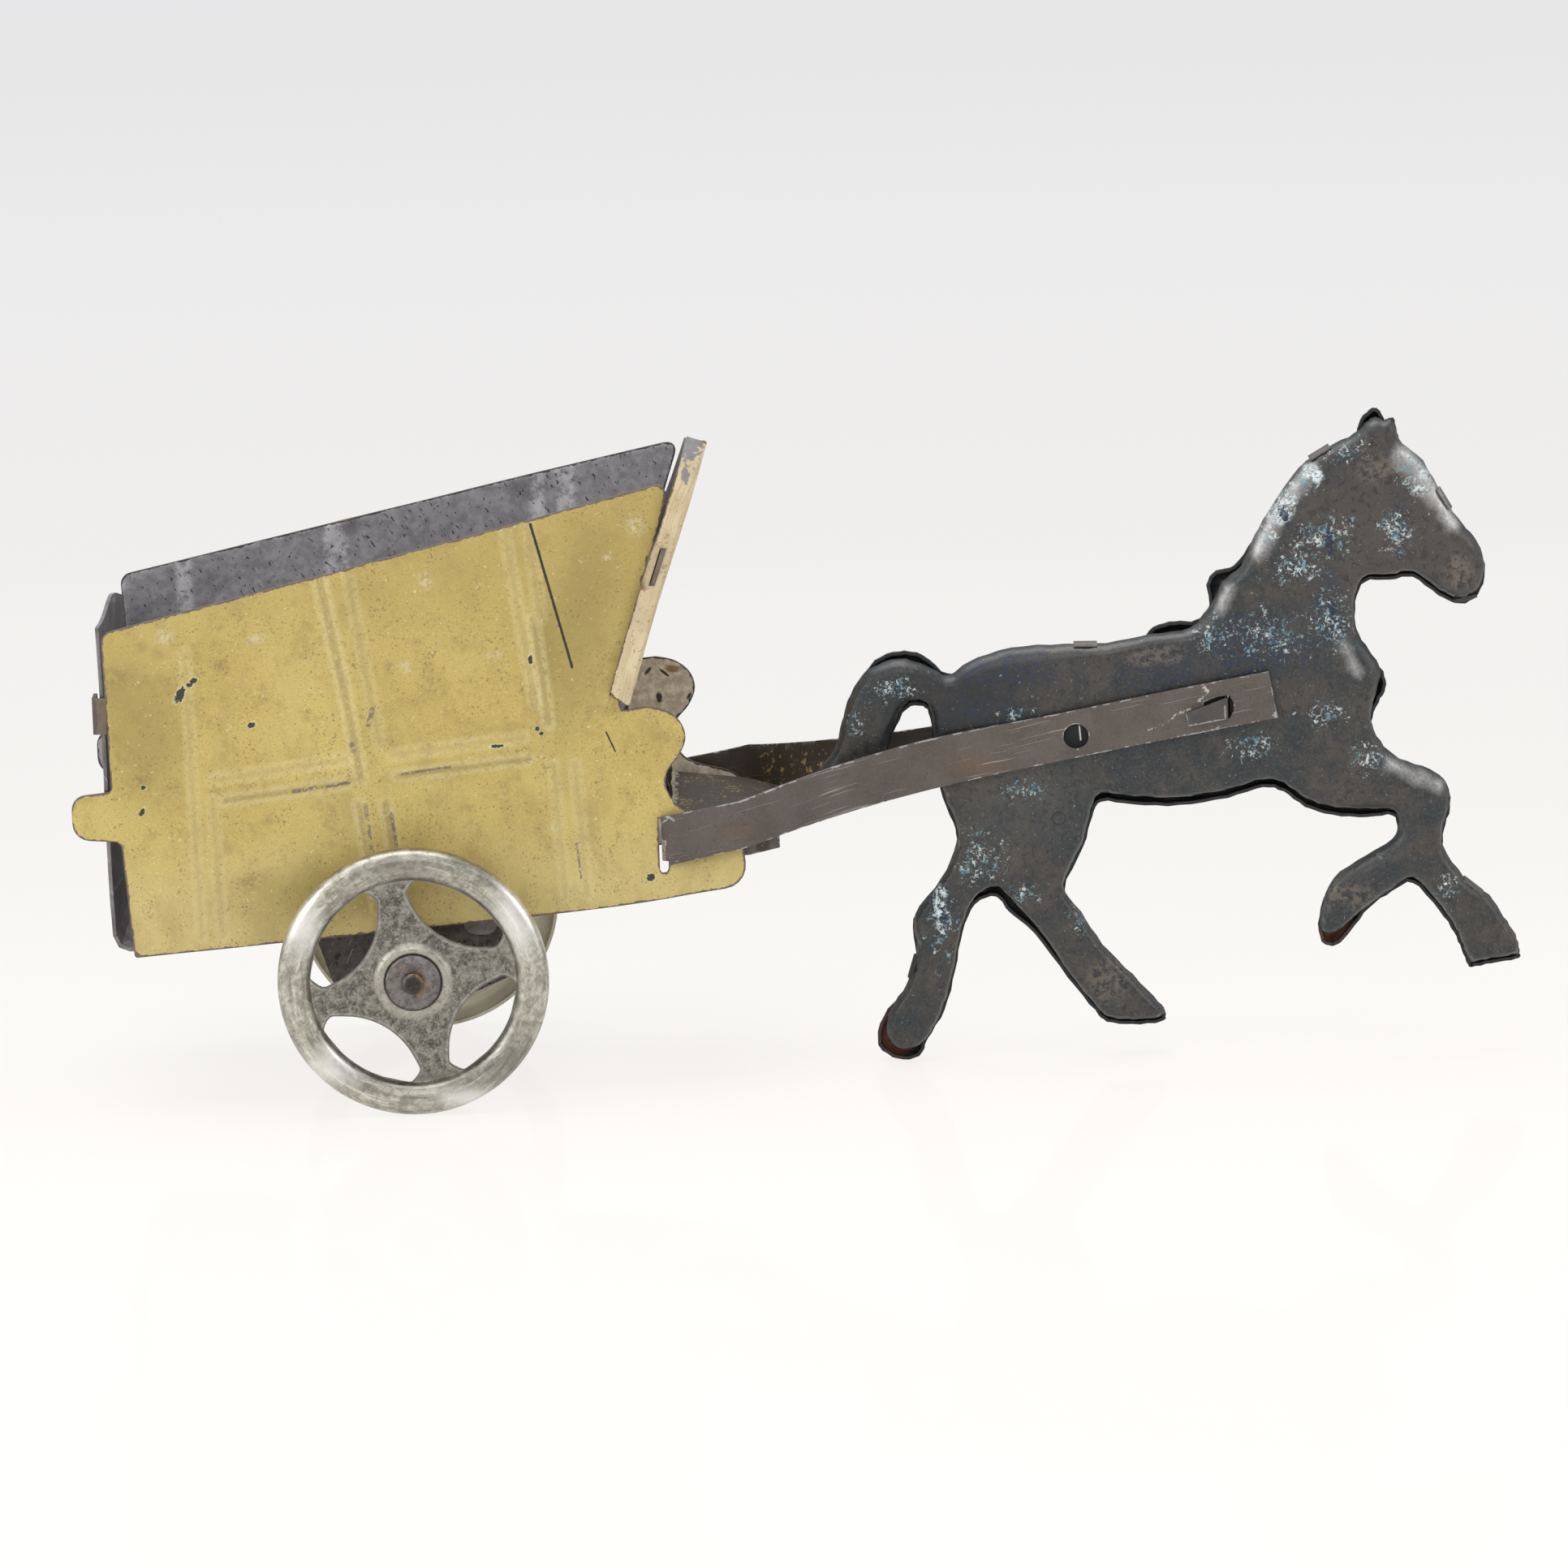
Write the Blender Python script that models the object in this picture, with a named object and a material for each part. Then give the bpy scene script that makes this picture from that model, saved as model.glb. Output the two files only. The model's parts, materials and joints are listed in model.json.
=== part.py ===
"""Horse-drawn cart penny toy of tinplate: a flat two-shell horse between shafts, a two-wheeled cart.

Lengths are in millimetres in the toy's side view: x runs forward from the axle, y away from the near
side, z up from the ground. An empty carries every piece and scales them to metres at the end.
"""

import bpy
import bmesh
import math
from mathutils import Matrix, Vector

MM = 0.001                      # one millimetre in metres

# Stock and clearances
TIN = 0.35                      # thickness of the tinplate
GAP = 0.3                       # gap between pieces that rest on each other
SLOT_PLAY = 0.2                 # play of a tab in its slot
RUNNING = 0.08                  # radial play of a wheel on the axle

# Wheels and axle
WHEEL_R = 12.7                  # one inch stock wheel
AXLE_R = 0.75
WHEEL_CLEARANCE = 3.17          # from the cart's side to the wheel's web
RIM_WIDTH = 3.0                 # radial width of the rolled rim
RIM_BULGE = 1.2                 # how far the rim stands out of the web
HUB_BOSS_R = 3.5                # raised ring pressed round the hub
HUB_BOSS_HEIGHT = 0.4
HUB_DISC_R = 2.6
HUB_DISC_THICKNESS = 0.5
AXLE_HEAD_R = AXLE_R + 0.25     # peened end outside the hub disc
AXLE_HEAD_LENGTH = 0.45
AXLE_COLLAR_R = AXLE_R + 0.6    # crimp inside the wheel
AXLE_COLLAR_LENGTH = 0.7
WINDOW_COUNT = 4
WINDOW_TURN = 57.0              # degrees from +x to the first window's middle
WINDOW_INNER_R = 5.1            # from the hub's centre to the window's inner edge
WINDOW_HALF_ANGLE = 36.0        # degrees from a window's middle to its sharp end
WINDOW_CORNER_R = 1.0
WHEEL_STEPS = 48

# Cart body: widths over the side panels
CART_REAR_WIDTH = 33.0
CART_RIB_WIDTH = 29.4           # at the front rib, where the sides bend inward
CART_FRONT_WIDTH = 26.0
HALF_WIDTH = ((-27.0, CART_REAR_WIDTH / 2), (11.5, CART_RIB_WIDTH / 2), (26.0, CART_FRONT_WIDTH / 2))

# Side panel's outline in the side view: (x, z, corner radius)
PANEL_TOP = ((-27.95, 46.1, 0.9), (25.4, 58.3, 1.6))
FAR_PANEL_REACH = 0.7           # the far panel's upper front stands this much further forward
PANEL_FRONT = ((19.9, 39.0, 0.2), (20.2, 36.8, 0.2))
PANEL_SCROLL = ((22.4, 37.1), (24.2, 36.7), (25.6, 35.6), (26.1, 34.0), (25.5, 32.4), (24.4, 31.0),
                (24.1, 29.6), (24.7, 28.1), (25.8, 27.0), (27.4, 26.4), (29.2, 26.0))
PANEL_TONGUE = ((31.0, 25.2, 0.6), (31.6, 19.7, 2.2), (21.0, 18.3, 6.0))
PANEL_REAR = ((-26.1, 15.2, 0.3), (-26.9, 26.3, 0.7), (-31.35, 26.7, 1.7), (-31.35, 30.75, 1.4),
              (-27.6, 31.1, 0.3))
RIB_HEIGHT = 0.25
# Embossed ribs: (x, z) of one end, (x, z) of the other, width over the flanks
PANEL_RIBS = (((-19.8, 45.5), (-19.5, 17.2), 1.9),
              ((-5.4, 49.0), (-2.1, 18.6), 2.1),
              ((11.4, 53.5), (15.2, 19.8), 2.1),
              ((-18.5, 31.0), (13.0, 33.9), 1.8))

# Cart floor and tailboard, one bent strip
FLOOR_LIFT = 0.45               # floor's lower face above the panels' bottom edge
FLOOR_REAR_X = -26.2
TAIL_TOP = (-28.5, 46.5)        # outer face of the tailboard in the side view
TAIL_FOOT = (-28.15, 17.0)
TAIL_TAB_Z = (36.6, 40.0)       # side panel's tab that is clinched over the tailboard
TAIL_TAB_LENGTH = 2.6
FLOOR_TONGUE = (6.3, 3.2, 2.0)  # tongue bent down beside the saddle: x, width, drop below the floor

# Front board with its folded-back flanges
BOARD_FOOT = (20.7, 36.7)       # board's front face where it meets the side panels' scroll
BOARD_TOP_Z = 62.0
BOARD_LEAN = 0.33               # forward lean, x per z
BOARD_FAR_DROP = 4.4            # the top edge runs down towards the far side
BOARD_LOW_Z = 19.0
FLANGE_DEPTH = 1.95
FLANGE_LOW_Z = 37.3
FLANGE_LOW_RISE = 0.6           # its lower edge rises this much more towards the rear
BOARD_TAB = (50.4, 3.2, 1.45)   # panel's tab through the flange: z, length, distance behind the board

# Shafts, their bridge and the strap through the horse
SHAFT_HEIGHT = 4.5
# Shaft's middle line: x, z
SHAFT_LINE = ((23.6, 24.3), (30.0, 25.5), (44.0, 28.3), (58.0, 30.7), (81.6, 34.8))
SHAFT_SPREAD_X = (31.8, 58.0)   # the shafts close in on the horse between these
SHAFT_SPREAD_POWER = 2.4
SHAFT_BENDS = 8
SHAFT_SLOT = (23.3, 24.15, 21.1, 27.1)   # slot in the panel's tongue: x, x, z, z
SHAFT_HOOK_X = 23.55
SHAFT_HOOK_LENGTH = 1.6
SHAFT_HOLE = (62.9, 31.4, 1.2)  # x, z, radius
STRAP_X = 77.0
STRAP_Z = 33.7
STRAP_HEIGHT = 2.0
STRAP_END_HEIGHT = 1.1
STRAP_FOLD_LENGTH = 3.6
BRIDGE_X = (24.7, 34.6)
BRIDGE_TOP_Z = (26.0, 24.8)
BRIDGE_LOW_Z = (22.1, 22.6)

# Axle saddle: cheek outline below the floor (x, z, corner radius)
SADDLE_CHEEK = ((-7.7, 11.2, 1.5), (-3.4, 9.2, 2.0), (3.0, 9.2, 2.0), (9.3, 11.8, 1.5))
SADDLE_X = (-9.4, 9.8)
SADDLE_HALF_WIDTH = CART_FRONT_WIDTH / 2

# Horse
HORSE_Y = -2.4                  # middle plane of the horse, a little towards the near side
HORSE_DEPTH = 1.7               # depth of one shell
HORSE_RIM = ((0.1, 0.9), (0.4, HORSE_DEPTH))   # rolled edge: inset of the outline, depth there
FAR_MARGIN = 0.12               # the far shell is stamped this much larger all round
FAR_DROP = 0.55                 # and sits this much lower
TAIL = ((39.6, 26.2), (38.1, 26.7), (38.0, 27.8), (40.1, 30.6), (40.8, 33.0), (41.7, 35.7), (43.5, 38.0),
        (46.4, 39.0), (49.0, 38.2), (51.0, 37.2))
BACK = ((53.0, 38.5), (57.0, 39.7), (62.0, 39.9), (66.0, 39.9), (70.3, 40.6), (74.0, 41.1), (76.0, 43.2),
        (77.1, 45.4), (78.9, 46.9))
CREST = ((80.3, 49.8), (82.0, 52.6), (84.6, 56.1), (87.2, 57.8), (90.0, 59.0), (91.3, 60.5), (92.3, 60.95),
         (93.3, 60.4), (93.8, 59.4), (94.6, 58.1))
FACE = ((96.3, 56.4), (98.2, 52.8), (99.9, 50.3), (101.3, 48.5), (101.9, 46.2), (101.2, 44.0), (99.6, 43.2),
        (97.6, 44.1), (95.2, 45.9))
THROAT = ((93.0, 45.7), (90.6, 45.6), (89.6, 43.6), (89.7, 40.6), (90.9, 38.4), (91.9, 36.6), (91.4, 34.2),
          (90.9, 31.9), (91.8, 29.6), (93.6, 27.9), (96.4, 26.8), (98.0, 25.4), (98.2, 23.4), (97.6, 21.4))
FORELEG_FRONT = ((97.6, 19.2), (99.4, 16.4), (101.0, 14.5), (103.3, 11.4), (104.4, 9.9))
FORE_HOOF = ((104.6, 8.9), (103.9, 8.2), (100.5, 7.7), (99.5, 9.2))
FORELEG_BACK = ((98.8, 11.2), (97.2, 13.6), (94.7, 16.4))
FOLDED_LEG = ((92.6, 15.4), (89.6, 13.3), (87.4, 11.5), (85.9, 11.5), (85.9, 13.4), (87.1, 16.5),
              (90.2, 18.6), (92.6, 20.0), (93.4, 21.4), (92.9, 23.0))
BELLY = ((90.4, 23.2), (87.2, 23.5), (84.6, 24.4), (82.6, 25.9), (80.6, 26.4), (77.2, 25.5), (72.6, 24.9),
         (68.4, 25.1), (65.2, 25.5))
STIFLE = ((64.2, 24.0), (63.3, 20.8), (61.4, 16.7))
RIGHT_HIND_FRONT = ((63.0, 14.0), (65.5, 10.3), (68.4, 6.9), (70.3, 4.9))
RIGHT_HIND_HOOF = ((70.5, 3.8), (69.7, 3.1), (66.6, 3.1), (64.2, 4.9))
RIGHT_HIND_BACK = ((61.9, 7.8), (59.4, 11.6), (56.3, 15.6), (54.9, 16.8), (52.9, 15.7))
LEFT_HIND_FRONT = ((51.6, 12.9), (50.8, 9.2), (49.7, 5.4), (48.2, 2.5))
LEFT_HIND_HOOF = ((47.0, 1.45), (45.3, 1.3), (44.2, 2.8), (44.6, 5.0))
LEFT_HIND_BACK = ((46.3, 7.6), (47.3, 10.9), (47.2, 14.2), (49.8, 17.6))
BUTTOCK = ((51.3, 20.8), (51.4, 22.9), (50.3, 25.9), (49.6, 30.0), (49.3, 33.7))
TAIL_INSIDE = ((48.6, 34.9), (46.9, 34.7), (45.5, 32.2), (44.3, 28.6), (42.2, 26.6))
# The far shell shows past the near one along these runs, and its left hind hoof reaches the ground
FAR_TAIL = TAIL[:5] + ((41.9, 36.2), (44.2, 39.2), (46.4, 40.0), (48.6, 39.6), (50.9, 37.7))
FAR_BACK = BACK[:4] + ((69.2, 40.3), (70.6, 41.6), (72.6, 42.1), (74.6, 42.1), (76.0, 43.6), (75.8, 45.6),
                       (76.6, 46.8), (78.4, 47.3))
FAR_FOLDED_LEG = ((92.6, 15.6), (90.4, 14.1), (88.6, 11.9), (87.3, 10.6), (86.0, 10.9), (85.8, 13.2)) \
    + FOLDED_LEG[5:]
FAR_RIGHT_HIND_BACK = ((61.9, 7.8), (58.6, 12.6), (56.3, 14.7), (55.0, 16.3), (52.9, 15.6))
FAR_LEFT_HIND_FRONT = ((51.6, 12.9), (50.8, 9.2), (49.7, 5.4), (48.0, 2.6))
FAR_LEFT_HIND_HOOF = ((47.2, 1.0), (45.3, 0.76), (43.5, 2.1), (44.0, 4.7))
# Small tabs of the far shell lap over the near one beside these points of the outline
HORSE_TABS = ((64.0, 39.8), (86.7, 57.6), (98.1, 53.0), (100.3, 15.4), (46.8, 9.4))
HORSE_TAB_WIDTH = 2.2
HORSE_TAB_LAP = 0.8
RUN_STEPS = 2                   # points per stretch between two landmarks
CORNER_STEPS = 5                # points per rounded corner

# The toy's length runs from the side panels' rear lugs to the fore hoof, and its middle is x = 0
REAR_END_X = -31.35
FRONT_END_X = 104.73
AXLE_X = -(REAR_END_X + FRONT_END_X) / 2

# Colours
YELLOW_PAINT = (0.57, 0.44, 0.13, 1.0)
CREAM_PAINT = (0.67, 0.55, 0.34, 1.0)
BARE_TIN = (0.21, 0.20, 0.21, 1.0)
BROWN_JAPAN = (0.14, 0.12, 0.11, 1.0)
BLACK_JAPAN = (0.06, 0.063, 0.065, 1.0)
WHEEL_TIN = (0.52, 0.50, 0.42, 1.0)
STEEL = (0.16, 0.15, 0.14, 1.0)


def between(table, x):
    """Read a value at x from a table of (x, value) pairs, straight between its entries."""
    for (x0, v0), (x1, v1) in zip(table, table[1:]):
        if x <= x1:
            return v0 + (v1 - v0) * (x - x0) / (x1 - x0)
    return table[-1][1]


def half_width(x):
    """Half width over the cart's side panels at x."""
    return between(HALF_WIDTH, x)


def wheel_y():
    """Outer face of the wheels' webs, clear of the cart's sides."""
    return half_width(-WHEEL_R) + WHEEL_CLEARANCE


def floor_z(x):
    """Height of the line along the side panels' bottom edge."""
    x0, z0 = PANEL_REAR[0][:2]
    x1, z1 = PANEL_TONGUE[2][:2]
    return z0 + (z1 - z0) * (x - x0) / (x1 - x0)


def board_x(z):
    """Front face of the front board at height z."""
    return BOARD_FOOT[0] + BOARD_LEAN * (z - BOARD_FOOT[1])


def floor_front_x():
    """Front edge of the cart floor, just behind the front board's lower edge."""
    return board_x(BOARD_LOW_Z) - 1.1 * TIN - GAP


def rounded(corners):
    """Turn (x, z, radius) corners of a closed outline into points, each corner an arc."""
    points = []
    count = len(corners)
    for i, (x, z, radius) in enumerate(corners):
        here = Vector((x, z))
        back = Vector(corners[i - 1][:2]) - here
        ahead = Vector(corners[(i + 1) % count][:2]) - here
        if radius <= 0.0:
            points.append(here)
            continue
        half = back.angle(ahead) / 2
        reach = min(radius / math.tan(half), 0.49 * back.length, 0.49 * ahead.length)
        radius = reach * math.tan(half)
        centre = here + (back.normalized() + ahead.normalized()).normalized() * (radius / math.sin(half))
        first = here + back.normalized() * reach - centre
        last = here + ahead.normalized() * reach - centre
        turn = first.angle_signed(last)
        for step in range(CORNER_STEPS + 1):
            spoke = first.copy()
            spoke.rotate(Matrix.Rotation(-turn * step / CORNER_STEPS, 2))
            points.append(centre + spoke)
    return points


def smooth(points, steps, closed=True):
    """Run a smooth curve through the points, with a few more points between each pair."""
    count = len(points)
    curve = []
    spans = count if closed else count - 1
    for i in range(spans):
        if closed:
            a, b, c, d = (Vector(points[(i + k) % count]) for k in (-1, 0, 1, 2))
        else:
            a, b, c, d = (Vector(points[min(max(i + k, 0), count - 1)]) for k in (-1, 0, 1, 2))
        for step in range(steps):
            t = step / steps
            curve.append(0.5 * (2 * b + (c - a) * t + (2 * a - 5 * b + 4 * c - d) * t * t
                                + (3 * b - a - 3 * c + d) * t * t * t))
    if not closed:
        curve.append(Vector(points[-1]))
    return curve


def grown(points, margin):
    """Move each point of a clockwise outline outward by a margin."""
    moved = []
    count = len(points)
    for i, here in enumerate(points):
        along = points[(i + 1) % count] - points[i - 1]
        outward = Vector((-along.y, along.x)).normalized()
        moved.append(here + outward * margin)
    return moved


def new_material(name, colour, roughness, metallic):
    """A Principled material with the piece's plain finish."""
    material = bpy.data.materials.new(name)
    material.use_nodes = True
    shader = material.node_tree.nodes["Principled BSDF"]
    shader.inputs["Base Color"].default_value = colour
    shader.inputs["Roughness"].default_value = roughness
    shader.inputs["Metallic"].default_value = metallic
    return material


def finish(bm, name, material, location=(0.0, 0.0, 0.0), smooth_angle=None):
    """Close the mesh, put it in a named object on the toy's frame and give it its material."""
    bmesh.ops.recalc_face_normals(bm, faces=bm.faces[:])
    mesh = bpy.data.meshes.new(name)
    bm.to_mesh(mesh)
    bm.free()
    if smooth_angle is not None:
        mesh.shade_smooth()
        mesh.set_sharp_from_angle(angle=math.radians(smooth_angle))
    obj = bpy.data.objects.new(name, mesh)
    bpy.context.collection.objects.link(obj)
    obj.parent = TOY
    obj.location = location
    if material is not None:
        mesh.materials.append(material)
    return obj


def slab(outline, y0, y1):
    """A closed plate: the side view's outline, thick from y0 to y1."""
    bm = bmesh.new()
    face = bm.faces.new([bm.verts.new((p[0], y0, p[1])) for p in outline])
    plate = bmesh.ops.extrude_face_region(bm, geom=[face])
    moved = [v for v in plate["geom"] if isinstance(v, bmesh.types.BMVert)]
    bmesh.ops.translate(bm, verts=moved, vec=(0.0, y1 - y0, 0.0))
    return bm


def cut_through(bm, point, normal):
    """Add an edge loop where a plane crosses the mesh."""
    bmesh.ops.bisect_plane(bm, geom=bm.verts[:] + bm.edges[:] + bm.faces[:],
                           plane_co=point, plane_no=normal, dist=1e-5)


def hide_cutter(cutter):
    """Leave a cutter in the file as a guide only."""
    cutter.hide_render = True
    cutter.display_type = "WIRE"


def sheet(bm, name, material):
    """Give an open surface, its faces outward, the thickness of the tinplate on its inner side."""
    mesh = bpy.data.meshes.new(name)
    bm.to_mesh(mesh)
    bm.free()
    mesh.materials.append(material)
    obj = bpy.data.objects.new(name, mesh)
    bpy.context.collection.objects.link(obj)
    obj.parent = TOY
    wall = obj.modifiers.new("wall", "SOLIDIFY")
    wall.thickness = TIN
    wall.offset = -1.0
    wall.use_even_offset = True
    return obj


def combine(obj, other, operation):
    """Join another closed piece to the object, or cut it out."""
    modifier = obj.modifiers.new(operation.lower(), "BOOLEAN")
    modifier.operation = operation
    modifier.object = other
    hide_cutter(other)


def box(name, low, high):
    """A plain closed box between two corners, used to join to a sheet or to cut it."""
    bm = bmesh.new()
    bmesh.ops.create_cube(bm, size=1.0)
    size = Vector(high) - Vector(low)
    bmesh.ops.scale(bm, vec=size, verts=bm.verts[:])
    bmesh.ops.translate(bm, vec=Vector(low) + size / 2, verts=bm.verts[:])
    return finish(bm, name, None)


def post(name, x, z, radius, y0, y1, steps=24):
    """A round bar along y, used as a cutter for a round hole."""
    outline = [(x + radius * math.cos(math.tau * i / steps), z + radius * math.sin(math.tau * i / steps))
               for i in range(steps)]
    return finish(slab(outline, y0, y1), name, None)


def panel_outline(side):
    """Side panel seen from the side, clockwise from the rear top corner."""
    reach = FAR_PANEL_REACH if side > 0 else 0.0
    rear, front = PANEL_TOP
    front = (front[0] + reach, front[1], front[2])
    scroll_low = PANEL_SCROLL[-1][1]
    scroll_rise = PANEL_SCROLL[0][1] - scroll_low
    scroll = [(x + reach * min(1.0, 2 * (z - scroll_low) / scroll_rise), z) for x, z in PANEL_SCROLL]
    corners = ((rear, front) + board_tab_root(front) + PANEL_FRONT
               + ((*scroll[0], 0.0), (*scroll[-1], 0.0)) + PANEL_TONGUE + PANEL_REAR)
    upper = rounded(corners)
    start = upper.index(Vector(scroll[0]))
    return upper[:start] + smooth(scroll, RUN_STEPS, closed=False) + upper[start + 2:]


def board_tab_root(top_corner):
    """Corners of the tab that stands forward of the side panel's front edge, from the top down."""
    z, length, behind = BOARD_TAB
    (x1, z1), (x0, z0) = top_corner[:2], PANEL_FRONT[0][:2]
    ends = [z + length / 2, z - length / 2]
    edge = [(x0 + (x1 - x0) * (end - z0) / (z1 - z0), end, 0.0) for end in ends]
    front = [(board_x(end) - behind + TIN / 2, end, 0.0) for end in ends]
    return (edge[0], front[0], front[1], edge[1])


def rib_height(x, z):
    """Height of the embossed ribs at a point of the side panel."""
    height = 0.0
    for p, q, width in PANEL_RIBS:
        along = (Vector(q) - Vector(p))
        reach = (Vector((x, z)) - Vector(p)).dot(along) / along.length_squared
        aside = abs((Vector((x, z)) - Vector(p)).cross(along)) / along.length
        if -0.001 <= reach <= 1.001 and reach * (1 - reach) > 1e-6:
            height = max(height, RIB_HEIGHT * max(0.0, 1 - 2 * aside / width))
    return height


def side_panel(name, side, material):
    """Yellow side of the cart, bent inward towards the front, with its ribs, tabs and shaft slot."""
    bm = slab(panel_outline(side), 0.0, TIN)
    for x, _ in HALF_WIDTH[1:]:
        cut_through(bm, (x, 0, 0), (1, 0, 0))
    for p, q, width in PANEL_RIBS:
        along = Vector((q[0] - p[0], 0, q[1] - p[1])).normalized()
        across = Vector((-along.z, 0, along.x))
        for offset in (-width / 2, 0.0, width / 2):
            cut_through(bm, Vector((p[0], 0, p[1])) + across * offset, across)
        for end in (p, q):
            cut_through(bm, (end[0], 0, end[1]), along)
    for v in bm.verts:
        depth = v.co.y
        v.co.y = side * (half_width(v.co.x) + rib_height(v.co.x, v.co.z) - depth)
    panel = finish(bm, name, material)
    x0, x1, z0, z1 = SHAFT_SLOT
    reach = half_width(x0) + 2.0
    combine(panel, box(name + "_slot", (x0, min(0, side * reach), z0), (x1, max(0, side * reach), z1)),
            "DIFFERENCE")
    combine(panel, tail_tab(name, side), "UNION")
    combine(panel, board_tab(name, side), "UNION")
    return panel


def tail_tab(name, side):
    """Tab of the side panel that passes the tailboard's edge and is clinched behind it."""
    z0, z1 = TAIL_TAB_Z
    x_out = tail_x(z0) - GAP - TIN
    outer = half_width(x_out)
    inner = outer - TIN - TAIL_TAB_LENGTH
    bm = bmesh.new()
    corners = ((-27.6, outer), (x_out, outer), (x_out, inner), (x_out + TIN, inner),
               (x_out + TIN, outer - TIN), (-27.6, outer - TIN))
    face = bm.faces.new([bm.verts.new((x, side * y, z0)) for x, y in corners])
    lifted = bmesh.ops.extrude_face_region(bm, geom=[face])
    bmesh.ops.translate(bm, vec=(0, 0, z1 - z0),
                        verts=[v for v in lifted["geom"] if isinstance(v, bmesh.types.BMVert)])
    return finish(bm, name + "_tail_tab", None)


def board_tab(name, side):
    """Turned end of the side panel's front tab, which passes out through the slot in the board's flange."""
    z, length, behind = BOARD_TAB
    tab = leaning_bar(z, length, behind, TIN)
    inner = half_width(board_x(z)) - TIN / 2
    outer = flange_y(z) + GAP
    bm = slab(tab, side * inner, side * outer)
    return finish(bm, name + "_board_tab", None)


def leaning_bar(z, length, behind, thickness):
    """Side view of a bar that lies along the front board, a given distance behind its front face."""
    return [(board_x(end) - behind + aside, end)
            for end, aside in ((z - length / 2, -thickness / 2), (z + length / 2, -thickness / 2),
                               (z + length / 2, thickness / 2), (z - length / 2, thickness / 2))]


def tail_x(z):
    """Outer face of the tailboard at height z."""
    (x0, z0), (x1, z1) = TAIL_FOOT, TAIL_TOP
    return x0 + (x1 - x0) * (z - z0) / (z1 - z0)


def floor_tray(material):
    """Floor and tailboard in one bent strip, seen from the side as a thin hook."""
    foot_z = floor_z(FLOOR_REAR_X) + FLOOR_LIFT
    front = floor_front_x()
    line = ((front, floor_z(front) + FLOOR_LIFT), (FLOOR_REAR_X, foot_z),
            (tail_x(foot_z + 1.0), foot_z + 1.2), TAIL_TOP)
    lower = rounded([(x, z, r) for (x, z), r in zip(line, (0.0, 0.9, 0.9, 0.0))])
    upper = grown(lower, -TIN)
    upper[0] = lower[0] + Vector((0.0, TIN))
    upper[-1] = lower[-1] + Vector((TIN, 0.0))
    outline = lower + upper[::-1]
    width = half_width(FLOOR_REAR_X) - TIN - GAP
    bm = slab(outline, -width, width)
    for v in bm.verts:
        side = math.copysign(1.0, v.co.y)
        v.co.y = side * (half_width(max(v.co.x, FLOOR_REAR_X)) - TIN - GAP)
    tray = finish(bm, "floor_tray", material)
    x, width, drop = FLOOR_TONGUE
    z = floor_z(x) + FLOOR_LIFT
    y = SADDLE_HALF_WIDTH + GAP
    for side, label in ((-1, "near"), (1, "far")):
        corners = ((x - width / 2, z + TIN / 2, 0.0), (x + width / 2, z + TIN / 2, 0.0),
                   (x + width / 2, z - drop, 1.2), (x - width / 2, z - drop, 1.2))
        tongue = finish(slab(rounded(corners), side * y, side * (y + TIN)), "tongue_" + label, None)
        combine(tray, tongue, "UNION")
    return tray


def flange_y(z):
    """Outer face of the front board's flange at height z, just outside the side panel."""
    return half_width(board_x(z) - FLANGE_DEPTH) + GAP + TIN


def front_board(material):
    """Leaning front board in one sheet: flanged above the scroll, narrow between the panels below it."""
    along = Vector((BOARD_LEAN, 1.0)).normalized()
    depth = FLANGE_DEPTH
    bm = bmesh.new()
    rows = []
    for side, top in ((-1, BOARD_TOP_Z), (1, BOARD_TOP_Z - BOARD_FAR_DROP)):
        rows.append([bm.verts.new((board_x(z), side * y, z)) for y, z in
                     ((half_width(board_x(BOARD_LOW_Z)) - TIN - GAP, BOARD_LOW_Z),
                      (half_width(board_x(FLANGE_LOW_Z)) - TIN - GAP, FLANGE_LOW_Z),
                      (flange_y(FLANGE_LOW_Z), FLANGE_LOW_Z), (flange_y(top), top))])
        rear = [bm.verts.new((board_x(z) - along.y * depth, side * flange_y(z), z + along.x * depth + rise))
                for z, rise in ((FLANGE_LOW_Z, FLANGE_LOW_RISE), (top, 0.0))]
        bm.faces.new((rows[-1][2], rows[-1][3], rear[1], rear[0]))
    near, far = rows
    bm.faces.new((near[0], far[0], far[1], near[1]))
    bm.faces.new(near[1:] + far[:0:-1])
    bmesh.ops.recalc_face_normals(bm, faces=bm.faces[:])
    bm.faces.ensure_lookup_table()
    if bm.faces[-1].normal.x < 0:
        bmesh.ops.reverse_faces(bm, faces=bm.faces[:])
    board = sheet(bm, "front_board", material)
    for side, label in ((-1, "near"), (1, "far")):
        z, length, behind = BOARD_TAB
        slot = leaning_bar(z, length + 2 * SLOT_PLAY, behind, TIN + 2 * SLOT_PLAY)
        cutter = slab(slot, side * (flange_y(z) - 2 * TIN), side * (flange_y(z) + TIN))
        combine(board, finish(cutter, "board_slot_" + label, None), "DIFFERENCE")
    return board


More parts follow.
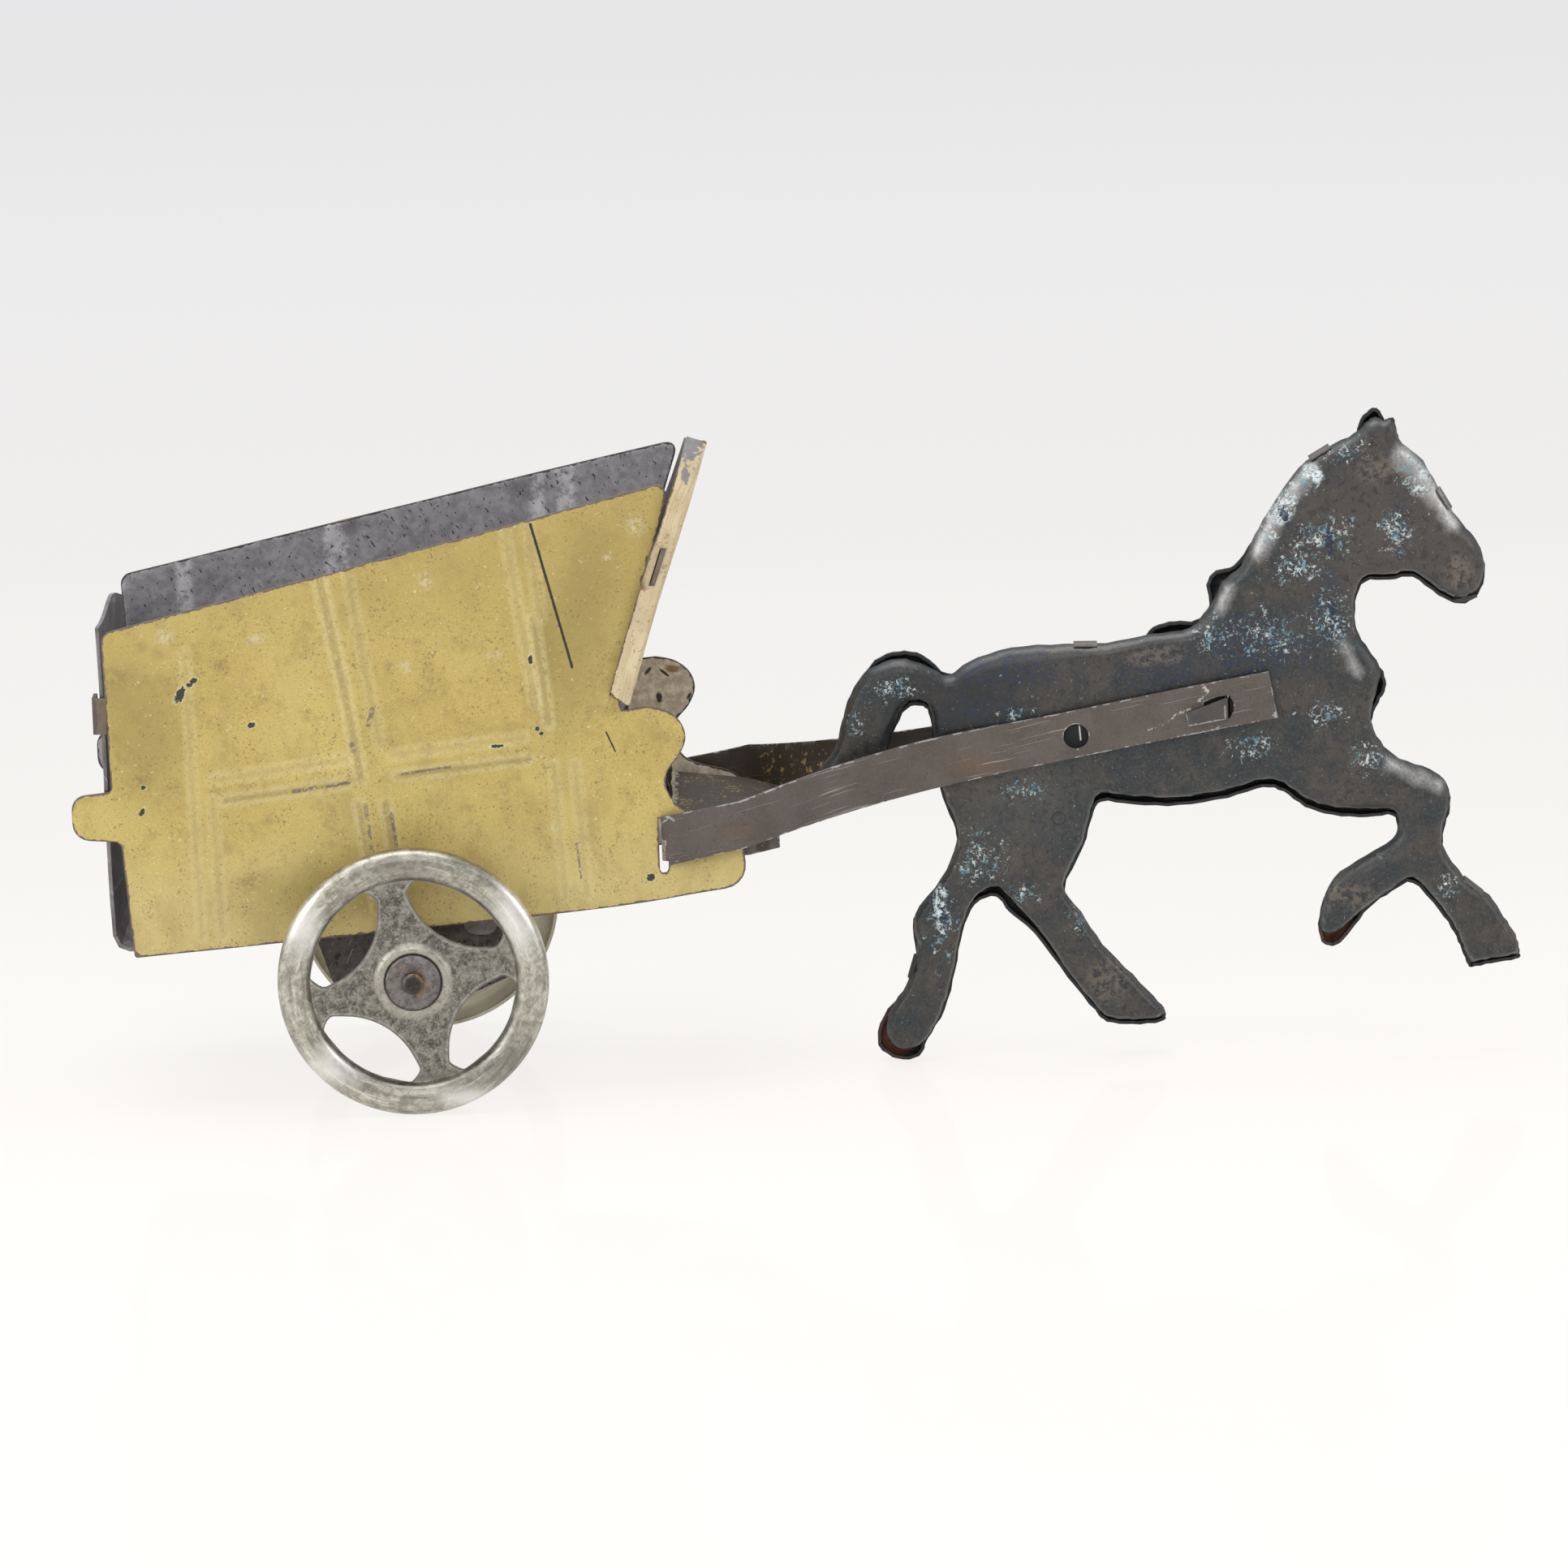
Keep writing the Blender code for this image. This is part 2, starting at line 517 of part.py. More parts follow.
def shaft_bridge(material):
    """Inverted channel between the tongues of the side panels, narrowing with the shafts outside it."""
    (x0, x1), (top0, top1), (low0, low1) = BRIDGE_X, BRIDGE_TOP_Z, BRIDGE_LOW_Z
    bend = SHAFT_SPREAD_X[0]
    stations = [(x0, half_width(x0) - TIN - GAP), (bend, half_width(bend) - TIN - GAP),
                (x1, shaft_inner_y(x1, 1) - GAP)]
    bm = bmesh.new()
    sections = []
    for x, outer in stations:
        along = (x - x0) / (x1 - x0)
        top = top0 + (top1 - top0) * along
        low = low0 + (low1 - low0) * along
        sections.append([bm.verts.new((x, y, z)) for y, z in
                         ((-outer, low), (-outer, top), (outer, top), (outer, low))])
    for rear, front in zip(sections, sections[1:]):
        for i in range(3):
            bm.faces.new((rear[i], rear[i + 1], front[i + 1], front[i]))
    bmesh.ops.recalc_face_normals(bm, faces=bm.faces[:])
    bm.faces.ensure_lookup_table()
    if bm.faces[1].normal.z < 0:
        bmesh.ops.reverse_faces(bm, faces=bm.faces[:])
    return sheet(bm, "shaft_bridge", material)


def shaft_inner_y(x, side):
    """Inner face of a shaft at x: beside the tongue, then closing in on the horse's flank."""
    x0, x1 = SHAFT_SPREAD_X
    start = side * (half_width(SHAFT_HOOK_X) + GAP)
    end = HORSE_Y + side * (GAP / 2 + HORSE_DEPTH + GAP)
    left = min(max((x1 - x) / (x1 - x0), 0.0), 1.0)
    return end + (start - end) * left ** SHAFT_SPREAD_POWER


def shaft(name, side, material):
    """Flat shaft strip, hooked into the panel's slot at the rear, with a hole and a slot at the horse."""
    half = SHAFT_HEIGHT / 2
    top = []
    bottom = []
    for i, (x, z) in enumerate(SHAFT_LINE):
        before = Vector(SHAFT_LINE[max(i - 1, 0)])
        after = Vector(SHAFT_LINE[min(i + 1, len(SHAFT_LINE) - 1)])
        across = Vector((before.y - after.y, after.x - before.x)).normalized() * half
        top.append(Vector((x, z)) + across)
        bottom.append(Vector((x, z)) - across)
    top[0].x = bottom[0].x = SHAFT_HOOK_X
    bm = slab(top + bottom[::-1], 0.0, TIN)
    for x, _ in SHAFT_LINE[1:-1]:
        cut_through(bm, (x, 0, 0), (1, 0, 0))
    x0, x1 = SHAFT_SPREAD_X
    for i in range(SHAFT_BENDS + 1):
        cut_through(bm, (x0 + (x1 - x0) * i / SHAFT_BENDS, 0, 0), (1, 0, 0))
    for v in bm.verts:
        v.co.y = shaft_inner_y(v.co.x, side) + side * v.co.y
    strip = finish(bm, name, material)
    z0, z1 = bottom[0].y + 0.25, top[0].y - 0.25
    inner = half_width(SHAFT_HOOK_X) - TIN - SHAFT_HOOK_LENGTH
    outer = abs(shaft_inner_y(SHAFT_HOOK_X, side)) + TIN
    ys = sorted((side * inner, side * outer))
    combine(strip, box(name + "_hook", (SHAFT_HOOK_X, ys[0], z0), (SHAFT_HOOK_X + TIN, ys[1], z1)), "UNION")
    x, z, radius = SHAFT_HOLE
    y = shaft_inner_y(x, side)
    combine(strip, post(name + "_hole", x, z, radius, y - 1.0, y + 1.0), "DIFFERENCE")
    play = SLOT_PLAY
    combine(strip, box(name + "_strap_slot", (STRAP_X - play, y - 1.0, STRAP_Z - STRAP_HEIGHT / 2 - play),
                       (STRAP_X + TIN + play, y + 1.0, STRAP_Z + STRAP_HEIGHT / 2 + play)), "DIFFERENCE")
    return strip


def shaft_strap(material):
    """Strap that passes through both shafts and the horse, its tapered ends folded back."""
    high = STRAP_HEIGHT / 2
    ends = []
    for side in (-1, 1):
        outside = shaft_inner_y(STRAP_X, side) + side * (TIN + GAP)
        ends.append((side, outside))
    low_y = ends[0][1] - TIN
    high_y = ends[1][1] + TIN
    strap = box("shaft_strap", (STRAP_X, low_y, STRAP_Z - high), (STRAP_X + TIN, high_y, STRAP_Z + high))
    strap.data.materials.append(material)
    for side, outside in ends:
        rise = SHAFT_LINE[-1][1] - SHAFT_LINE[-2][1]
        run = SHAFT_LINE[-1][0] - SHAFT_LINE[-2][0]
        drop = STRAP_FOLD_LENGTH * rise / run
        end = STRAP_END_HEIGHT / 2
        fold = slab(((STRAP_X + TIN / 2, STRAP_Z - high), (STRAP_X + TIN / 2, STRAP_Z + high),
                     (STRAP_X - STRAP_FOLD_LENGTH, STRAP_Z - drop + end),
                     (STRAP_X - STRAP_FOLD_LENGTH, STRAP_Z - drop - end)),
                    outside, outside + side * TIN)
        combine(strap, finish(fold, "strap_fold_%d" % side, None), "UNION")
    return strap


def horse_outline(far):
    """Horse's outline, clockwise from the tail; the far shell is larger and sits lower."""
    if far:
        runs = (FAR_TAIL, FAR_BACK, CREST, FACE, THROAT, FORELEG_FRONT, FORE_HOOF, FORELEG_BACK,
                FAR_FOLDED_LEG, BELLY, STIFLE, RIGHT_HIND_FRONT, RIGHT_HIND_HOOF, FAR_RIGHT_HIND_BACK,
                FAR_LEFT_HIND_FRONT, FAR_LEFT_HIND_HOOF, LEFT_HIND_BACK, BUTTOCK, TAIL_INSIDE)
    else:
        runs = (TAIL, BACK, CREST, FACE, THROAT, FORELEG_FRONT, FORE_HOOF, FORELEG_BACK, FOLDED_LEG, BELLY,
                STIFLE, RIGHT_HIND_FRONT, RIGHT_HIND_HOOF, RIGHT_HIND_BACK, LEFT_HIND_FRONT, LEFT_HIND_HOOF,
                LEFT_HIND_BACK, BUTTOCK, TAIL_INSIDE)
    points = smooth([place for run in runs for place in run], RUN_STEPS)
    if far:
        points = [p - Vector((0.0, FAR_DROP)) for p in grown(points, FAR_MARGIN)]
    return points


def horse_section():
    """Section of a shell's edge as (inset of the outline, depth), from the inside of the flank outward."""
    outside = ((0.0, 0.0),) + HORSE_RIM
    inside = [(inset + TIN, max(depth - TIN, 0.0)) for inset, depth in reversed(outside)]
    return inside + list(outside)


def horse_half(name, side, material):
    """One stamped shell of the horse: a flat flank with a rolled edge, open towards the other shell."""
    bm = bmesh.new()
    rim_y = HORSE_Y + side * GAP / 2
    outline = horse_outline(side > 0)
    rings = [[bm.verts.new((p.x, rim_y + side * depth, p.y)) for p in grown(outline, -inset)]
             for inset, depth in horse_section()]
    for ring, following in zip(rings, rings[1:]):
        for i in range(len(ring)):
            bm.faces.new((ring[i - 1], ring[i], following[i], following[i - 1]))
    flanks = [bm.faces.new(rings[0]), bm.faces.new(rings[-1])]
    bm.normal_update()
    bmesh.ops.triangulate(bm, faces=flanks)
    shell = finish(bm, name, material)
    reach = HORSE_Y + side * (GAP / 2 + HORSE_DEPTH + 1.0)
    ys = sorted((HORSE_Y, reach))
    play = SLOT_PLAY
    combine(shell, box(name + "_strap_slot", (STRAP_X - play, ys[0], STRAP_Z - STRAP_HEIGHT / 2 - play),
                       (STRAP_X + TIN + play, ys[1], STRAP_Z + STRAP_HEIGHT / 2 + play)), "DIFFERENCE")
    if side > 0:
        for number, place in enumerate(HORSE_TABS):
            combine(shell, horse_tab("%s_tab_%d" % (name, number), place), "UNION")
    return shell


def horse_tab(name, place):
    """Small tab of the far shell that laps over the near shell's edge, at the outline point by the place."""
    outline = horse_outline(False)
    nearest = min(range(len(outline)), key=lambda i: (outline[i] - Vector(place)).length)
    point = outline[nearest]
    along = (outline[(nearest + 1) % len(outline)] - outline[nearest - 1]).normalized()
    outward = Vector((-along.y, along.x))
    clear, over, under = SLOT_PLAY, SLOT_PLAY + TIN, -FAR_DROP - TIN / 2
    tip = HORSE_Y - GAP / 2 - HORSE_TAB_LAP
    root = HORSE_Y + GAP / 2
    section = ((clear, tip), (over, tip), (over, root + HORSE_TAB_LAP), (under, root + HORSE_TAB_LAP),
               (under, root), (clear, root))
    bm = bmesh.new()
    ends = [point - along * HORSE_TAB_WIDTH / 2, point + along * HORSE_TAB_WIDTH / 2]
    face = bm.faces.new([bm.verts.new((ends[0].x + outward.x * out, y, ends[0].y + outward.y * out))
                         for out, y in section])
    drawn = bmesh.ops.extrude_face_region(bm, geom=[face])
    length = ends[1] - ends[0]
    bmesh.ops.translate(bm, vec=(length.x, 0.0, length.y),
                        verts=[v for v in drawn["geom"] if isinstance(v, bmesh.types.BMVert)])
    return finish(bm, name, None)


def wheel_profile():
    """Half section of a wheel: (radius, how far out of the web), closed, clockwise."""
    bore = AXLE_R + RUNNING
    rim_middle = WHEEL_R - RIM_WIDTH / 2
    outer = [(bore, 0.0), (HUB_DISC_R, 0.0), (HUB_DISC_R + 0.3, HUB_BOSS_HEIGHT),
             (HUB_BOSS_R - 0.3, HUB_BOSS_HEIGHT), (HUB_BOSS_R, 0.0)]
    rim_steps = 6
    for i in range(rim_steps + 1):
        angle = math.pi * (1 - i / rim_steps)
        outer.append((rim_middle + RIM_WIDTH / 2 * math.cos(angle), RIM_BULGE * math.sin(angle)))
    inner = [(WHEEL_R, -TIN)]
    for i in range(1, rim_steps):
        angle = math.pi * i / rim_steps
        inner.append((rim_middle + (RIM_WIDTH / 2 - TIN) * math.cos(angle),
                      (RIM_BULGE - TIN) * math.sin(angle)))
    inner += [(WHEEL_R - RIM_WIDTH, -TIN), (HUB_BOSS_R + 0.1, -TIN),
              (HUB_BOSS_R - 0.4, HUB_BOSS_HEIGHT - TIN), (HUB_DISC_R + 0.4, HUB_BOSS_HEIGHT - TIN),
              (HUB_DISC_R - 0.1, -TIN), (bore, -TIN)]
    return outer + inner


def turned(profile, steps):
    """A solid turned about y from a closed profile of (radius, y)."""
    bm = bmesh.new()
    verts = [bm.verts.new((0.0, y, -r)) for r, y in profile]
    edges = [bm.edges.new((verts[i - 1], verts[i])) for i in range(len(verts))]
    bmesh.ops.spin(bm, geom=verts + edges, cent=(0, 0, 0), axis=(0, 1, 0), angle=math.tau, steps=steps,
                   use_merge=True)
    bmesh.ops.remove_doubles(bm, verts=bm.verts[:], dist=1e-4)
    return bm


def window_outline():
    """Lens between the rim and an arc that bows towards the hub, its middle on +x, corners rounded."""
    rim_r = WHEEL_R - RIM_WIDTH
    half = math.radians(WINDOW_HALF_ANGLE)
    end_x, end_z = rim_r * math.cos(half), rim_r * math.sin(half)
    centre = (end_x ** 2 + end_z ** 2 - WINDOW_INNER_R ** 2) / (2 * (end_x - WINDOW_INNER_R))
    radius = centre - WINDOW_INNER_R
    arc_steps = 8
    inner_half = math.atan2(end_z, centre - end_x)
    outer = [(rim_r * math.cos(half * t), rim_r * math.sin(half * t))
             for t in (1 - 2 * i / arc_steps for i in range(arc_steps + 1))]
    inner = [(centre - radius * math.cos(inner_half * t), radius * math.sin(inner_half * t))
             for t in (-1 + 2 * i / arc_steps for i in range(1, arc_steps))]
    corner = WINDOW_CORNER_R
    return rounded([(x, z, corner if i in (0, arc_steps) else 0.0) for i, (x, z) in enumerate(outer + inner)])


def wheel(name, side, material):
    """Pressed wheel with a rolled rim, four lens windows and a running hole, turning about its own y."""
    spun = turned([(r, side * y) for r, y in wheel_profile()], WHEEL_STEPS)
    disc = finish(spun, name, material, (0.0, side * wheel_y(), WHEEL_R), smooth_angle=30)
    lens = window_outline()
    for k in range(WINDOW_COUNT):
        turn = math.radians(WINDOW_TURN + 360.0 * k / WINDOW_COUNT)
        turned_lens = [(x * math.cos(turn) - z * math.sin(turn), x * math.sin(turn) + z * math.cos(turn))
                       for x, z in lens]
        cutter = finish(slab(turned_lens, -1.0, 1.0), "%s_window_%d" % (name, k), None,
                        (0.0, side * wheel_y(), WHEEL_R))
        combine(disc, cutter, "DIFFERENCE")
    return disc


def axle(material):
    """Axle wire with a crimped collar inside each wheel and a peened end outside each hub disc."""
    web = wheel_y()
    head = web + GAP + HUB_DISC_THICKNESS + GAP
    collar = web - TIN - GAP
    collar_inside = collar - AXLE_COLLAR_LENGTH
    half = [(AXLE_R, 0.0), (AXLE_R, collar_inside), (AXLE_COLLAR_R, collar_inside),
            (AXLE_COLLAR_R, collar), (AXLE_R, collar), (AXLE_R, head), (AXLE_HEAD_R, head),
            (AXLE_HEAD_R * 0.75, head + AXLE_HEAD_LENGTH)]
    profile = [(r, -y) for r, y in half[:0:-1]] + half[1:]
    bm = bmesh.new()
    ends = [(0.0, -head - AXLE_HEAD_LENGTH)] + profile + [(0.0, head + AXLE_HEAD_LENGTH)]
    verts = [bm.verts.new((0.0, y, -r)) for r, y in ends]
    edges = [bm.edges.new((a, b)) for a, b in zip(verts, verts[1:])]
    bmesh.ops.spin(bm, geom=verts + edges, cent=(0, 0, 0), axis=(0, 1, 0), angle=math.tau, steps=24,
                   use_merge=True)
    bmesh.ops.remove_doubles(bm, verts=bm.verts[:], dist=1e-4)
    return finish(bm, "axle", material, (0.0, 0.0, WHEEL_R), smooth_angle=30)


def hub_disc(name, side, material):
    """Disc held against the wheel's hub by the peened end of the axle."""
    bore = AXLE_R + RUNNING
    inner = wheel_y() + GAP
    outer = inner + HUB_DISC_THICKNESS
    edge = 0.12
    profile = ((bore, inner), (HUB_DISC_R, inner), (HUB_DISC_R, outer - edge), (HUB_DISC_R - edge, outer),
               (bore, outer))
    return finish(turned([(r, side * y) for r, y in profile], 36), name, material, (0.0, 0.0, WHEEL_R),
                  smooth_angle=30)


def axle_saddle(material):
    """Saddle under the floor: a top plate along the floor and two cheeks that carry the axle."""
    x0, x1 = SADDLE_X
    top = FLOOR_LIFT - GAP
    corners = [(x0, floor_z(x0) + top, 0.0), (x1, floor_z(x1) + top, 0.0)] + list(SADDLE_CHEEK[::-1])
    outline = rounded(corners)
    saddle = finish(slab(outline, -SADDLE_HALF_WIDTH, SADDLE_HALF_WIDTH), "axle_saddle", material)
    past = 2.0
    low = min(z for _, z, _ in SADDLE_CHEEK) - past
    inner = SADDLE_HALF_WIDTH - TIN
    hollow = slab(((x0 - past, low), (x0 - past, floor_z(x0 - past) + top - TIN),
                   (x1 + past, floor_z(x1 + past) + top - TIN), (x1 + past, low)), -inner, inner)
    combine(saddle, finish(hollow, "saddle_hollow", None), "DIFFERENCE")
    bore = AXLE_R + SLOT_PLAY
    combine(saddle, post("saddle_bore", 0.0, WHEEL_R, bore, -SADDLE_HALF_WIDTH - past,
                         SADDLE_HALF_WIDTH + past), "DIFFERENCE")
    return saddle


for old in list(bpy.data.objects):
    bpy.data.objects.remove(old, do_unlink=True)

TOY = bpy.data.objects.new("toy", None)
bpy.context.collection.objects.link(TOY)
TOY.location = (AXLE_X * MM, 0.0, 0.0)
TOY.scale = (MM, MM, MM)

yellow = new_material("yellow_paint", YELLOW_PAINT, 0.5, 0.0)
cream = new_material("cream_paint", CREAM_PAINT, 0.55, 0.0)
bare = new_material("bare_tin", BARE_TIN, 0.45, 0.7)
brown = new_material("brown_japan", BROWN_JAPAN, 0.45, 0.3)
black = new_material("black_japan", BLACK_JAPAN, 0.35, 0.4)
wheel_tin = new_material("wheel_tin", WHEEL_TIN, 0.35, 0.9)
steel = new_material("steel", STEEL, 0.45, 0.8)

for side, label in ((-1, "near"), (1, "far")):
    side_panel("side_panel_" + label, side, yellow)
    shaft("shaft_" + label, side, brown)
    horse_half("horse_%s_half" % label, side, black)
    wheel("wheel_" + label, side, wheel_tin)
    hub_disc("hub_disc_" + label, side, steel)
floor_tray(bare)
front_board(cream)
shaft_bridge(brown)
shaft_strap(bare)
axle_saddle(steel)
axle(steel)
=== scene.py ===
# %% [markdown]
# # A horse-drawn cart, a penny toy of tinplate
# The toy is a flat horse pressed in two shells, held between two strips that serve as shafts, and a
# small cart of thin painted sheet on two pressed wheels. The measured model is loaded first and
# stays where it is. The lesson then makes each piece again with softer folds, rolled edges and
# ribs, and gives every surface its paint, its lacquer and its wear.

# %% Load the measured model
import math
import json

import bmesh
import bpy
import numpy as np
from mathutils import Matrix, Vector


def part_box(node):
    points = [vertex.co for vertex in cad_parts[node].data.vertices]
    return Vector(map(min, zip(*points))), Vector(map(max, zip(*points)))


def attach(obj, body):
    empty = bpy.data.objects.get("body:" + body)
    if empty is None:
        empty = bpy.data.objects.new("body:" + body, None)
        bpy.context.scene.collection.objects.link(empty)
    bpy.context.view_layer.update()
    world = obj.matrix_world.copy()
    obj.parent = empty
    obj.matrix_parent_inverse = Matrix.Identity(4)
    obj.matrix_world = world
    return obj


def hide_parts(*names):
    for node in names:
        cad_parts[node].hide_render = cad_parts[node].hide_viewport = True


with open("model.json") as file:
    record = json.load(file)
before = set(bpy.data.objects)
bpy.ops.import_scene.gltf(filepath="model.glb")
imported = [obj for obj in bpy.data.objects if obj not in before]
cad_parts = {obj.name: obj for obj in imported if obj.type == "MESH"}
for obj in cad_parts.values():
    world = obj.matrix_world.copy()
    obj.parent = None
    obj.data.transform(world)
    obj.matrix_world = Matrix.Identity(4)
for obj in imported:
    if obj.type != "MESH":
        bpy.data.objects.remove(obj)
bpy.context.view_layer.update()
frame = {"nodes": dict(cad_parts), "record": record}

# %% [markdown]
# ## Measures
# Lengths are written in millimetres in the toy's side view, as a maker's drawing has them: x runs
# forward from the axle, y away from the near side, z up from the ground. Every finished mesh is
# moved to the model's place and scaled to metres in one step, so its object stays at the origin.

# %% Stock, clearances and the place of the axle
axle_low, axle_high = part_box("axle")
AXLE_X = (axle_low[0] + axle_high[0]) / 2
TO_MODEL = Matrix.Translation((AXLE_X, 0, 0)) @ Matrix.Scale(0.001, 4)
NEAR, FAR = -1, 1
TIN = 0.35
GAP = 0.3
print("axle stands at", round(AXLE_X, 5))

# %% Widths of the cart
CART_HALF_WIDTHS = ((-27.0, 16.5), (11.5, 14.7), (26.0, 13.0))


def read_between(table, x):
    """A value at x, straight between the entries of a table of (x, value) pairs."""
    for (x0, v0), (x1, v1) in zip(table, table[1:]):
        if x <= x1:
            return v0 + (v1 - v0) * (x - x0) / (x1 - x0)
    return table[-1][1]


def cart_side(x):
    """Outer face of the cart's side at x, with the bend at the front rib softened."""
    return sum(read_between(CART_HALF_WIDTHS, x + shift) for shift in (-0.8, -0.4, 0.0, 0.4, 0.8)) / 5


print("half width at the rear", cart_side(-27), "and at the front", cart_side(26))

# %% [markdown]
# ## Sheet metal in a bmesh
# A piece of sheet starts as one face drawn in the side view. Planes cut it into a fine grid, so it
# can then be bent, ribbed or dented by moving its vertices. Holes are punched by cutting along
# each side of the hole and taking out what is inside. A Solidify modifier gives the sheet its
# thickness last, and a Bevel breaks its cut edges, as tumbling and handling do on the real one.

# %% Draw a face, cut a grid, punch a hole
def smooth_run(points, steps, closed=True):
    """A smooth curve through the landmarks, with a few points between each two."""
    count = len(points)
    curve = []
    for i in range(count if closed else count - 1):
        pick = [(i + k) % count if closed else min(max(i + k, 0), count - 1) for k in (-1, 0, 1, 2)]
        a, b, c, d = (Vector(points[k]) for k in pick)
        for step in range(steps):
            t = step / steps
            curve.append(0.5 * (2 * b + (c - a) * t + (2 * a - 5 * b + 4 * c - d) * t * t
                                + (3 * b - a - 3 * c + d) * t * t * t))
    if not closed:
        curve.append(Vector(points[-1]))
    return curve


def draw_face(outline, y=0.0):
    """A bmesh with one face, drawn in the side view."""
    bm = bmesh.new()
    bm.faces.new([bm.verts.new((p[0], y, p[1])) for p in outline])
    return bm


def round_corners(bm, corners):
    """Round the corners of a drawn face: each is (x, z, how far the curve reaches along the edges)."""
    for x, z, reach in corners:
        here = min(bm.verts, key=lambda v: (v.co - Vector((x, v.co.y, z))).length)
        bmesh.ops.bevel(bm, geom=[here], offset=reach, affect="VERTICES", segments=5, profile=0.5,
                        material=-1)


def slice_sheet(bm, point, normal, faces=None):
    """Add an edge where a plane crosses the sheet, or only the given faces of it."""
    if faces is None:
        geom = bm.verts[:] + bm.edges[:] + bm.faces[:]
    else:
        edges = {e for f in faces for e in f.edges}
        geom = list({v for f in faces for v in f.verts}) + list(edges) + list(faces)
    return bmesh.ops.bisect_plane(bm, geom=geom, plane_co=point, plane_no=normal, dist=1e-5)


def cut_grid(bm, step, axes="xz"):
    """Cut the sheet every step along the given axes."""
    for axis in axes:
        k = "xyz".index(axis)
        normal = [0.0, 0.0, 0.0]
        normal[k] = 1.0
        low = min(v.co[k] for v in bm.verts)
        high = max(v.co[k] for v in bm.verts)
        count = int((high - low) / step)
        for i in range(1, count + 1):
            point = [0.0, 0.0, 0.0]
            point[k] = low + (high - low) * i / (count + 1)
            slice_sheet(bm, point, normal)


LARGE_FACE = 4.0


def punch(bm, hole, among=None):
    """Take a convex hole, drawn in the side view, out of the sheet, or out of the faces that a test picks.
    Only faces near the hole are cut, and large ones, whose corners may all lie far from it."""
    middle = Vector((sum(p[0] for p in hole) / len(hole), sum(p[1] for p in hole) / len(hole)))
    reach = max((Vector(p) - middle).length for p in hole) + 0.2

    def inside_reach(f):
        spans = [Vector((v.co.x, v.co.z)) - middle for v in f.verts]
        near = min(s.length for s in spans) < reach + 1.0 or f.calc_area() > LARGE_FACE
        return near and (among is None or among(f))

    def side_of(p, q, place):
        return (q[0] - p[0]) * (place.y - p[1]) - (q[1] - p[1]) * (place.x - p[0])

    sides = list(zip(hole, hole[1:] + hole[:1]))
    around = [f for f in bm.faces if inside_reach(f)]
    for p, q in sides:
        normal = Vector((q[1] - p[1], 0.0, p[0] - q[0]))
        cut = slice_sheet(bm, (p[0], 0.0, p[1]), normal, around)["geom"]
        around = [g for g in cut if isinstance(g, bmesh.types.BMFace)]
    sign = 1 if side_of(*sides[0], middle) > 0 else -1
    gone = []
    for f in around:
        centre = f.calc_center_median()
        place = Vector((centre.x, centre.z))
        within = all(sign * side_of(p, q, place) > 0 for p, q in sides)
        if within and (place - middle).length < reach and (among is None or among(f)):
            gone.append(f)
    bmesh.ops.delete(bm, geom=gone, context="FACES")


print("sheet helpers ready")


# %% How far each point is from a cut edge
FAR_FROM_EDGE = 9.0


def distance_to_line(points, start, end):
    """Distance of an array of points from one straight stretch."""
    start, along = np.array(start), np.array(end) - np.array(start)
    reach = np.clip(((points - start) @ along) / max(along @ along, 1e-9), 0.0, 1.0)
    return np.linalg.norm(points - (start + reach[:, None] * along), axis=1)


def measure_edges(bm):
    """Store every vertex's distance from the sheet's cut edges, for the paint that has worn off there."""
    points = np.array([tuple(v.co) for v in bm.verts])
    near = np.full(len(points), FAR_FROM_EDGE)
    for e in bm.edges:
        if e.is_boundary:
            near = np.minimum(near, distance_to_line(points, tuple(e.verts[0].co), tuple(e.verts[1].co)))
    layer = bm.verts.layers.float.new("from_edge")
    for v, d in zip(bm.verts, near):
        v[layer] = float(d)


# %% Turn a mesh outward and finish it as a piece
CUT_EDGE_ANGLE = 50


def face_side(bm, direction):
    """Turn an open sheet's faces towards a direction."""
    bmesh.ops.recalc_face_normals(bm, faces=bm.faces[:])
    bm.normal_update()
    total = sum((f.normal * f.calc_area() for f in bm.faces), Vector())
    if total.dot(Vector(direction)) < 0:
        bmesh.ops.reverse_faces(bm, faces=bm.faces[:])


def finish_piece(bm, name, body, nodes, slot, wall=0.0, soften=0.0, smooth_angle=38):
    """Thicken, soften and place a mesh as a piece that rides on a body and stands for measured nodes."""
    measure_edges(bm)
    mesh = bpy.data.meshes.new(name)
    bm.to_mesh(mesh)
    bm.free()
    piece = bpy.data.objects.new(name, mesh)
    bpy.context.collection.objects.link(piece)
    if wall:
        thick = piece.modifiers.new("wall", "SOLIDIFY")
        thick.thickness = wall
        thick.offset = -1.0
        thick.use_even_offset = True
    if soften:
        edge = piece.modifiers.new("broken_edge", "BEVEL")
        edge.width = soften
        edge.segments = 2
        edge.limit_method = "ANGLE"
        edge.angle_limit = math.radians(CUT_EDGE_ANGLE)
    ready = piece.evaluated_get(bpy.context.evaluated_depsgraph_get())
    mesh = bpy.data.meshes.new_from_object(ready)
    piece.modifiers.clear()
    piece.data = mesh
    mesh.name = name
    mesh.transform(TO_MODEL)
    mesh.shade_smooth()
    mesh.set_sharp_from_angle(angle=math.radians(smooth_angle))
    mesh.materials.clear()
    mesh.materials.append(bpy.data.materials[slot + "_finish"])
    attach(piece, body)
    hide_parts(*nodes)
    print(name, len(mesh.polygons), "faces")


# %% [markdown]
# ## Wiring a finish
# A finish is a tree of shader nodes. This small helper places a node, feeds its sockets with plain
# values or with other nodes' outputs, and returns the output that is wanted, so a finish reads as
# a recipe: noise, then a threshold, then a wash of another colour over the one before.

# %% A helper that places and links nodes
X, Y, Z = 0, 1, 2


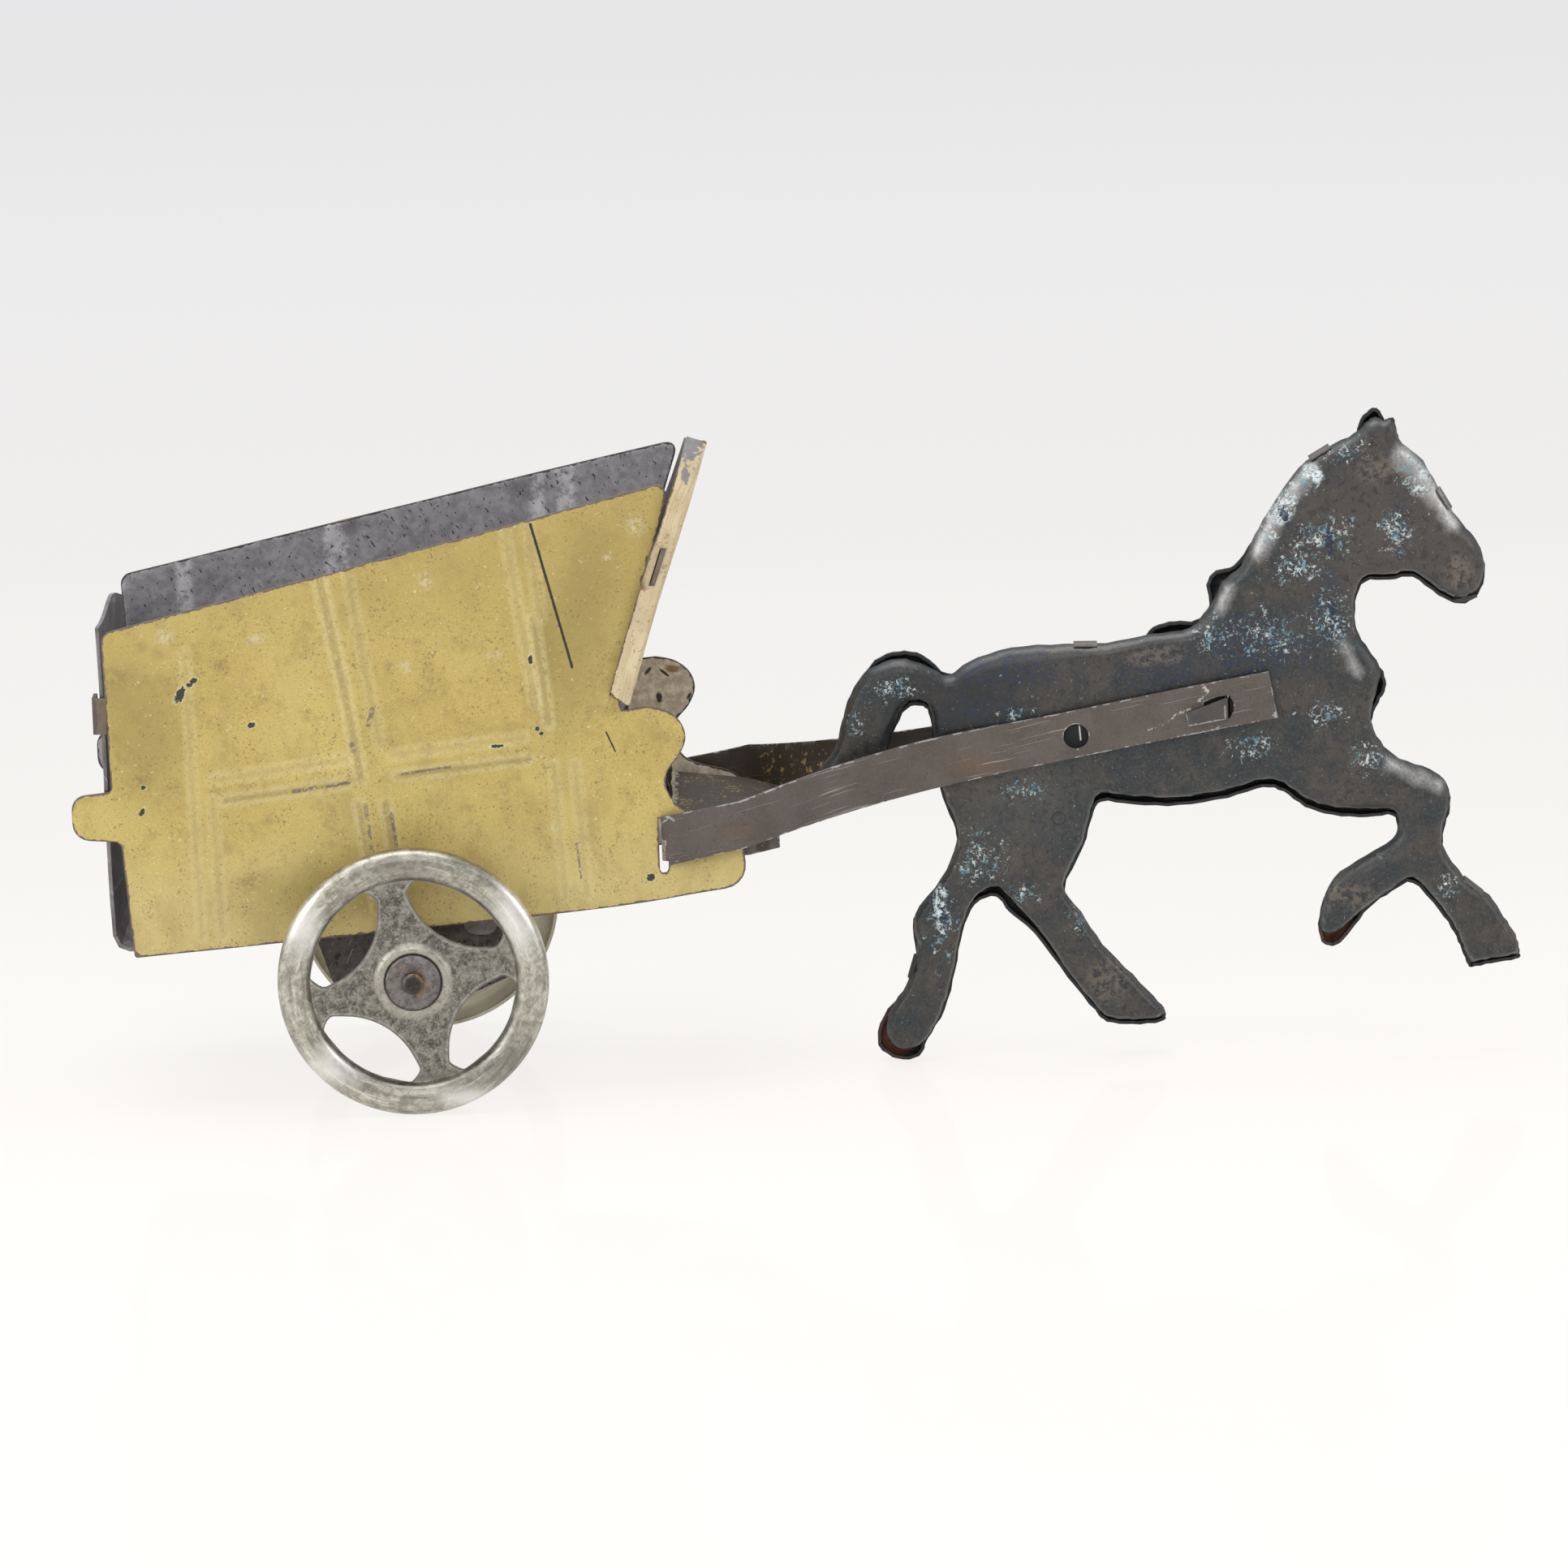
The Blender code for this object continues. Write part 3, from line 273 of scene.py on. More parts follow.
class Wiring:
    """Places nodes in one tree. Inputs are sockets or plain values."""

    def __init__(self, tree):
        self.tree = tree

    def put(self, kind, feeds=None, out=0, **settings):
        """Place a node, feed it, and return one of its outputs."""
        node = self.tree.nodes.new(kind)
        for key, value in settings.items():
            setattr(node, key, value)
        for key, value in (feeds or {}).items():
            self.feed(node.inputs[key], value)
        return node.outputs[out]

    def feed(self, socket, value):
        """Link a socket to an input, or set its plain value."""
        if isinstance(value, bpy.types.NodeSocket):
            self.tree.links.new(value, socket)
        elif value is not None:
            if socket.type == "RGBA" and len(value) == 3:
                value = (*value, 1.0)
            socket.default_value = value

    def sum(self, operation, a, b=None, c=None, clamp=False):
        """One step of arithmetic on plain values."""
        return self.put("ShaderNodeMath", {0: a, 1: b, 2: c}, operation=operation, use_clamp=clamp)

    def vector(self, operation, a, b=None, out=0):
        """One step of arithmetic on vectors."""
        return self.put("ShaderNodeVectorMath", {0: a, 1: b}, out=out, operation=operation)

    def axis(self, vector, which):
        """One coordinate of a vector."""
        return self.put("ShaderNodeSeparateXYZ", {0: vector}, out=which)

    def normal(self):
        """Which way the surface faces."""
        return self.put("ShaderNodeNewGeometry", out=1)

    def from_edge(self):
        """The stored distance to the sheet's cut edges."""
        return self.put("ShaderNodeAttribute", out=2, attribute_name="from_edge")

    def blend(self, factor, a, b):
        """Mix two colours."""
        return self.put("ShaderNodeMix", {0: factor, 6: a, 7: b}, out=2, data_type="RGBA")

    def wash(self, base, mask, share, colour):
        """Lay a colour over a base where the mask is, and at most by the share."""
        return self.blend(self.sum("MULTIPLY", mask, share), base, colour)

    def between(self, factor, a, b):
        """Mix two values."""
        return self.put("ShaderNodeMix", {0: factor, 2: a, 3: b}, data_type="FLOAT")

    def noise(self, place, scale, detail=3.0, rough=0.5, twist=0.0):
        """Cloudy noise, 0 to 1, at a place."""
        return self.put("ShaderNodeTexNoise", {"Vector": place, "Scale": scale, "Detail": detail,
                                               "Roughness": rough, "Distortion": twist})

    def step(self, value, low, high, out_low=0.0, out_high=1.0):
        """Run smoothly from one output to the other while the value runs from low to high."""
        return self.put("ShaderNodeMapRange", {"Value": value, "From Min": low, "From Max": high,
                                               "To Min": out_low, "To Max": out_high},
                        interpolation_type="SMOOTHSTEP")

    def jitter(self, noise, size):
        """A noise moved to lie about nought and scaled, to shift an outline by."""
        return self.sum("MULTIPLY", self.sum("SUBTRACT", noise, 0.5), size)

    def group(self, name, feeds=None):
        """Place one of the shared effects."""
        node = self.tree.nodes.new("ShaderNodeGroup")
        node.node_tree = bpy.data.node_groups[name]
        for key, value in (feeds or {}).items():
            self.feed(node.inputs[key], value)
        return node.outputs[0]


def new_group(name, inputs, outputs):
    """A shader node group with named sockets: {name: (kind, value)} in, {name: kind} out."""
    tree = bpy.data.node_groups.new(name, "ShaderNodeTree")
    for key, (kind, value) in inputs.items():
        socket = tree.interface.new_socket(name=key, in_out="INPUT", socket_type="NodeSocket" + kind)
        if value is not None:
            socket.default_value = value
    for key, kind in outputs.items():
        tree.interface.new_socket(name=key, in_out="OUTPUT", socket_type="NodeSocket" + kind)
    w = Wiring(tree)
    enter = tree.nodes.new("NodeGroupInput")
    leave = tree.nodes.new("NodeGroupOutput")
    return w, enter.outputs, leave.inputs


print("wiring helper ready")

# %% [markdown]
# ## Effects that the finishes share
# Old tin toys show the same few kinds of damage again and again: small flecks, chips at certain
# places, fine scratches, and cut edges where the paint has gone. Each is a node group with named
# inputs, so that a finish only says where and how much.

# %% Side-view position in millimetres
w, given, result = new_group("side_position", {}, {"Position": "Vector"})
place = w.put("ShaderNodeTexCoord", out=3)
place = w.vector("SUBTRACT", place, (AXLE_X, 0.0, 0.0))
place = w.put("ShaderNodeVectorMath", {0: place, 3: 1000.0}, operation="SCALE")
w.feed(result["Position"], place)

# %% Flecks: noise cut off at a level
w, given, result = new_group("fleck", {"Position": ("Vector", None), "Scale": ("Float", 1.0),
                                       "Detail": ("Float", 3.0), "Level": ("Float", 0.6),
                                       "Soft": ("Float", 0.05)}, {"Mask": "Float"})
value = w.put("ShaderNodeTexNoise", {"Vector": given["Position"], "Scale": given["Scale"],
                                     "Detail": given["Detail"], "Roughness": 0.6})
top = w.sum("ADD", given["Level"], given["Soft"])
w.feed(result["Mask"], w.step(value, given["Level"], top))

# %% A mark at one place: how far a point is from an ellipse
w, given, result = new_group("mark_at", {"Position": ("Vector", None), "Place": ("Vector", None),
                                         "Size": ("Vector", (1.0, 1.0, 1.0)), "Turn": ("Float", 0.0)},
                             {"Field": "Float"})
away = w.vector("SUBTRACT", given["Position"], given["Place"])
away = w.put("ShaderNodeVectorRotate", {"Vector": away, "Axis": (0.0, 1.0, 0.0), "Angle": given["Turn"]},
             rotation_type="AXIS_ANGLE")
w.feed(result["Field"], w.vector("LENGTH", w.vector("DIVIDE", away, given["Size"]), out=1))

# %% A line between two places: how far a point is from it
w, given, result = new_group("line_at", {"Position": ("Vector", None), "Start": ("Vector", None),
                                         "Span": ("Vector", None), "Span Share": ("Vector", None),
                                         "Half Width": ("Float", 0.2)}, {"Field": "Float"})
away = w.vector("SUBTRACT", given["Position"], given["Start"])
share = w.sum("ADD", w.vector("DOT_PRODUCT", away, given["Span Share"], out=1), 0.0, clamp=True)
foot = w.put("ShaderNodeVectorMath", {0: given["Span"], 3: share}, operation="SCALE")
w.feed(result["Field"], w.sum("SUBTRACT", w.vector("DISTANCE", away, foot, out=1), given["Half Width"]))

# %% Worn border of a sheet, from the stored distance to its cut edges
w, given, result = new_group("worn_border", {"Position": ("Vector", None), "Width": ("Float", 0.25),
                                             "Wobble": ("Float", 0.4)}, {"Mask": "Float"})
near = w.from_edge()
rough_line = w.put("ShaderNodeTexNoise", {"Vector": given["Position"], "Scale": 1.3, "Detail": 5.0,
                                          "Roughness": 0.7})
shift = w.jitter(rough_line, given["Wobble"])
near = w.sum("ADD", near, w.sum("MULTIPLY", shift, 2.0))
w.feed(result["Mask"], w.step(near, given["Width"], w.sum("ADD", given["Width"], 0.08), 1.0, 0.0))

# %% Scratches: noise drawn out along one direction
w, given, result = new_group("scratch", {"Position": ("Vector", None), "Turn": ("Float", 0.0),
                                         "Length": ("Float", 6.0), "Width": ("Float", 0.12),
                                         "Level": ("Float", 0.68)}, {"Mask": "Float"})
along = w.put("ShaderNodeVectorRotate", {"Vector": given["Position"], "Axis": (0.0, 1.0, 0.0),
                                         "Angle": given["Turn"]}, rotation_type="AXIS_ANGLE")
bend = w.noise(along, 0.12, 2.0)
long_scale = w.sum("DIVIDE", 1.0, given["Length"])
wide_scale = w.sum("DIVIDE", 1.0, given["Width"])
scale = w.put("ShaderNodeCombineXYZ", {0: long_scale, 1: 0.05, 2: wide_scale})
drawn = w.vector("MULTIPLY", along, scale)
drawn = w.vector("ADD", drawn, w.put("ShaderNodeCombineXYZ", {2: w.sum("MULTIPLY", bend, 9.0)}))
line = w.noise(drawn, 1.0, 1.0)
w.feed(result["Mask"], w.step(line, given["Level"], w.sum("ADD", given["Level"], 0.04)))

# %% Cut edge of a sheet: where the surface turns away from both sides
w, given, result = new_group("cut_edge", {}, {"Mask": "Float"})
turned_to = w.normal()
aside = w.axis(turned_to, Y)
flat = w.sum("ABSOLUTE", aside)
w.feed(result["Mask"], w.step(flat, 0.5, 0.8, 1.0, 0.0))
print("shared effects", [g.name for g in bpy.data.node_groups])


# %% Start a finish and close it
def new_finish(name, coat=0.0, coat_roughness=0.1):
    """A material with its Principled shader; returns the wiring, the shader and the side position."""
    material = bpy.data.materials.new(name + "_finish")
    material.use_nodes = True
    shader = material.node_tree.nodes["Principled BSDF"]
    shader.inputs["Coat Weight"].default_value = coat
    shader.inputs["Coat Roughness"].default_value = coat_roughness
    w = Wiring(material.node_tree)
    return w, shader, w.group("side_position")


def set_finish(w, shader, colour, roughness, metallic, height, bump):
    """Feed the shader's sockets; the bump is how high a height of one stands, in millimetres."""
    w.feed(shader.inputs["Base Color"], colour)
    w.feed(shader.inputs["Roughness"], roughness)
    w.feed(shader.inputs["Metallic"], metallic)
    normal = w.put("ShaderNodeBump", {"Height": height, "Strength": 1.0, "Distance": bump * 0.001})
    w.feed(shader.inputs["Normal"], normal)


def lowest(w, fields):
    """The lowest of several fields."""
    total = fields[0]
    for field in fields[1:]:
        total = w.sum("MINIMUM", total, field)
    return total


THROUGH_ALL = 1e6


def mark_field(w, position, table):
    """Nearness to the nearest of several marks: (x, z, half length, half width, turn in degrees)."""
    return lowest(w, [w.group("mark_at", {"Position": position, "Place": (x, 0.0, z),
                                          "Size": (long, THROUGH_ALL, wide), "Turn": math.radians(turn)})
                      for x, z, long, wide, turn in table])


def marks(w, position, table, wobble=0.0, soft=0.2):
    """Mask of several marks, its outline shifted by the wobble."""
    field = w.sum("ADD", mark_field(w, position, table), wobble)
    return w.step(field, 1.0 - soft, 1.0 + soft, 1.0, 0.0)


def line_field(w, position, table):
    """Distance in millimetres from the nearest of several lines: one end, the other end, half width."""
    fields = []
    flat = w.vector("MULTIPLY", position, (1.0, 0.0, 1.0))
    for (x0, z0), (x1, z1), half in table:
        long_squared = (x1 - x0) ** 2 + (z1 - z0) ** 2
        fields.append(w.group("line_at", {
            "Position": flat, "Start": (x0, 0.0, z0), "Span": (x1 - x0, 0.0, z1 - z0), "Half Width": half,
            "Span Share": ((x1 - x0) / long_squared, 0.0, (z1 - z0) / long_squared)}))
    return lowest(w, fields)


def lines(w, position, table, wobble=0.0, soft=0.12):
    """Mask of several lines, its outline shifted by the wobble."""
    return w.step(w.sum("ADD", line_field(w, position, table), wobble), 0.0, soft, 1.0, 0.0)


print("finish helpers ready")

# %% [markdown]
# ## Yellow paint of the cart's sides
# The sides are mustard yellow over bare tin. Light speckle, olive dirt and brown stains lie over
# it, the ribs are worn by rubbing, the cut edges have lost their paint, and a few chips go down to
# dark metal with a pale rim. Painted shade darkens the upper part, the rear corner, the strip in
# front of the front rib and a band along the lower edge. The sides of the ribs carry painted
# highlights and painted shade along with rub wear and dirt. The chips sit where the photograph
# shows them; the rest comes from noise at three sizes. Only the outer side is painted: the inside
# is bare, grey tin, with painted highlights along the ribs. The places are tables of marks (x, z,
# half length, half width, turn) and of lines (end, end, half width), and each mask then lays its
# own colour over the ones before, as a painter would.

# %% Places of the chips, stains, painted shade, and the ribs' rub wear, painted highlights and shade
YELLOW_CHIPS = ((-20.8, 40.1, 0.75, 0.36, 60), (-19.5, 41.4, 0.36, 0.24, 20), (-19.9, 41.0, 0.3, 0.2, 0),
                (-14.3, 37.0, 0.36, 0.26, 20), (-24.6, 31.4, 0.24, 0.2, 0), (-24.8, 29.1, 0.42, 0.2, 60),
                (22.4, 20.8, 0.4, 0.3, 0), (8.5, 34.1, 0.6, 0.17, 0), (12.3, 35.6, 0.2, 0.2, 0),
                (12.7, 35.1, 0.22, 0.16, 20), (4.2, 22.9, 0.38, 0.1, 0), (11.9, 42.2, 0.2, 0.45, 0))
YELLOW_RUBS = ((-13.5, 45.1, 1.1, 0.5, 10), (-5.6, 41.9, 0.5, 0.4, 0), (2.4, 50.0, 0.7, 0.8, 0),
               (0.2, 41.9, 0.5, 0.8, 10), (22.1, 54.2, 0.9, 0.9, 0), (8.4, 42.7, 0.9, 0.4, 0),
               (-22.0, 45.6, 0.9, 0.9, 0), (13.6, 26.1, 0.7, 0.4, 0), (19.3, 51.3, 0.5, 0.4, 0))
YELLOW_STAINS = ((-7.4, 51.4, 1.5, 0.5, 20), (-1.3, 42.0, 0.5, 0.7, 0), (-26.8, 41.9, 1.6, 1.2, 20),
                 (-17.0, 42.8, 0.8, 0.6, 0), (-15.0, 22.0, 1.6, 1.0, 0), (-24.8, 32.2, 1.0, 0.8, 0))
# Areas of painted shade on the yellow side: x, z, half length, half width, turn.
SHADED_AREAS = ((-24.5, 36.5, 4.0, 6.5, 10), (16.5, 44.5, 3.0, 9.0, -12), (13.7, 43.0, 1.2, 5.0, -4),
                (-6.0, 21.0, 10.0, 2.5, 4))
# Sides of the ribs, drawn with painted highlight and painted shade: end, end, half width.
RIB_SIDES = (((-7.6, 51.4), (-5.4, 39.0), 0.25), ((-5.4, 39.0), (-4.3, 31.5), 0.2),
             ((-17.0, 29.9), (-5.7, 31.1), 0.14), ((-0.9, 31.6), (11.4, 32.7), 0.12),
             ((-4.6, 29.0), (-3.2, 19.0), 0.16), ((-2.1, 29.0), (-1.0, 19.0), 0.14),
             ((12.3, 46.0), (13.4, 36.0), 0.12))
FAINT_SIDES = (((-4.9, 51.6), (-2.4, 34.5), 0.12), ((-18.0, 31.9), (-5.6, 33.4), 0.12),
               ((-1.2, 33.6), (11.0, 34.8), 0.12), ((9.9, 54.6), (12.2, 38.0), 0.12),
               ((12.1, 54.8), (13.0, 46.0), 0.10), ((13.7, 32.0), (14.4, 19.5), 0.10),
               ((15.7, 32.0), (16.4, 19.5), 0.12), ((-20.2, 44.0), (-19.8, 17.0), 0.06),
               ((-18.2, 30.0), (-17.8, 17.0), 0.10))
RIB_DASHES = (((-4.0, 29.0), (-3.4, 23.5), 0.17), ((-1.6, 28.0), (-1.2, 24.5), 0.17),
              ((-10.6, 30.5), (-8.6, 30.8), 0.18), ((-7.8, 30.8), (-5.4, 31.2), 0.15),
              ((-0.4, 31.8), (4.0, 32.3), 0.12), ((-3.0, 38.0), (-3.4, 36.6), 0.22),
              ((-5.0, 34.8), (-4.9, 34.2), 0.2), ((15.6, 24.4), (15.9, 21.0), 0.10),
              ((-7.7, 51.3), (-5.6, 51.9), 0.22))
SCRIBED = (((12.35, 54.9), (15.75, 41.2), 0.1), ((18.7, 34.9), (19.5, 33.0), 0.05))
TAIL_TAB_MARK = ((-29.5, 38.3, 0.95, 2.4, 0),)
TAUPE_AREAS = ((24.0, 36.0, 5.0, 8.5, 0), (27.0, 24.0, 6.0, 5.0, 0))
LOBE_RUST = ((24.8, 35.9, 0.8, 0.35, 0),)
LOBE_NICKS = ((22.3, 35.7, 0.5, 0.16, 50), (23.9, 35.5, 0.6, 0.14, -40), (23.3, 33.1, 0.3, 0.5, 0),
              (26.2, 33.2, 0.35, 0.14, 60))
INSIDE_RIB_HIGHLIGHTS = (((-22.2, 60.0), (-22.2, 36.0), 0.35), ((-7.6, 60.0), (-7.2, 36.0), 0.8),
                ((12.1, 60.0), (12.4, 36.0), 0.35), ((14.9, 60.0), (15.2, 36.0), 0.5))
print(len(YELLOW_CHIPS) + len(RIB_SIDES) + len(RIB_DASHES), "placed chips and lines")

# %% Yellow: the coat, its clouds, its dirt and painted shade
w, shader, at = new_finish("yellow_paint", coat=0.06, coat_roughness=0.4)
ragged = w.noise(at, 2.4, 6.0, 0.7)
wobble = w.jitter(ragged, 4.5)
small_wobble = w.jitter(ragged, 0.8)
cloud = w.noise(at, 0.09, 4.0)
fine = w.noise(at, 6.5, 5.0, 0.75)
paint = w.blend(w.step(cloud, 0.35, 0.65), (0.520, 0.400, 0.118), (0.462, 0.345, 0.092))
paint = w.blend(w.step(fine, 0.48, 0.8), paint, (0.62, 0.51, 0.22))
paint = w.blend(w.step(fine, 0.5, 0.28, 0.0, 0.7), paint, (0.33, 0.235, 0.062))
dirt = w.group("fleck", {"Position": at, "Scale": 0.5, "Detail": 7.0, "Level": 0.5, "Soft": 0.22})
paint = w.wash(paint, dirt, 0.55, (0.32, 0.225, 0.066))
# Painted shade darkens the upper part of the side, and the lower part is made lighter.
height_here = w.axis(at, Z)
paint = w.blend(w.step(height_here, 38.0, 53.0, 0.0, 0.42), paint, (0.34, 0.245, 0.070))
paint = w.blend(w.step(height_here, 29.0, 18.0, 0.0, 0.30), paint, (0.62, 0.52, 0.27))
# Painted shade over the rear corner, beside the front rib and along the lower edge.
shade = marks(w, at, SHADED_AREAS, 0.0, 0.8)
paint = w.wash(paint, shade, 0.6, (0.25, 0.185, 0.042))
smear = w.step(w.noise(w.vector("MULTIPLY", at, (1.0, 0.2, 0.6)), 0.32, 6.0, 0.65), 0.46, 0.68)
paint = w.wash(paint, smear, 0.4, (0.33, 0.24, 0.072))
crowd = w.step(w.noise(at, 0.35, 4.0, 0.6), 0.35, 0.7, 0.66, 0.575)
speck = w.sum("SUBTRACT", w.noise(at, 4.4, 3.0, 0.6), crowd)
paint = w.blend(w.step(speck, 0.0, 0.03, 0.0, 0.75), paint, (0.19, 0.12, 0.05))
pale = w.group("fleck", {"Position": w.vector("ADD", at, (31.0, 0.0, 7.0)), "Scale": 2.6, "Detail": 3.0,
                         "Level": 0.66, "Soft": 0.05})
paint = w.wash(paint, pale, 0.5, (0.72, 0.66, 0.46))
print("yellow coat laid")

# %% Yellow: stains, rubs, and painted highlight and shade on the sides of the ribs
stain = w.sum("MULTIPLY", marks(w, at, YELLOW_STAINS, wobble, 0.8), w.step(ragged, 0.4, 0.6))
paint = w.wash(paint, stain, 0.75, (0.22, 0.14, 0.06))
rub = w.sum("MULTIPLY", marks(w, at, YELLOW_RUBS, wobble, 0.6), w.step(ragged, 0.45, 0.55))
paint = w.wash(paint, rub, 0.6, (0.62, 0.57, 0.42))
broken = w.step(ragged, 0.36, 0.56)
# Along each side of a rib, a dark line of painted shade and dirt lies in a pale fringe of painted highlight
# and rub wear.
for table, dark, light in ((RIB_SIDES, 0.75, 0.45), (FAINT_SIDES, 0.35, 0.3)):
    side_field = w.sum("ADD", line_field(w, at, table), small_wobble)
    rib_highlight_and_rub = w.sum("MULTIPLY", w.step(side_field, 0.85, 0.45), w.sum("MULTIPLY", broken, light))
    paint = w.blend(rib_highlight_and_rub, paint, (0.62, 0.53, 0.27))
    rib_shade_and_dirt = w.sum("MULTIPLY", w.step(side_field, 0.32, -0.05), w.sum("MULTIPLY", broken, dark))
    paint = w.blend(rib_shade_and_dirt, paint, (0.30, 0.215, 0.075))
across = w.axis(at, Y)
on_near = w.step(across, 0.5, -0.5)
dash = w.sum("MULTIPLY", lines(w, at, RIB_DASHES, small_wobble, 0.08), w.step(ragged, 0.44, 0.5))
dash = w.sum("MULTIPLY", dash, on_near)
paint = w.wash(paint, dash, 0.85, (0.13, 0.115, 0.10))
line = w.group("scratch", {"Position": at, "Turn": 0.35, "Length": 2.2, "Width": 0.12, "Level": 0.73})
paint = w.wash(paint, line, 0.3, (0.66, 0.58, 0.36))
print("ribs rubbed")

# %% Yellow: chips, the scribed line and the worn edges
chip_field = w.sum("ADD", mark_field(w, at, YELLOW_CHIPS), w.sum("MULTIPLY", wobble, 0.55))
rim = w.sum("MULTIPLY", w.step(chip_field, 1.5, 1.25), on_near)
chip = w.sum("MULTIPLY", w.step(chip_field, 1.1, 0.95), on_near)
paint = w.wash(paint, rim, 0.5, (0.62, 0.56, 0.36))
paint = w.blend(chip, paint, (0.026, 0.030, 0.022))
scribed = lines(w, at, SCRIBED, w.sum("MULTIPLY", small_wobble, 0.15), 0.05)
paint = w.blend(w.sum("MULTIPLY", scribed, on_near), paint, (0.015, 0.015, 0.012))
border = w.group("worn_border", {"Position": at, "Width": 0.10, "Wobble": 0.35})
metal_edge = w.blend(w.noise(at, 1.1, 4.0), (0.075, 0.045, 0.028), (0.20, 0.15, 0.11))
paint = w.blend(border, paint, metal_edge)
edge = w.group("cut_edge")
paint = w.blend(edge, paint, metal_edge)
folded_tab = marks(w, at, TAIL_TAB_MARK, w.sum("MULTIPLY", wobble, 0.1), 0.08)
paint = w.wash(paint, folded_tab, 0.9, (0.075, 0.06, 0.05))
print("chips placed:", len(YELLOW_CHIPS))

# %% The bare inside of a panel
mottle = w.noise(at, 1.0, 7.0, 0.72)
bare = w.blend(w.step(mottle, 0.35, 0.65), (0.245, 0.235, 0.252), (0.365, 0.352, 0.365))
# Pale streaks along the ribs on the bare inside are painted highlights.
inside_rib_highlights = w.sum("MULTIPLY", lines(w, at, INSIDE_RIB_HIGHLIGHTS, small_wobble, 0.7), w.step(mottle, 0.35, 0.6))
bare = w.wash(bare, inside_rib_highlights, 0.8, (0.66, 0.64, 0.66))
slash = w.group("scratch", {"Position": at, "Turn": -1.05, "Length": 0.55, "Width": 0.26, "Level": 0.67})
bare = w.wash(bare, slash, 0.85, (0.035, 0.032, 0.035))
streak = w.group("scratch", {"Position": at, "Turn": 0.8, "Length": 4.0, "Width": 0.16, "Level": 0.70})
bare = w.wash(bare, streak, 0.35, (0.5, 0.48, 0.48))
taupe = marks(w, at, TAUPE_AREAS, 0.0, 0.2)
taupe_tin = w.blend(w.step(mottle, 0.35, 0.65), (0.50, 0.44, 0.35), (0.90, 0.82, 0.69))
bare = w.wash(bare, taupe, 0.85, taupe_tin)
nick = marks(w, at, LOBE_NICKS, w.sum("MULTIPLY", wobble, 0.25), 0.3)
bare = w.blend(nick, bare, (0.05, 0.042, 0.04))
rusted = marks(w, at, LOBE_RUST, w.sum("MULTIPLY", wobble, 0.3), 0.4)
bare = w.wash(bare, rusted, 0.8, (0.26, 0.13, 0.05))
bare = w.blend(border, bare, (0.06, 0.055, 0.055))
print("inside tin mixed")

# %% Yellow outside, bare inside, and how each shines
sideways = w.axis(w.normal(), Y)
inner = w.step(w.sum("MULTIPLY", sideways, w.sum("SIGN", across)), -0.5, -0.3, 1.0, 0.0)
colour = w.blend(inner, paint, bare)
damage = w.sum("MAXIMUM", chip, w.sum("MAXIMUM", dash, border))
rough = w.between(inner, w.between(damage, w.step(fine, 0.2, 0.8, 0.42, 0.6), 0.6),
                  w.step(mottle, 0.3, 0.7, 0.4, 0.58))
metal = w.between(inner, w.sum("MULTIPLY", edge, 0.5), 0.35)
height = w.sum("SUBTRACT", w.sum("MULTIPLY", fine, 0.5), w.sum("MULTIPLY", border, 0.6))
set_finish(w, shader, colour, rough, metal, height, 0.05)
print("yellow paint", len(shader.id_data.nodes), "nodes")

# %% [markdown]
# ## Cream paint of the front board
# The board across the cart's front is a paler cream, with rust along its rear edge and small grey
# rubs on its crown, where the paint has worn off the fold. Its rear side is bare tin, so the mask of
# the painted side comes from the way the surface faces.

# %% Mix the cream paint
SLOT_SURROUND = ((24.1, 50.4, 1.3, 2.6, -18),)
CROWN_RUBS = ((27.5, 61.6, 1.0, 1.4, -15), (26.9, 59.0, 0.35, 0.8, 0))
w, shader, at = new_finish("cream_paint", coat=0.06, coat_roughness=0.45)
ragged = w.noise(at, 2.2, 6.0, 0.7)
wobble = w.jitter(ragged, 3.5)
cloud = w.noise(at, 0.3, 4.0)
paint = w.blend(w.step(cloud, 0.35, 0.7), (0.60, 0.50, 0.315), (0.50, 0.40, 0.24))
grain = w.group("scratch", {"Position": at, "Turn": 1.25, "Length": 5.0, "Width": 0.16, "Level": 0.56})
paint = w.wash(paint, grain, 0.4, (0.40, 0.29, 0.15))
speck = w.group("fleck", {"Position": at, "Scale": 3.4, "Detail": 4.0, "Level": 0.60, "Soft": 0.06})
paint = w.wash(paint, speck, 0.6, (0.24, 0.17, 0.09))
rust = w.group("fleck", {"Position": at, "Scale": 1.6, "Detail": 5.0, "Level": 0.61, "Soft": 0.06})
paint = w.wash(paint, rust, 0.55, (0.25, 0.12, 0.045))
border = w.group("worn_border", {"Position": at, "Width": 0.08, "Wobble": 0.22})
rusty = w.blend(w.step(ragged, 0.42, 0.58), (0.05, 0.035, 0.03), (0.20, 0.10, 0.05))
beside_slot = marks(w, at, SLOT_SURROUND, 0.0, 0.3)
border = w.sum("MULTIPLY", border, w.step(beside_slot, 0.0, 1.0, 1.0, 0.25))
paint = w.blend(border, paint, rusty)
crown = marks(w, at, CROWN_RUBS, wobble, 0.15)
tin = w.blend(ragged, (0.12, 0.115, 0.12), (0.34, 0.325, 0.33))
paint = w.blend(crown, paint, tin)
turned_to = w.axis(w.normal(), X)
forward = w.step(turned_to, -0.5, -0.3, 1.0, 0.0)
sideways = w.axis(w.normal(), Y)
across = w.axis(at, Y)
inward = w.step(w.sum("MULTIPLY", sideways, w.sum("SIGN", across)), -0.6, -0.3, 1.0, 0.0)
inside = w.sum("MAXIMUM", forward, inward)
paint = w.blend(inside, paint, tin)
set_finish(w, shader, paint, w.step(cloud, 0.3, 0.7, 0.45, 0.62), w.sum("MULTIPLY", inside, 0.35),
           w.sum("ADD", ragged, w.sum("MULTIPLY", grain, -0.4)), 0.04)
print("cream paint", len(shader.id_data.nodes), "nodes")
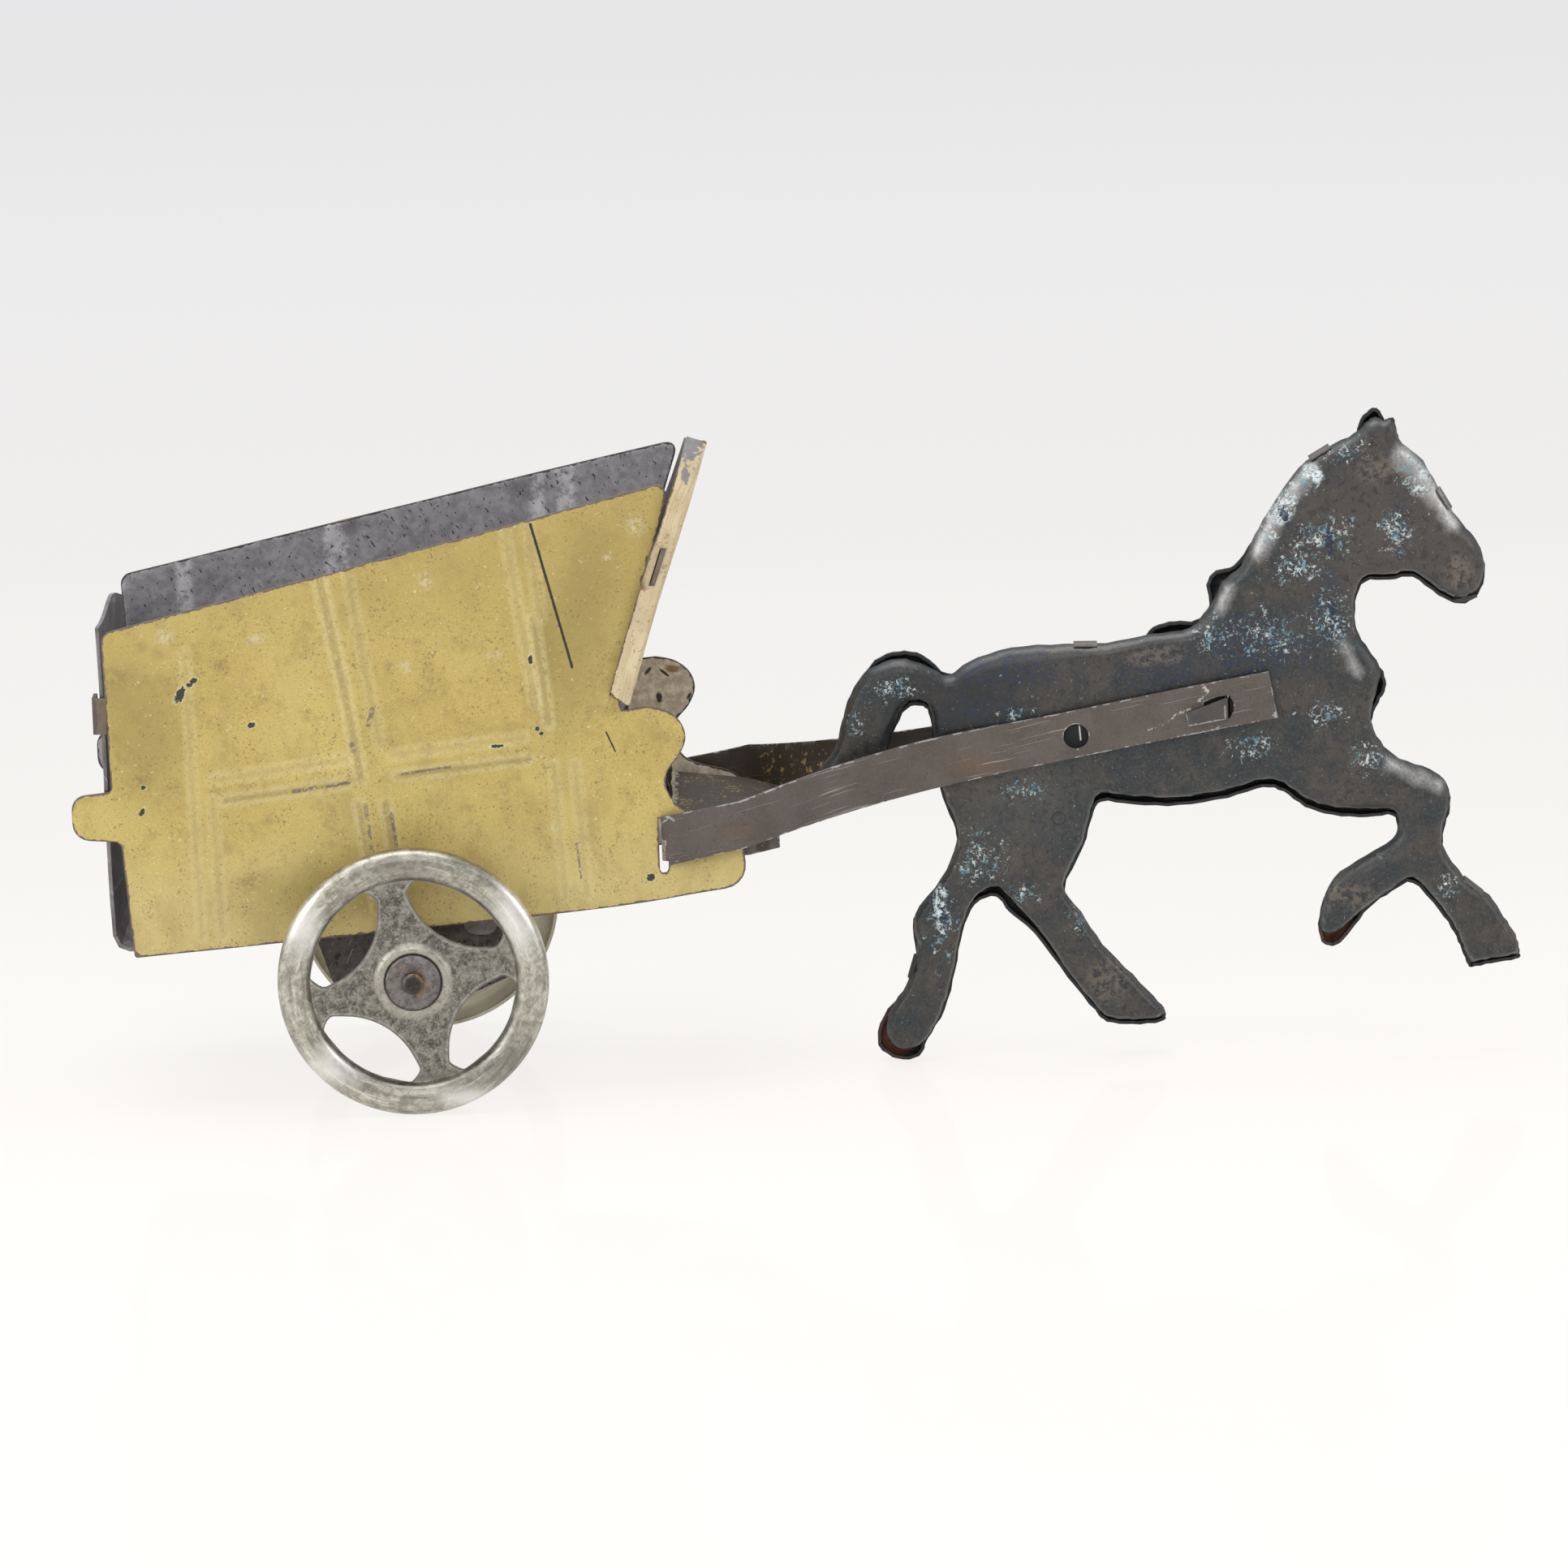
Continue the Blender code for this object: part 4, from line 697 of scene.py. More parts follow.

# %% [markdown]
# ## Bare tin of the floor, the tailboard and the strap
# Unpainted tinplate goes grey with a purple cast. It keeps a soft metal gloss with clouds, short
# slashes and brown spots where the tin coat has failed. Faces that point down are darkened by
# painted shade. The strap is duller, with pale worn edges at its folded end.

# %% Mix the bare tin
STRAP_BEGINS = 60.0
STRAP_EDGE = (((73.5, 32.15), (77.0, 32.7), 0.05), ((77.0, 32.7), (77.0, 34.0), 0.02),
              ((73.5, 32.15), (73.3, 33.3), 0.0))
w, shader, at = new_finish("bare_tin")
cloud = w.noise(at, 0.35, 5.0, 0.6)
tin = w.blend(w.step(cloud, 0.3, 0.7), (0.15, 0.14, 0.145), (0.29, 0.275, 0.275))
brown = w.group("fleck", {"Position": at, "Scale": 0.8, "Detail": 6.0, "Level": 0.52, "Soft": 0.14})
tin = w.wash(tin, brown, 0.6, (0.12, 0.085, 0.06))
slash = w.group("scratch", {"Position": at, "Turn": -1.1, "Length": 2.5, "Width": 0.2, "Level": 0.67})
tin = w.wash(tin, slash, 0.6, (0.42, 0.41, 0.41))
# Painted shade on the faces that point down, which are also made less metallic.
turned_to = w.axis(w.normal(), Z)
under = w.step(turned_to, -0.5, -0.9)
tin = w.wash(tin, under, 0.8, (0.055, 0.048, 0.042))
ahead = w.axis(at, X)
on_strap = w.step(ahead, STRAP_BEGINS, STRAP_BEGINS + 1.0)
tin = w.wash(tin, on_strap, 0.8, (0.062, 0.057, 0.055))
gritty = w.jitter(w.noise(at, 4.0, 4.0, 0.7), 0.6)
strap_edge = w.sum("MULTIPLY", lines(w, at, STRAP_EDGE, gritty, 0.1), on_strap)
tin = w.wash(tin, strap_edge, 0.7, (0.44, 0.42, 0.40))
set_finish(w, shader, tin, w.step(cloud, 0.3, 0.7, 0.34, 0.52),
           w.sum("MULTIPLY", w.step(brown, 0.0, 1.0, 0.8, 0.3), w.step(under, 0.0, 1.0, 1.0, 0.15)),
           w.noise(at, 3.0, 4.0), 0.03)
print("bare tin", len(shader.id_data.nodes), "nodes")

# %% [markdown]
# ## Brown japan of the shafts
# The shaft strips carry a thin brown stoving varnish over tin, even and half-dull, with pale hair
# scratches along their length, a little rust, and a chipped line that runs down from the strap.
# The bridge between the panels is nearly black, its dark varnish deepened by painted shade, with
# clusters of gold flecks where the varnish is worn through. The far shaft's inner side is darkened
# by painted shade and has a few of the flecks too.

# %% Mix the brown varnish
SHAFT_RUST = ((53.5, 28.9, 2.6, 1.0, -10), (31.0, 25.0, 1.4, 0.6, 0))
GOLD_PLACES = ((34.6, 27.0, 1.5, 2.0, 0), (38.0, 27.2, 1.6, 1.6, 0), (42.5, 27.6, 2.2, 0.9, -11),
               (27.5, 24.0, 3.0, 1.5, 0))
SHAFT_CHIP = (((75.15, 35.75), (75.5, 35.25), 0.06), ((75.5, 35.25), (74.5, 34.35), 0.0),
              ((73.75, 33.75), (72.3, 33.2), 0.02), ((72.3, 33.2), (71.6, 32.4), -0.02),
              ((71.6, 32.4), (69.75, 31.8), -0.08))
w, shader, at = new_finish("brown_japan", coat=0.05, coat_roughness=0.35)
along = w.put("ShaderNodeVectorRotate", {"Vector": at, "Axis": (0.0, 1.0, 0.0), "Angle": 0.18},
              rotation_type="AXIS_ANGLE")
wobble = w.jitter(w.noise(at, 1.8, 4.0, 0.6), 1.6)
cloud = w.noise(at, 0.22, 5.0, 0.6)
fine = w.noise(at, 6.0, 3.0, 0.6)
coat = w.blend(w.step(cloud, 0.3, 0.7), (0.082, 0.066, 0.057), (0.112, 0.091, 0.080))
coat = w.blend(w.step(fine, 0.4, 0.8, 0.0, 0.5), coat, (0.16, 0.135, 0.118))
dark = w.group("fleck", {"Position": at, "Scale": 2.4, "Detail": 4.0, "Level": 0.62, "Soft": 0.06})
coat = w.wash(coat, dark, 0.6, (0.05, 0.042, 0.036))
rust = marks(w, at, SHAFT_RUST, wobble, 0.6)
coat = w.wash(coat, rust, 0.22, (0.22, 0.11, 0.05))
hidden = w.axis(at, Y)
chip_wobble = w.jitter(w.noise(at, 3.6, 5.0, 0.75), 1.3)
chipped = w.sum("MULTIPLY", w.step(hidden, -3.3, -3.6), lines(w, at, SHAFT_CHIP, chip_wobble, 0.08))
coat = w.wash(coat, chipped, 0.85, (0.52, 0.50, 0.46))
hair = w.group("scratch", {"Position": along, "Turn": 0.0, "Length": 7.0, "Width": 0.1, "Level": 0.69})
coat = w.wash(coat, hair, 0.5, (0.42, 0.40, 0.37))
print("shafts' outer side mixed")

# %% Bridge and far shaft's inner side in painted shade, their gold flecks, and the worn edges
facing = w.axis(w.normal(), Y)
inner_side = w.sum("MULTIPLY", w.step(hidden, -3.6, -3.3), w.step(facing, 0.3, -0.1))
# Painted shade darkens the far shaft's inner side, which faces the horse.
coat = w.wash(coat, inner_side, 0.6, (0.035, 0.029, 0.022))
on_bridge = w.sum("MULTIPLY", w.step(w.sum("ABSOLUTE", hidden), 12.0, 11.7),
                  w.step(w.axis(at, X), 33.8, 33.4))
# The bridge is washed nearly black: its dark varnish, deepened by painted shade.
coat = w.wash(coat, on_bridge, 0.92, (0.036, 0.026, 0.016))
crowd = w.step(w.noise(at, 0.45, 3.0, 0.6), 0.42, 0.62, 0.70, 0.55)
gold_dust = w.group("fleck", {"Position": at, "Scale": 2.6, "Detail": 4.0, "Level": crowd, "Soft": 0.03})
coat = w.wash(coat, w.sum("MULTIPLY", gold_dust, on_bridge), 0.8, (0.42, 0.31, 0.14))
gold = w.group("fleck", {"Position": at, "Scale": 2.0, "Detail": 4.0, "Level": 0.575, "Soft": 0.04})
gold = w.sum("MULTIPLY", gold, marks(w, at, GOLD_PLACES, wobble, 0.5))
coat = w.wash(coat, w.sum("MULTIPLY", gold, inner_side), 0.9, (0.42, 0.30, 0.13))
near_edge = w.from_edge()
edge = w.sum("MULTIPLY", w.group("cut_edge"), w.step(near_edge, 0.4, 0.2))
border = w.group("worn_border", {"Position": at, "Width": 0.03, "Wobble": 0.2})
patchy = w.group("fleck", {"Position": at, "Scale": 0.9, "Detail": 5.0, "Level": 0.5, "Soft": 0.06})
worn = w.sum("MULTIPLY", w.sum("MAXIMUM", edge, border), patchy)
coat = w.wash(coat, worn, 0.8, (0.50, 0.49, 0.48))
rough = w.between(on_bridge, w.step(fine, 0.2, 0.8, 0.42, 0.56), 0.7)
metal = w.between(worn, w.between(on_bridge, 0.35, 0.0), 0.9)
set_finish(w, shader, coat, rough, metal, fine, 0.015)
print("brown varnish", len(shader.id_data.nodes), "nodes")

# %% [markdown]
# ## Black japan of the horse
# The horse was black, and age has turned the coat to gunmetal with brown clouds and blue stains.
# Where it lifts, a pale blue-white crackle shows in ragged patches. The patches are placed, their
# ragged outline is noise, and the hooves on the far shell keep red paint. Raised places, such as
# the crest, are burnished and carry a pale painted highlight. The rim that turns over to the seam
# is painted dark as shade, painted shade darkens the hindquarters, and through the shaft's hole
# the flank is painted black as shade, with a painted glint.

# %% Places of the crackle, the blue stains and the red hooves
CRACKLE_PATCHES = ((45.6, 36.3, 2.6, 1.2, 10), (42.0, 33.0, 0.8, 1.3, 0), (58.0, 26.3, 2.0, 1.2, 0),
                   (53.5, 19.8, 2.2, 2.8, 0), (57.8, 16.1, 1.6, 1.1, 0), (49.7, 13.6, 1.5, 3.4, 5),
                   (81.5, 50.6, 1.0, 1.7, 0), (83.0, 53.2, 1.3, 1.5, 0), (85.1, 54.9, 1.5, 1.1, 0),
                   (89.1, 57.7, 2.2, 0.9, 15), (86.8, 49.7, 2.8, 1.8, 5), (84.0, 46.8, 2.8, 1.5, 0),
                   (93.7, 49.9, 1.6, 2.0, 0),
                   (76.1, 40.5, 2.0, 1.8, 0), (81.0, 40.6, 4.0, 2.2, -12), (87.2, 41.5, 2.0, 3.0, 0),
                   (86.5, 32.8, 2.0, 1.2, 0), (79.4, 29.8, 2.2, 1.2, 0), (97.8, 15.5, 1.2, 1.8, 0),
                   (95.4, 55.2, 1.6, 2.2, 30), (92.7, 51.0, 1.2, 1.0, 0),
                   (90.6, 28.4, 2.0, 1.3, 0), (57.6, 33.6, 1.8, 0.7, 0), (62.8, 13.6, 1.0, 1.6, 0),
                   (50.5, 30.0, 0.8, 1.4, 0))
BLUE_STAINS = ((80.1, 39.3, 6.0, 2.6, -8), (87.0, 43.5, 1.3, 3.0, 0), (49.8, 15.2, 1.4, 2.6, 0),
               (54.6, 33.8, 3.4, 1.3, -5), (71.5, 37.4, 5.0, 1.6, 0), (57.0, 37.8, 5.5, 1.6, 0),
               (94.0, 51.5, 0.8, 2.4, 0))
LIFTED_PATCHES = ((82.7, 52.5, 1.7, 1.3, 50), (85.8, 55.7, 1.0, 0.7, -30), (96.0, 54.6, 1.3, 0.7, 60),
                  (49.6, 15.6, 0.6, 1.6, 0))
NAVY_SPOTS = ((83.0, 51.8, 0.4, 0.8, 20), (87.3, 49.2, 0.3, 1.2, 0), (87.3, 42.5, 0.3, 1.1, 0),
              (50.0, 14.2, 0.3, 0.9, 5))
BROWN_PATCHES = ((70.7, 38.7, 2.4, 0.8, 5), (99.6, 46.0, 1.3, 1.5, 0), (92.0, 56.0, 1.8, 1.2, 0),
                 (65.4, 7.4, 1.6, 1.8, 0), (88.8, 15.2, 2.0, 1.2, 0))
HEAD_AREA = ((93.5, 50.5, 9.0, 8.0, 0),)
THIGH_AREA = ((57.5, 26.0, 5.0, 5.5, 0),)
RUMP_SHADE_AREA = ((51.5, 34.5, 6.5, 5.0, -10),)
RED_HOOVES = ((45.0, 2.6, 1.7, 2.6, 15), (87.0, 11.6, 2.2, 1.3, 40))
FLANK_PIT = ((61.1, 23.4, 0.6, 0.6, 0),)
HOLE_X, HOLE_Z = 62.9, 31.4
TAB_REACH = 1.25
TAB_PLACES = ((64.0, 39.8), (86.7, 57.6), (98.1, 53.0), (100.3, 15.4), (100.2, 43.5), (46.8, 9.4))
# Burnished ridges, where a pale painted highlight is laid: from, to, half width.
BURNISHED_HIGHLIGHTS = (((80.7, 48.6), (82.0, 51.6), 0.0), ((82.0, 51.6), (85.6, 56.0), -0.1),
             ((94.4, 57.2), (97.4, 53.2), 0.3), ((97.4, 53.2), (98.9, 50.4), -0.1),
             ((88.4, 39.4), (89.6, 36.6), -0.45), ((92.6, 27.6), (97.2, 25.4), -0.35),
             ((76.9, 43.0), (77.6, 44.8), -0.35))
print(len(CRACKLE_PATCHES), "patches of crackle")

# %% Black: the coat, its clouds and its lighter and darker areas
w, shader, at = new_finish("black_japan", coat=0.25, coat_roughness=0.28)
ragged = w.noise(at, 1.5, 6.0, 0.68, 0.6)
wobble = w.jitter(w.noise(at, 0.8, 4.0, 0.6), 2.2)
cloud = w.noise(at, 0.16, 5.0, 0.6)
fine = w.noise(at, 4.5, 5.0, 0.7)
coat = w.blend(w.step(cloud, 0.40, 0.60), (0.023, 0.028, 0.032), (0.048, 0.043, 0.037))
blotch = w.noise(w.vector("ADD", at, (5.0, 0.0, 17.0)), 0.45, 5.0, 0.65)
coat = w.blend(w.step(blotch, 0.50, 0.64, 0.0, 0.5), coat, (0.085, 0.068, 0.053))
coat = w.blend(w.step(blotch, 0.47, 0.36, 0.0, 0.55), coat, (0.014, 0.024, 0.029))
coat = w.blend(w.step(fine, 0.42, 0.75, 0.0, 0.6), coat, (0.095, 0.092, 0.086))
head = marks(w, at, HEAD_AREA, w.sum("MULTIPLY", wobble, 0.2), 0.5)
coat = w.wash(coat, head, 0.6, (0.080, 0.066, 0.056))
thigh = marks(w, at, THIGH_AREA, 0.0, 0.8)
coat = w.wash(coat, thigh, 0.4, (0.088, 0.086, 0.080))
coat = w.blend(w.step(ragged, 0.50, 0.36, 0.0, 0.75), coat, (0.016, 0.019, 0.023))
# Painted shade darkens the hindquarters.
rump_shade = marks(w, at, RUMP_SHADE_AREA, 0.0, 0.8)
coat = w.wash(coat, rump_shade, 0.65, (0.012, 0.014, 0.017))
print("black coat laid")

# %% Black: stains, burnished ridges with painted highlights, and crackle
rubbed_and_highlit = w.sum("ADD", line_field(w, at, BURNISHED_HIGHLIGHTS), w.sum("MULTIPLY", wobble, 0.7))
burnish_and_highlight = w.sum("MULTIPLY", w.step(rubbed_and_highlit, 1.5, -0.3), w.step(fine, 0.25, 0.6, 0.5, 1.0))
blue = w.sum("MULTIPLY", marks(w, at, BLUE_STAINS, wobble, 0.7), w.step(ragged, 0.44, 0.58))
coat = w.wash(coat, blue, 0.75, (0.012, 0.024, 0.056))
brown = w.sum("MULTIPLY", marks(w, at, BROWN_PATCHES, wobble, 0.5), w.step(ragged, 0.46, 0.54))
coat = w.wash(coat, brown, 0.65, (0.17, 0.135, 0.105))
# The pale colour on the burnished ridges is a painted highlight; their metal gloss is real.
coat = w.wash(coat, burnish_and_highlight, 0.75, (0.58, 0.57, 0.56))
patch = marks(w, at, CRACKLE_PATCHES, wobble, 0.9)
level = w.between(patch, 0.645, 0.515)
veins = w.noise(at, 2.6, 8.0, 0.78, 0.7)
crackle = w.step(w.sum("SUBTRACT", veins, level), 0.0, 0.018)
tint = w.blend(w.step(w.noise(at, 0.9, 2.0), 0.42, 0.6), (0.16, 0.31, 0.38), (0.62, 0.70, 0.69))
coat = w.wash(coat, crackle, 0.9, tint)
lifted = w.sum("ADD", mark_field(w, at, LIFTED_PATCHES), w.sum("MULTIPLY", wobble, 0.45))
lifted = w.sum("MULTIPLY", w.step(lifted, 1.3, 0.7), w.step(veins, 0.485, 0.505))
coat = w.wash(coat, lifted, 0.9, (0.62, 0.70, 0.72))
spot = w.sum("ADD", mark_field(w, at, NAVY_SPOTS), w.jitter(veins, 5.0))
coat = w.blend(w.step(spot, 1.2, 0.8, 0.0, 0.85), coat, (0.006, 0.014, 0.050))
crackle = w.sum("MAXIMUM", crackle, lifted)
dust = w.group("fleck", {"Position": at, "Scale": 2.8, "Detail": 3.0, "Level": 0.68, "Soft": 0.03})
coat = w.wash(coat, dust, 0.5, (0.30, 0.27, 0.22))
print("crackle in", len(CRACKLE_PATCHES), "patches")

# %% Black: red hooves, painted shade on the turned edge and through the shaft's hole, a painted glint, the tabs
depth = w.axis(at, Y)
hoof = marks(w, at, RED_HOOVES, w.sum("MULTIPLY", wobble, 0.3), 0.1)
hoof = w.sum("MULTIPLY", hoof, w.step(depth, -2.5, -2.3))
coat = w.wash(coat, hoof, 0.9, w.blend(fine, (0.07, 0.022, 0.015), (0.26, 0.085, 0.045)))
near_edge = w.from_edge()
# The rim that turns over to the seam is darkened by painted shade, except on the burnished ridges and the
# tabs.
turned = w.sum("MULTIPLY", w.step(near_edge, 1.05, 0.45), w.sum("SUBTRACT", 1.0, burnish_and_highlight))
brown_tabs = tuple((x, z, TAB_REACH, TAB_REACH, 0) for x, z in TAB_PLACES[:4])
on_tab = marks(w, at, brown_tabs, 0.0, 0.15)
turned = w.sum("MULTIPLY", turned, w.sum("SUBTRACT", 1.0, on_tab))
coat = w.wash(coat, turned, 0.75, (0.014, 0.016, 0.018))
tab_edge = w.sum("MULTIPLY", on_tab, w.step(near_edge, 0.5, 0.3, 0.0, 0.6))
coat = w.blend(tab_edge, coat, (0.085, 0.072, 0.062))
pit = mark_field(w, at, FLANK_PIT)
ring = w.step(w.sum("ABSOLUTE", w.sum("SUBTRACT", pit, 1.0)), 0.2, 0.06)
coat = w.wash(coat, ring, 0.8, (0.012, 0.014, 0.016))
# Behind the shaft's hole the flank is painted black as shade, with a thin painted glint.
shade_behind_hole = marks(w, at, ((HOLE_X, HOLE_Z, 1.6, 1.6, 0),), 0.0, 0.1)
coat = w.blend(shade_behind_hole, coat, (0.006, 0.006, 0.006))
glint = lines(w, at, (((HOLE_X + 0.35, HOLE_Z + 0.8), (HOLE_X + 0.45, HOLE_Z - 0.5), 0.04),), 0.0, 0.06)
coat = w.blend(glint, coat, (0.75, 0.73, 0.70))
print("edge turned at", len(TAB_PLACES), "tabs")

# %% Black: how the varnish shines
dull = w.sum("MAXIMUM", w.sum("MAXIMUM", crackle, hoof),
             w.sum("MAXIMUM", shade_behind_hole, w.sum("MULTIPLY", turned, 0.8)))
rough = w.between(burnish_and_highlight, w.step(ragged, 0.3, 0.7, 0.36, 0.5), 0.3)
rough = w.between(dull, rough, 0.6)
metal = w.between(dull, w.between(burnish_and_highlight, 0.4, 0.9), 0.0)
height = w.sum("ADD", w.sum("MULTIPLY", fine, 0.5), w.sum("ADD", ragged, w.sum("MULTIPLY", crackle, -0.4)))
set_finish(w, shader, coat, rough, metal, height, 0.05)
w.feed(shader.inputs["Coat Weight"], w.step(w.sum("MAXIMUM", shade_behind_hole, turned), 0.0, 1.0, 0.25, 0.0))
print("black varnish", len(shader.id_data.nodes), "nodes")

# %% [markdown]
# ## Lacquered tin of the wheels
# The wheels are bright tin under a clear lacquer that has yellowed and mottled. The rolled rim is
# brushed round by use and carries painted highlights at a few places, painted shade on its lower
# right and bottom, and a darker patch along its top. The spokes are duller with a fine dark grain,
# and a thin dark line with a faint bright lip beside it shows where the windows were punched. The
# inner side, which the far wheel shows, has kept more of its lacquer.

# %% Wheels: the rolled rim
WHEEL_R = 12.7
WEB_R = 10.2
RING_R = 3.1
RIM_HIGHLIGHTS = ((9.9, 19.0, 2.0, 3.4, 0), (-10.2, 18.8, 1.6, 2.6, 0), (-7.4, 5.2, 2.6, 1.6, 0),
             (4.5, 1.8, 2.4, 0.9, 0))
WHEEL_DARK_PATCHES = ((7.6, 5.6, 3.4, 3.0, 0), (0.0, 24.0, 5.0, 1.5, 0), (1.2, 3.1, 6.5, 0.9, 0))
HUB_RUST = ((0.0, 13.6, 1.8, 0.25, -15), (1.6, 11.8, 0.25, 1.2, 20))
w, shader, at = new_finish("wheel_tin", coat=0.3, coat_roughness=0.2)
from_axle = w.vector("MULTIPLY", w.vector("SUBTRACT", at, (0.0, 0.0, WHEEL_R)), (1.0, 0.0, 1.0))
radius = w.vector("LENGTH", from_axle, out=1)
round_about = w.vector("MULTIPLY", w.vector("NORMALIZE", from_axle), (2.0, 0.0, 2.0))
drawn = w.vector("ADD", round_about, w.put("ShaderNodeCombineXYZ", {1: w.sum("MULTIPLY", radius, 1.5)}))
streak = w.noise(drawn, 1.0, 6.0, 0.68)
mottle = w.noise(at, 1.1, 6.0, 0.7, 0.4)
fine = w.noise(at, 6.0, 4.0, 0.65)
tin = w.blend(w.step(mottle, 0.38, 0.62), (0.30, 0.287, 0.24), (0.56, 0.535, 0.455))
tin = w.blend(w.step(streak, 0.5, 0.64, 0.0, 0.75), tin, (0.20, 0.19, 0.155))
tin = w.blend(w.step(streak, 0.44, 0.34, 0.0, 0.7), tin, (0.86, 0.84, 0.78))
print("rim mixed")

# %% Wheels: the duller web, the raised ring and the punched outlines
on_web = w.step(radius, WEB_R + 0.1, WEB_R - 1.3)
web = w.blend(w.step(mottle, 0.40, 0.60), (0.078, 0.074, 0.064), (0.285, 0.27, 0.23))
web = w.blend(w.step(fine, 0.45, 0.75, 0.0, 0.4), web, (0.55, 0.53, 0.46))
grain = w.noise(at, 3.4, 6.0, 0.8)
web = w.blend(w.step(grain, 0.5, 0.38, 0.0, 0.6), web, (0.045, 0.042, 0.036))
web = w.blend(w.step(grain, 0.56, 0.66, 0.0, 0.6), web, (0.60, 0.58, 0.48))
tin = w.blend(on_web, tin, web)
hub_ring = w.step(w.sum("ABSOLUTE", w.sum("SUBTRACT", radius, RING_R)), 0.75, 0.35, 0.0, 0.45)
tin = w.blend(hub_ring, tin, (0.66, 0.63, 0.54))
near_edge = w.from_edge()
within_web = w.step(radius, WEB_R, WEB_R - 0.3)
lip = w.sum("MULTIPLY", w.step(near_edge, 0.4, 0.2), within_web)
tin = w.wash(tin, lip, 0.2, (0.84, 0.82, 0.75))
outline = w.sum("MULTIPLY", w.step(near_edge, 0.2, 0.1), within_web)
tin = w.wash(tin, outline, 0.6, (0.085, 0.08, 0.07))
print("web mixed")

# %% Wheels: scratches, spots, painted highlights, painted shade and a dark patch
brushed = w.group("scratch", {"Position": at, "Turn": 0.75, "Length": 2.6, "Width": 0.11, "Level": 0.55})
tin = w.wash(tin, brushed, 0.3, (0.22, 0.21, 0.175))
spot = w.group("fleck", {"Position": at, "Scale": 1.9, "Detail": 5.0, "Level": 0.6, "Soft": 0.06})
tin = w.wash(tin, spot, 0.6, (0.12, 0.115, 0.085))
# Painted highlights on the rim, at fixed places round the wheel.
rim_highlight = w.sum("MULTIPLY", marks(w, at, RIM_HIGHLIGHTS, 0.0, 0.8), w.step(radius, 9.6, 10.1))
tin = w.wash(tin, rim_highlight, 0.7, (0.88, 0.87, 0.83))
# Painted shade on the rim's lower right and along its bottom, and a darker patch along its top.
rim_darkening = marks(w, at, WHEEL_DARK_PATCHES, 0.0, 0.7)
tin = w.wash(tin, rim_darkening, 0.5, (0.15, 0.14, 0.12))
orange = marks(w, at, HUB_RUST, w.jitter(fine, 1.5), 0.3)
tin = w.wash(tin, orange, 0.5, (0.45, 0.22, 0.07))
print("marks placed on the wheels")

# %% Wheels: the inner side, and how the tin shines
sideways = w.axis(w.normal(), Y)
across = w.axis(at, Y)
inner = w.step(w.sum("MULTIPLY", sideways, w.sum("SIGN", across)), -0.05, -0.2)
tin = w.wash(tin, inner, 0.75, (0.66, 0.60, 0.44))
rough = w.step(mottle, 0.3, 0.7, 0.30, 0.46)
metal = w.sum("MULTIPLY", w.step(spot, 0.0, 1.0, 0.9, 0.4), w.between(inner, 1.0, 0.25))
set_finish(w, shader, tin, rough, metal, w.sum("ADD", streak, w.sum("MULTIPLY", fine, 0.4)), 0.04)
print("wheel lacquer", len(shader.id_data.nodes), "nodes")

# %% [markdown]
# ## Dull steel of the axle, its discs and the saddle
# These were never coated. They are grey with a purple cast and pitted. A curl of orange rust lies
# round the peened end of the axle, and the saddle between the wheels is darker with black spots.

# %% Mix the steel
SADDLE_HALF_WIDTH = 16.5
RUST_CURL = (((-1.8, 14.1), (-0.2, 13.85), 0.0), ((-0.2, 13.85), (0.8, 13.45), 0.04),
             ((0.9, 13.3), (1.15, 12.6), 0.1), ((1.15, 12.6), (0.95, 12.0), 0.12),
             ((0.95, 12.0), (0.45, 11.5), 0.1))
w, shader, at = new_finish("steel")
cloud = w.noise(at, 1.0, 6.0, 0.68)
fine = w.noise(at, 5.0, 4.0, 0.6)
steel = w.blend(w.step(cloud, 0.35, 0.65), (0.125, 0.112, 0.107), (0.262, 0.24, 0.236))
pit = w.group("fleck", {"Position": at, "Scale": 3.4, "Detail": 4.0, "Level": 0.60, "Soft": 0.06})
steel = w.wash(steel, pit, 0.8, (0.05, 0.042, 0.038))
aside = w.sum("ABSOLUTE", w.axis(at, Y))
on_saddle = w.step(aside, SADDLE_HALF_WIDTH + 0.1, SADDLE_HALF_WIDTH - 0.1)
black_spot = w.group("fleck", {"Position": at, "Scale": 1.3, "Detail": 4.0, "Level": 0.56, "Soft": 0.08})
steel = w.wash(steel, on_saddle, 0.6, (0.06, 0.052, 0.046))
steel = w.wash(steel, w.sum("MULTIPLY", on_saddle, black_spot), 0.8, (0.02, 0.018, 0.017))
bright = w.group("scratch", {"Position": at, "Turn": 1.2, "Length": 1.8, "Width": 0.14, "Level": 0.69})
steel = w.wash(steel, bright, 0.5, (0.45, 0.43, 0.42))
curl = lines(w, at, RUST_CURL, w.jitter(fine, 0.9), 0.1)
dimple = marks(w, at, ((0.0, WHEEL_R, 0.9, 0.9, 0),), 0.0, 0.4)
steel = w.blend(dimple, steel, (0.05, 0.042, 0.038))
steel = w.wash(steel, curl, 0.7, (0.34, 0.18, 0.08))
set_finish(w, shader, steel, w.step(cloud, 0.3, 0.7, 0.36, 0.55), w.step(pit, 0.0, 1.0, 0.8, 0.3),
           w.sum("SUBTRACT", fine, pit), 0.04)
print("steel", len(shader.id_data.nodes), "nodes")

# %% [markdown]
# ## Side panels
# Each side of the cart is one stamping. Its outline has a straight sloping top, a scroll cut
# between the front board and the tongue that takes the shaft, and a lug at the rear. Pressed ribs
# stiffen it. It is drawn as one face, its corners are rounded with vertex bevels, and a fine grid
# lets the ribs rise as soft waves.

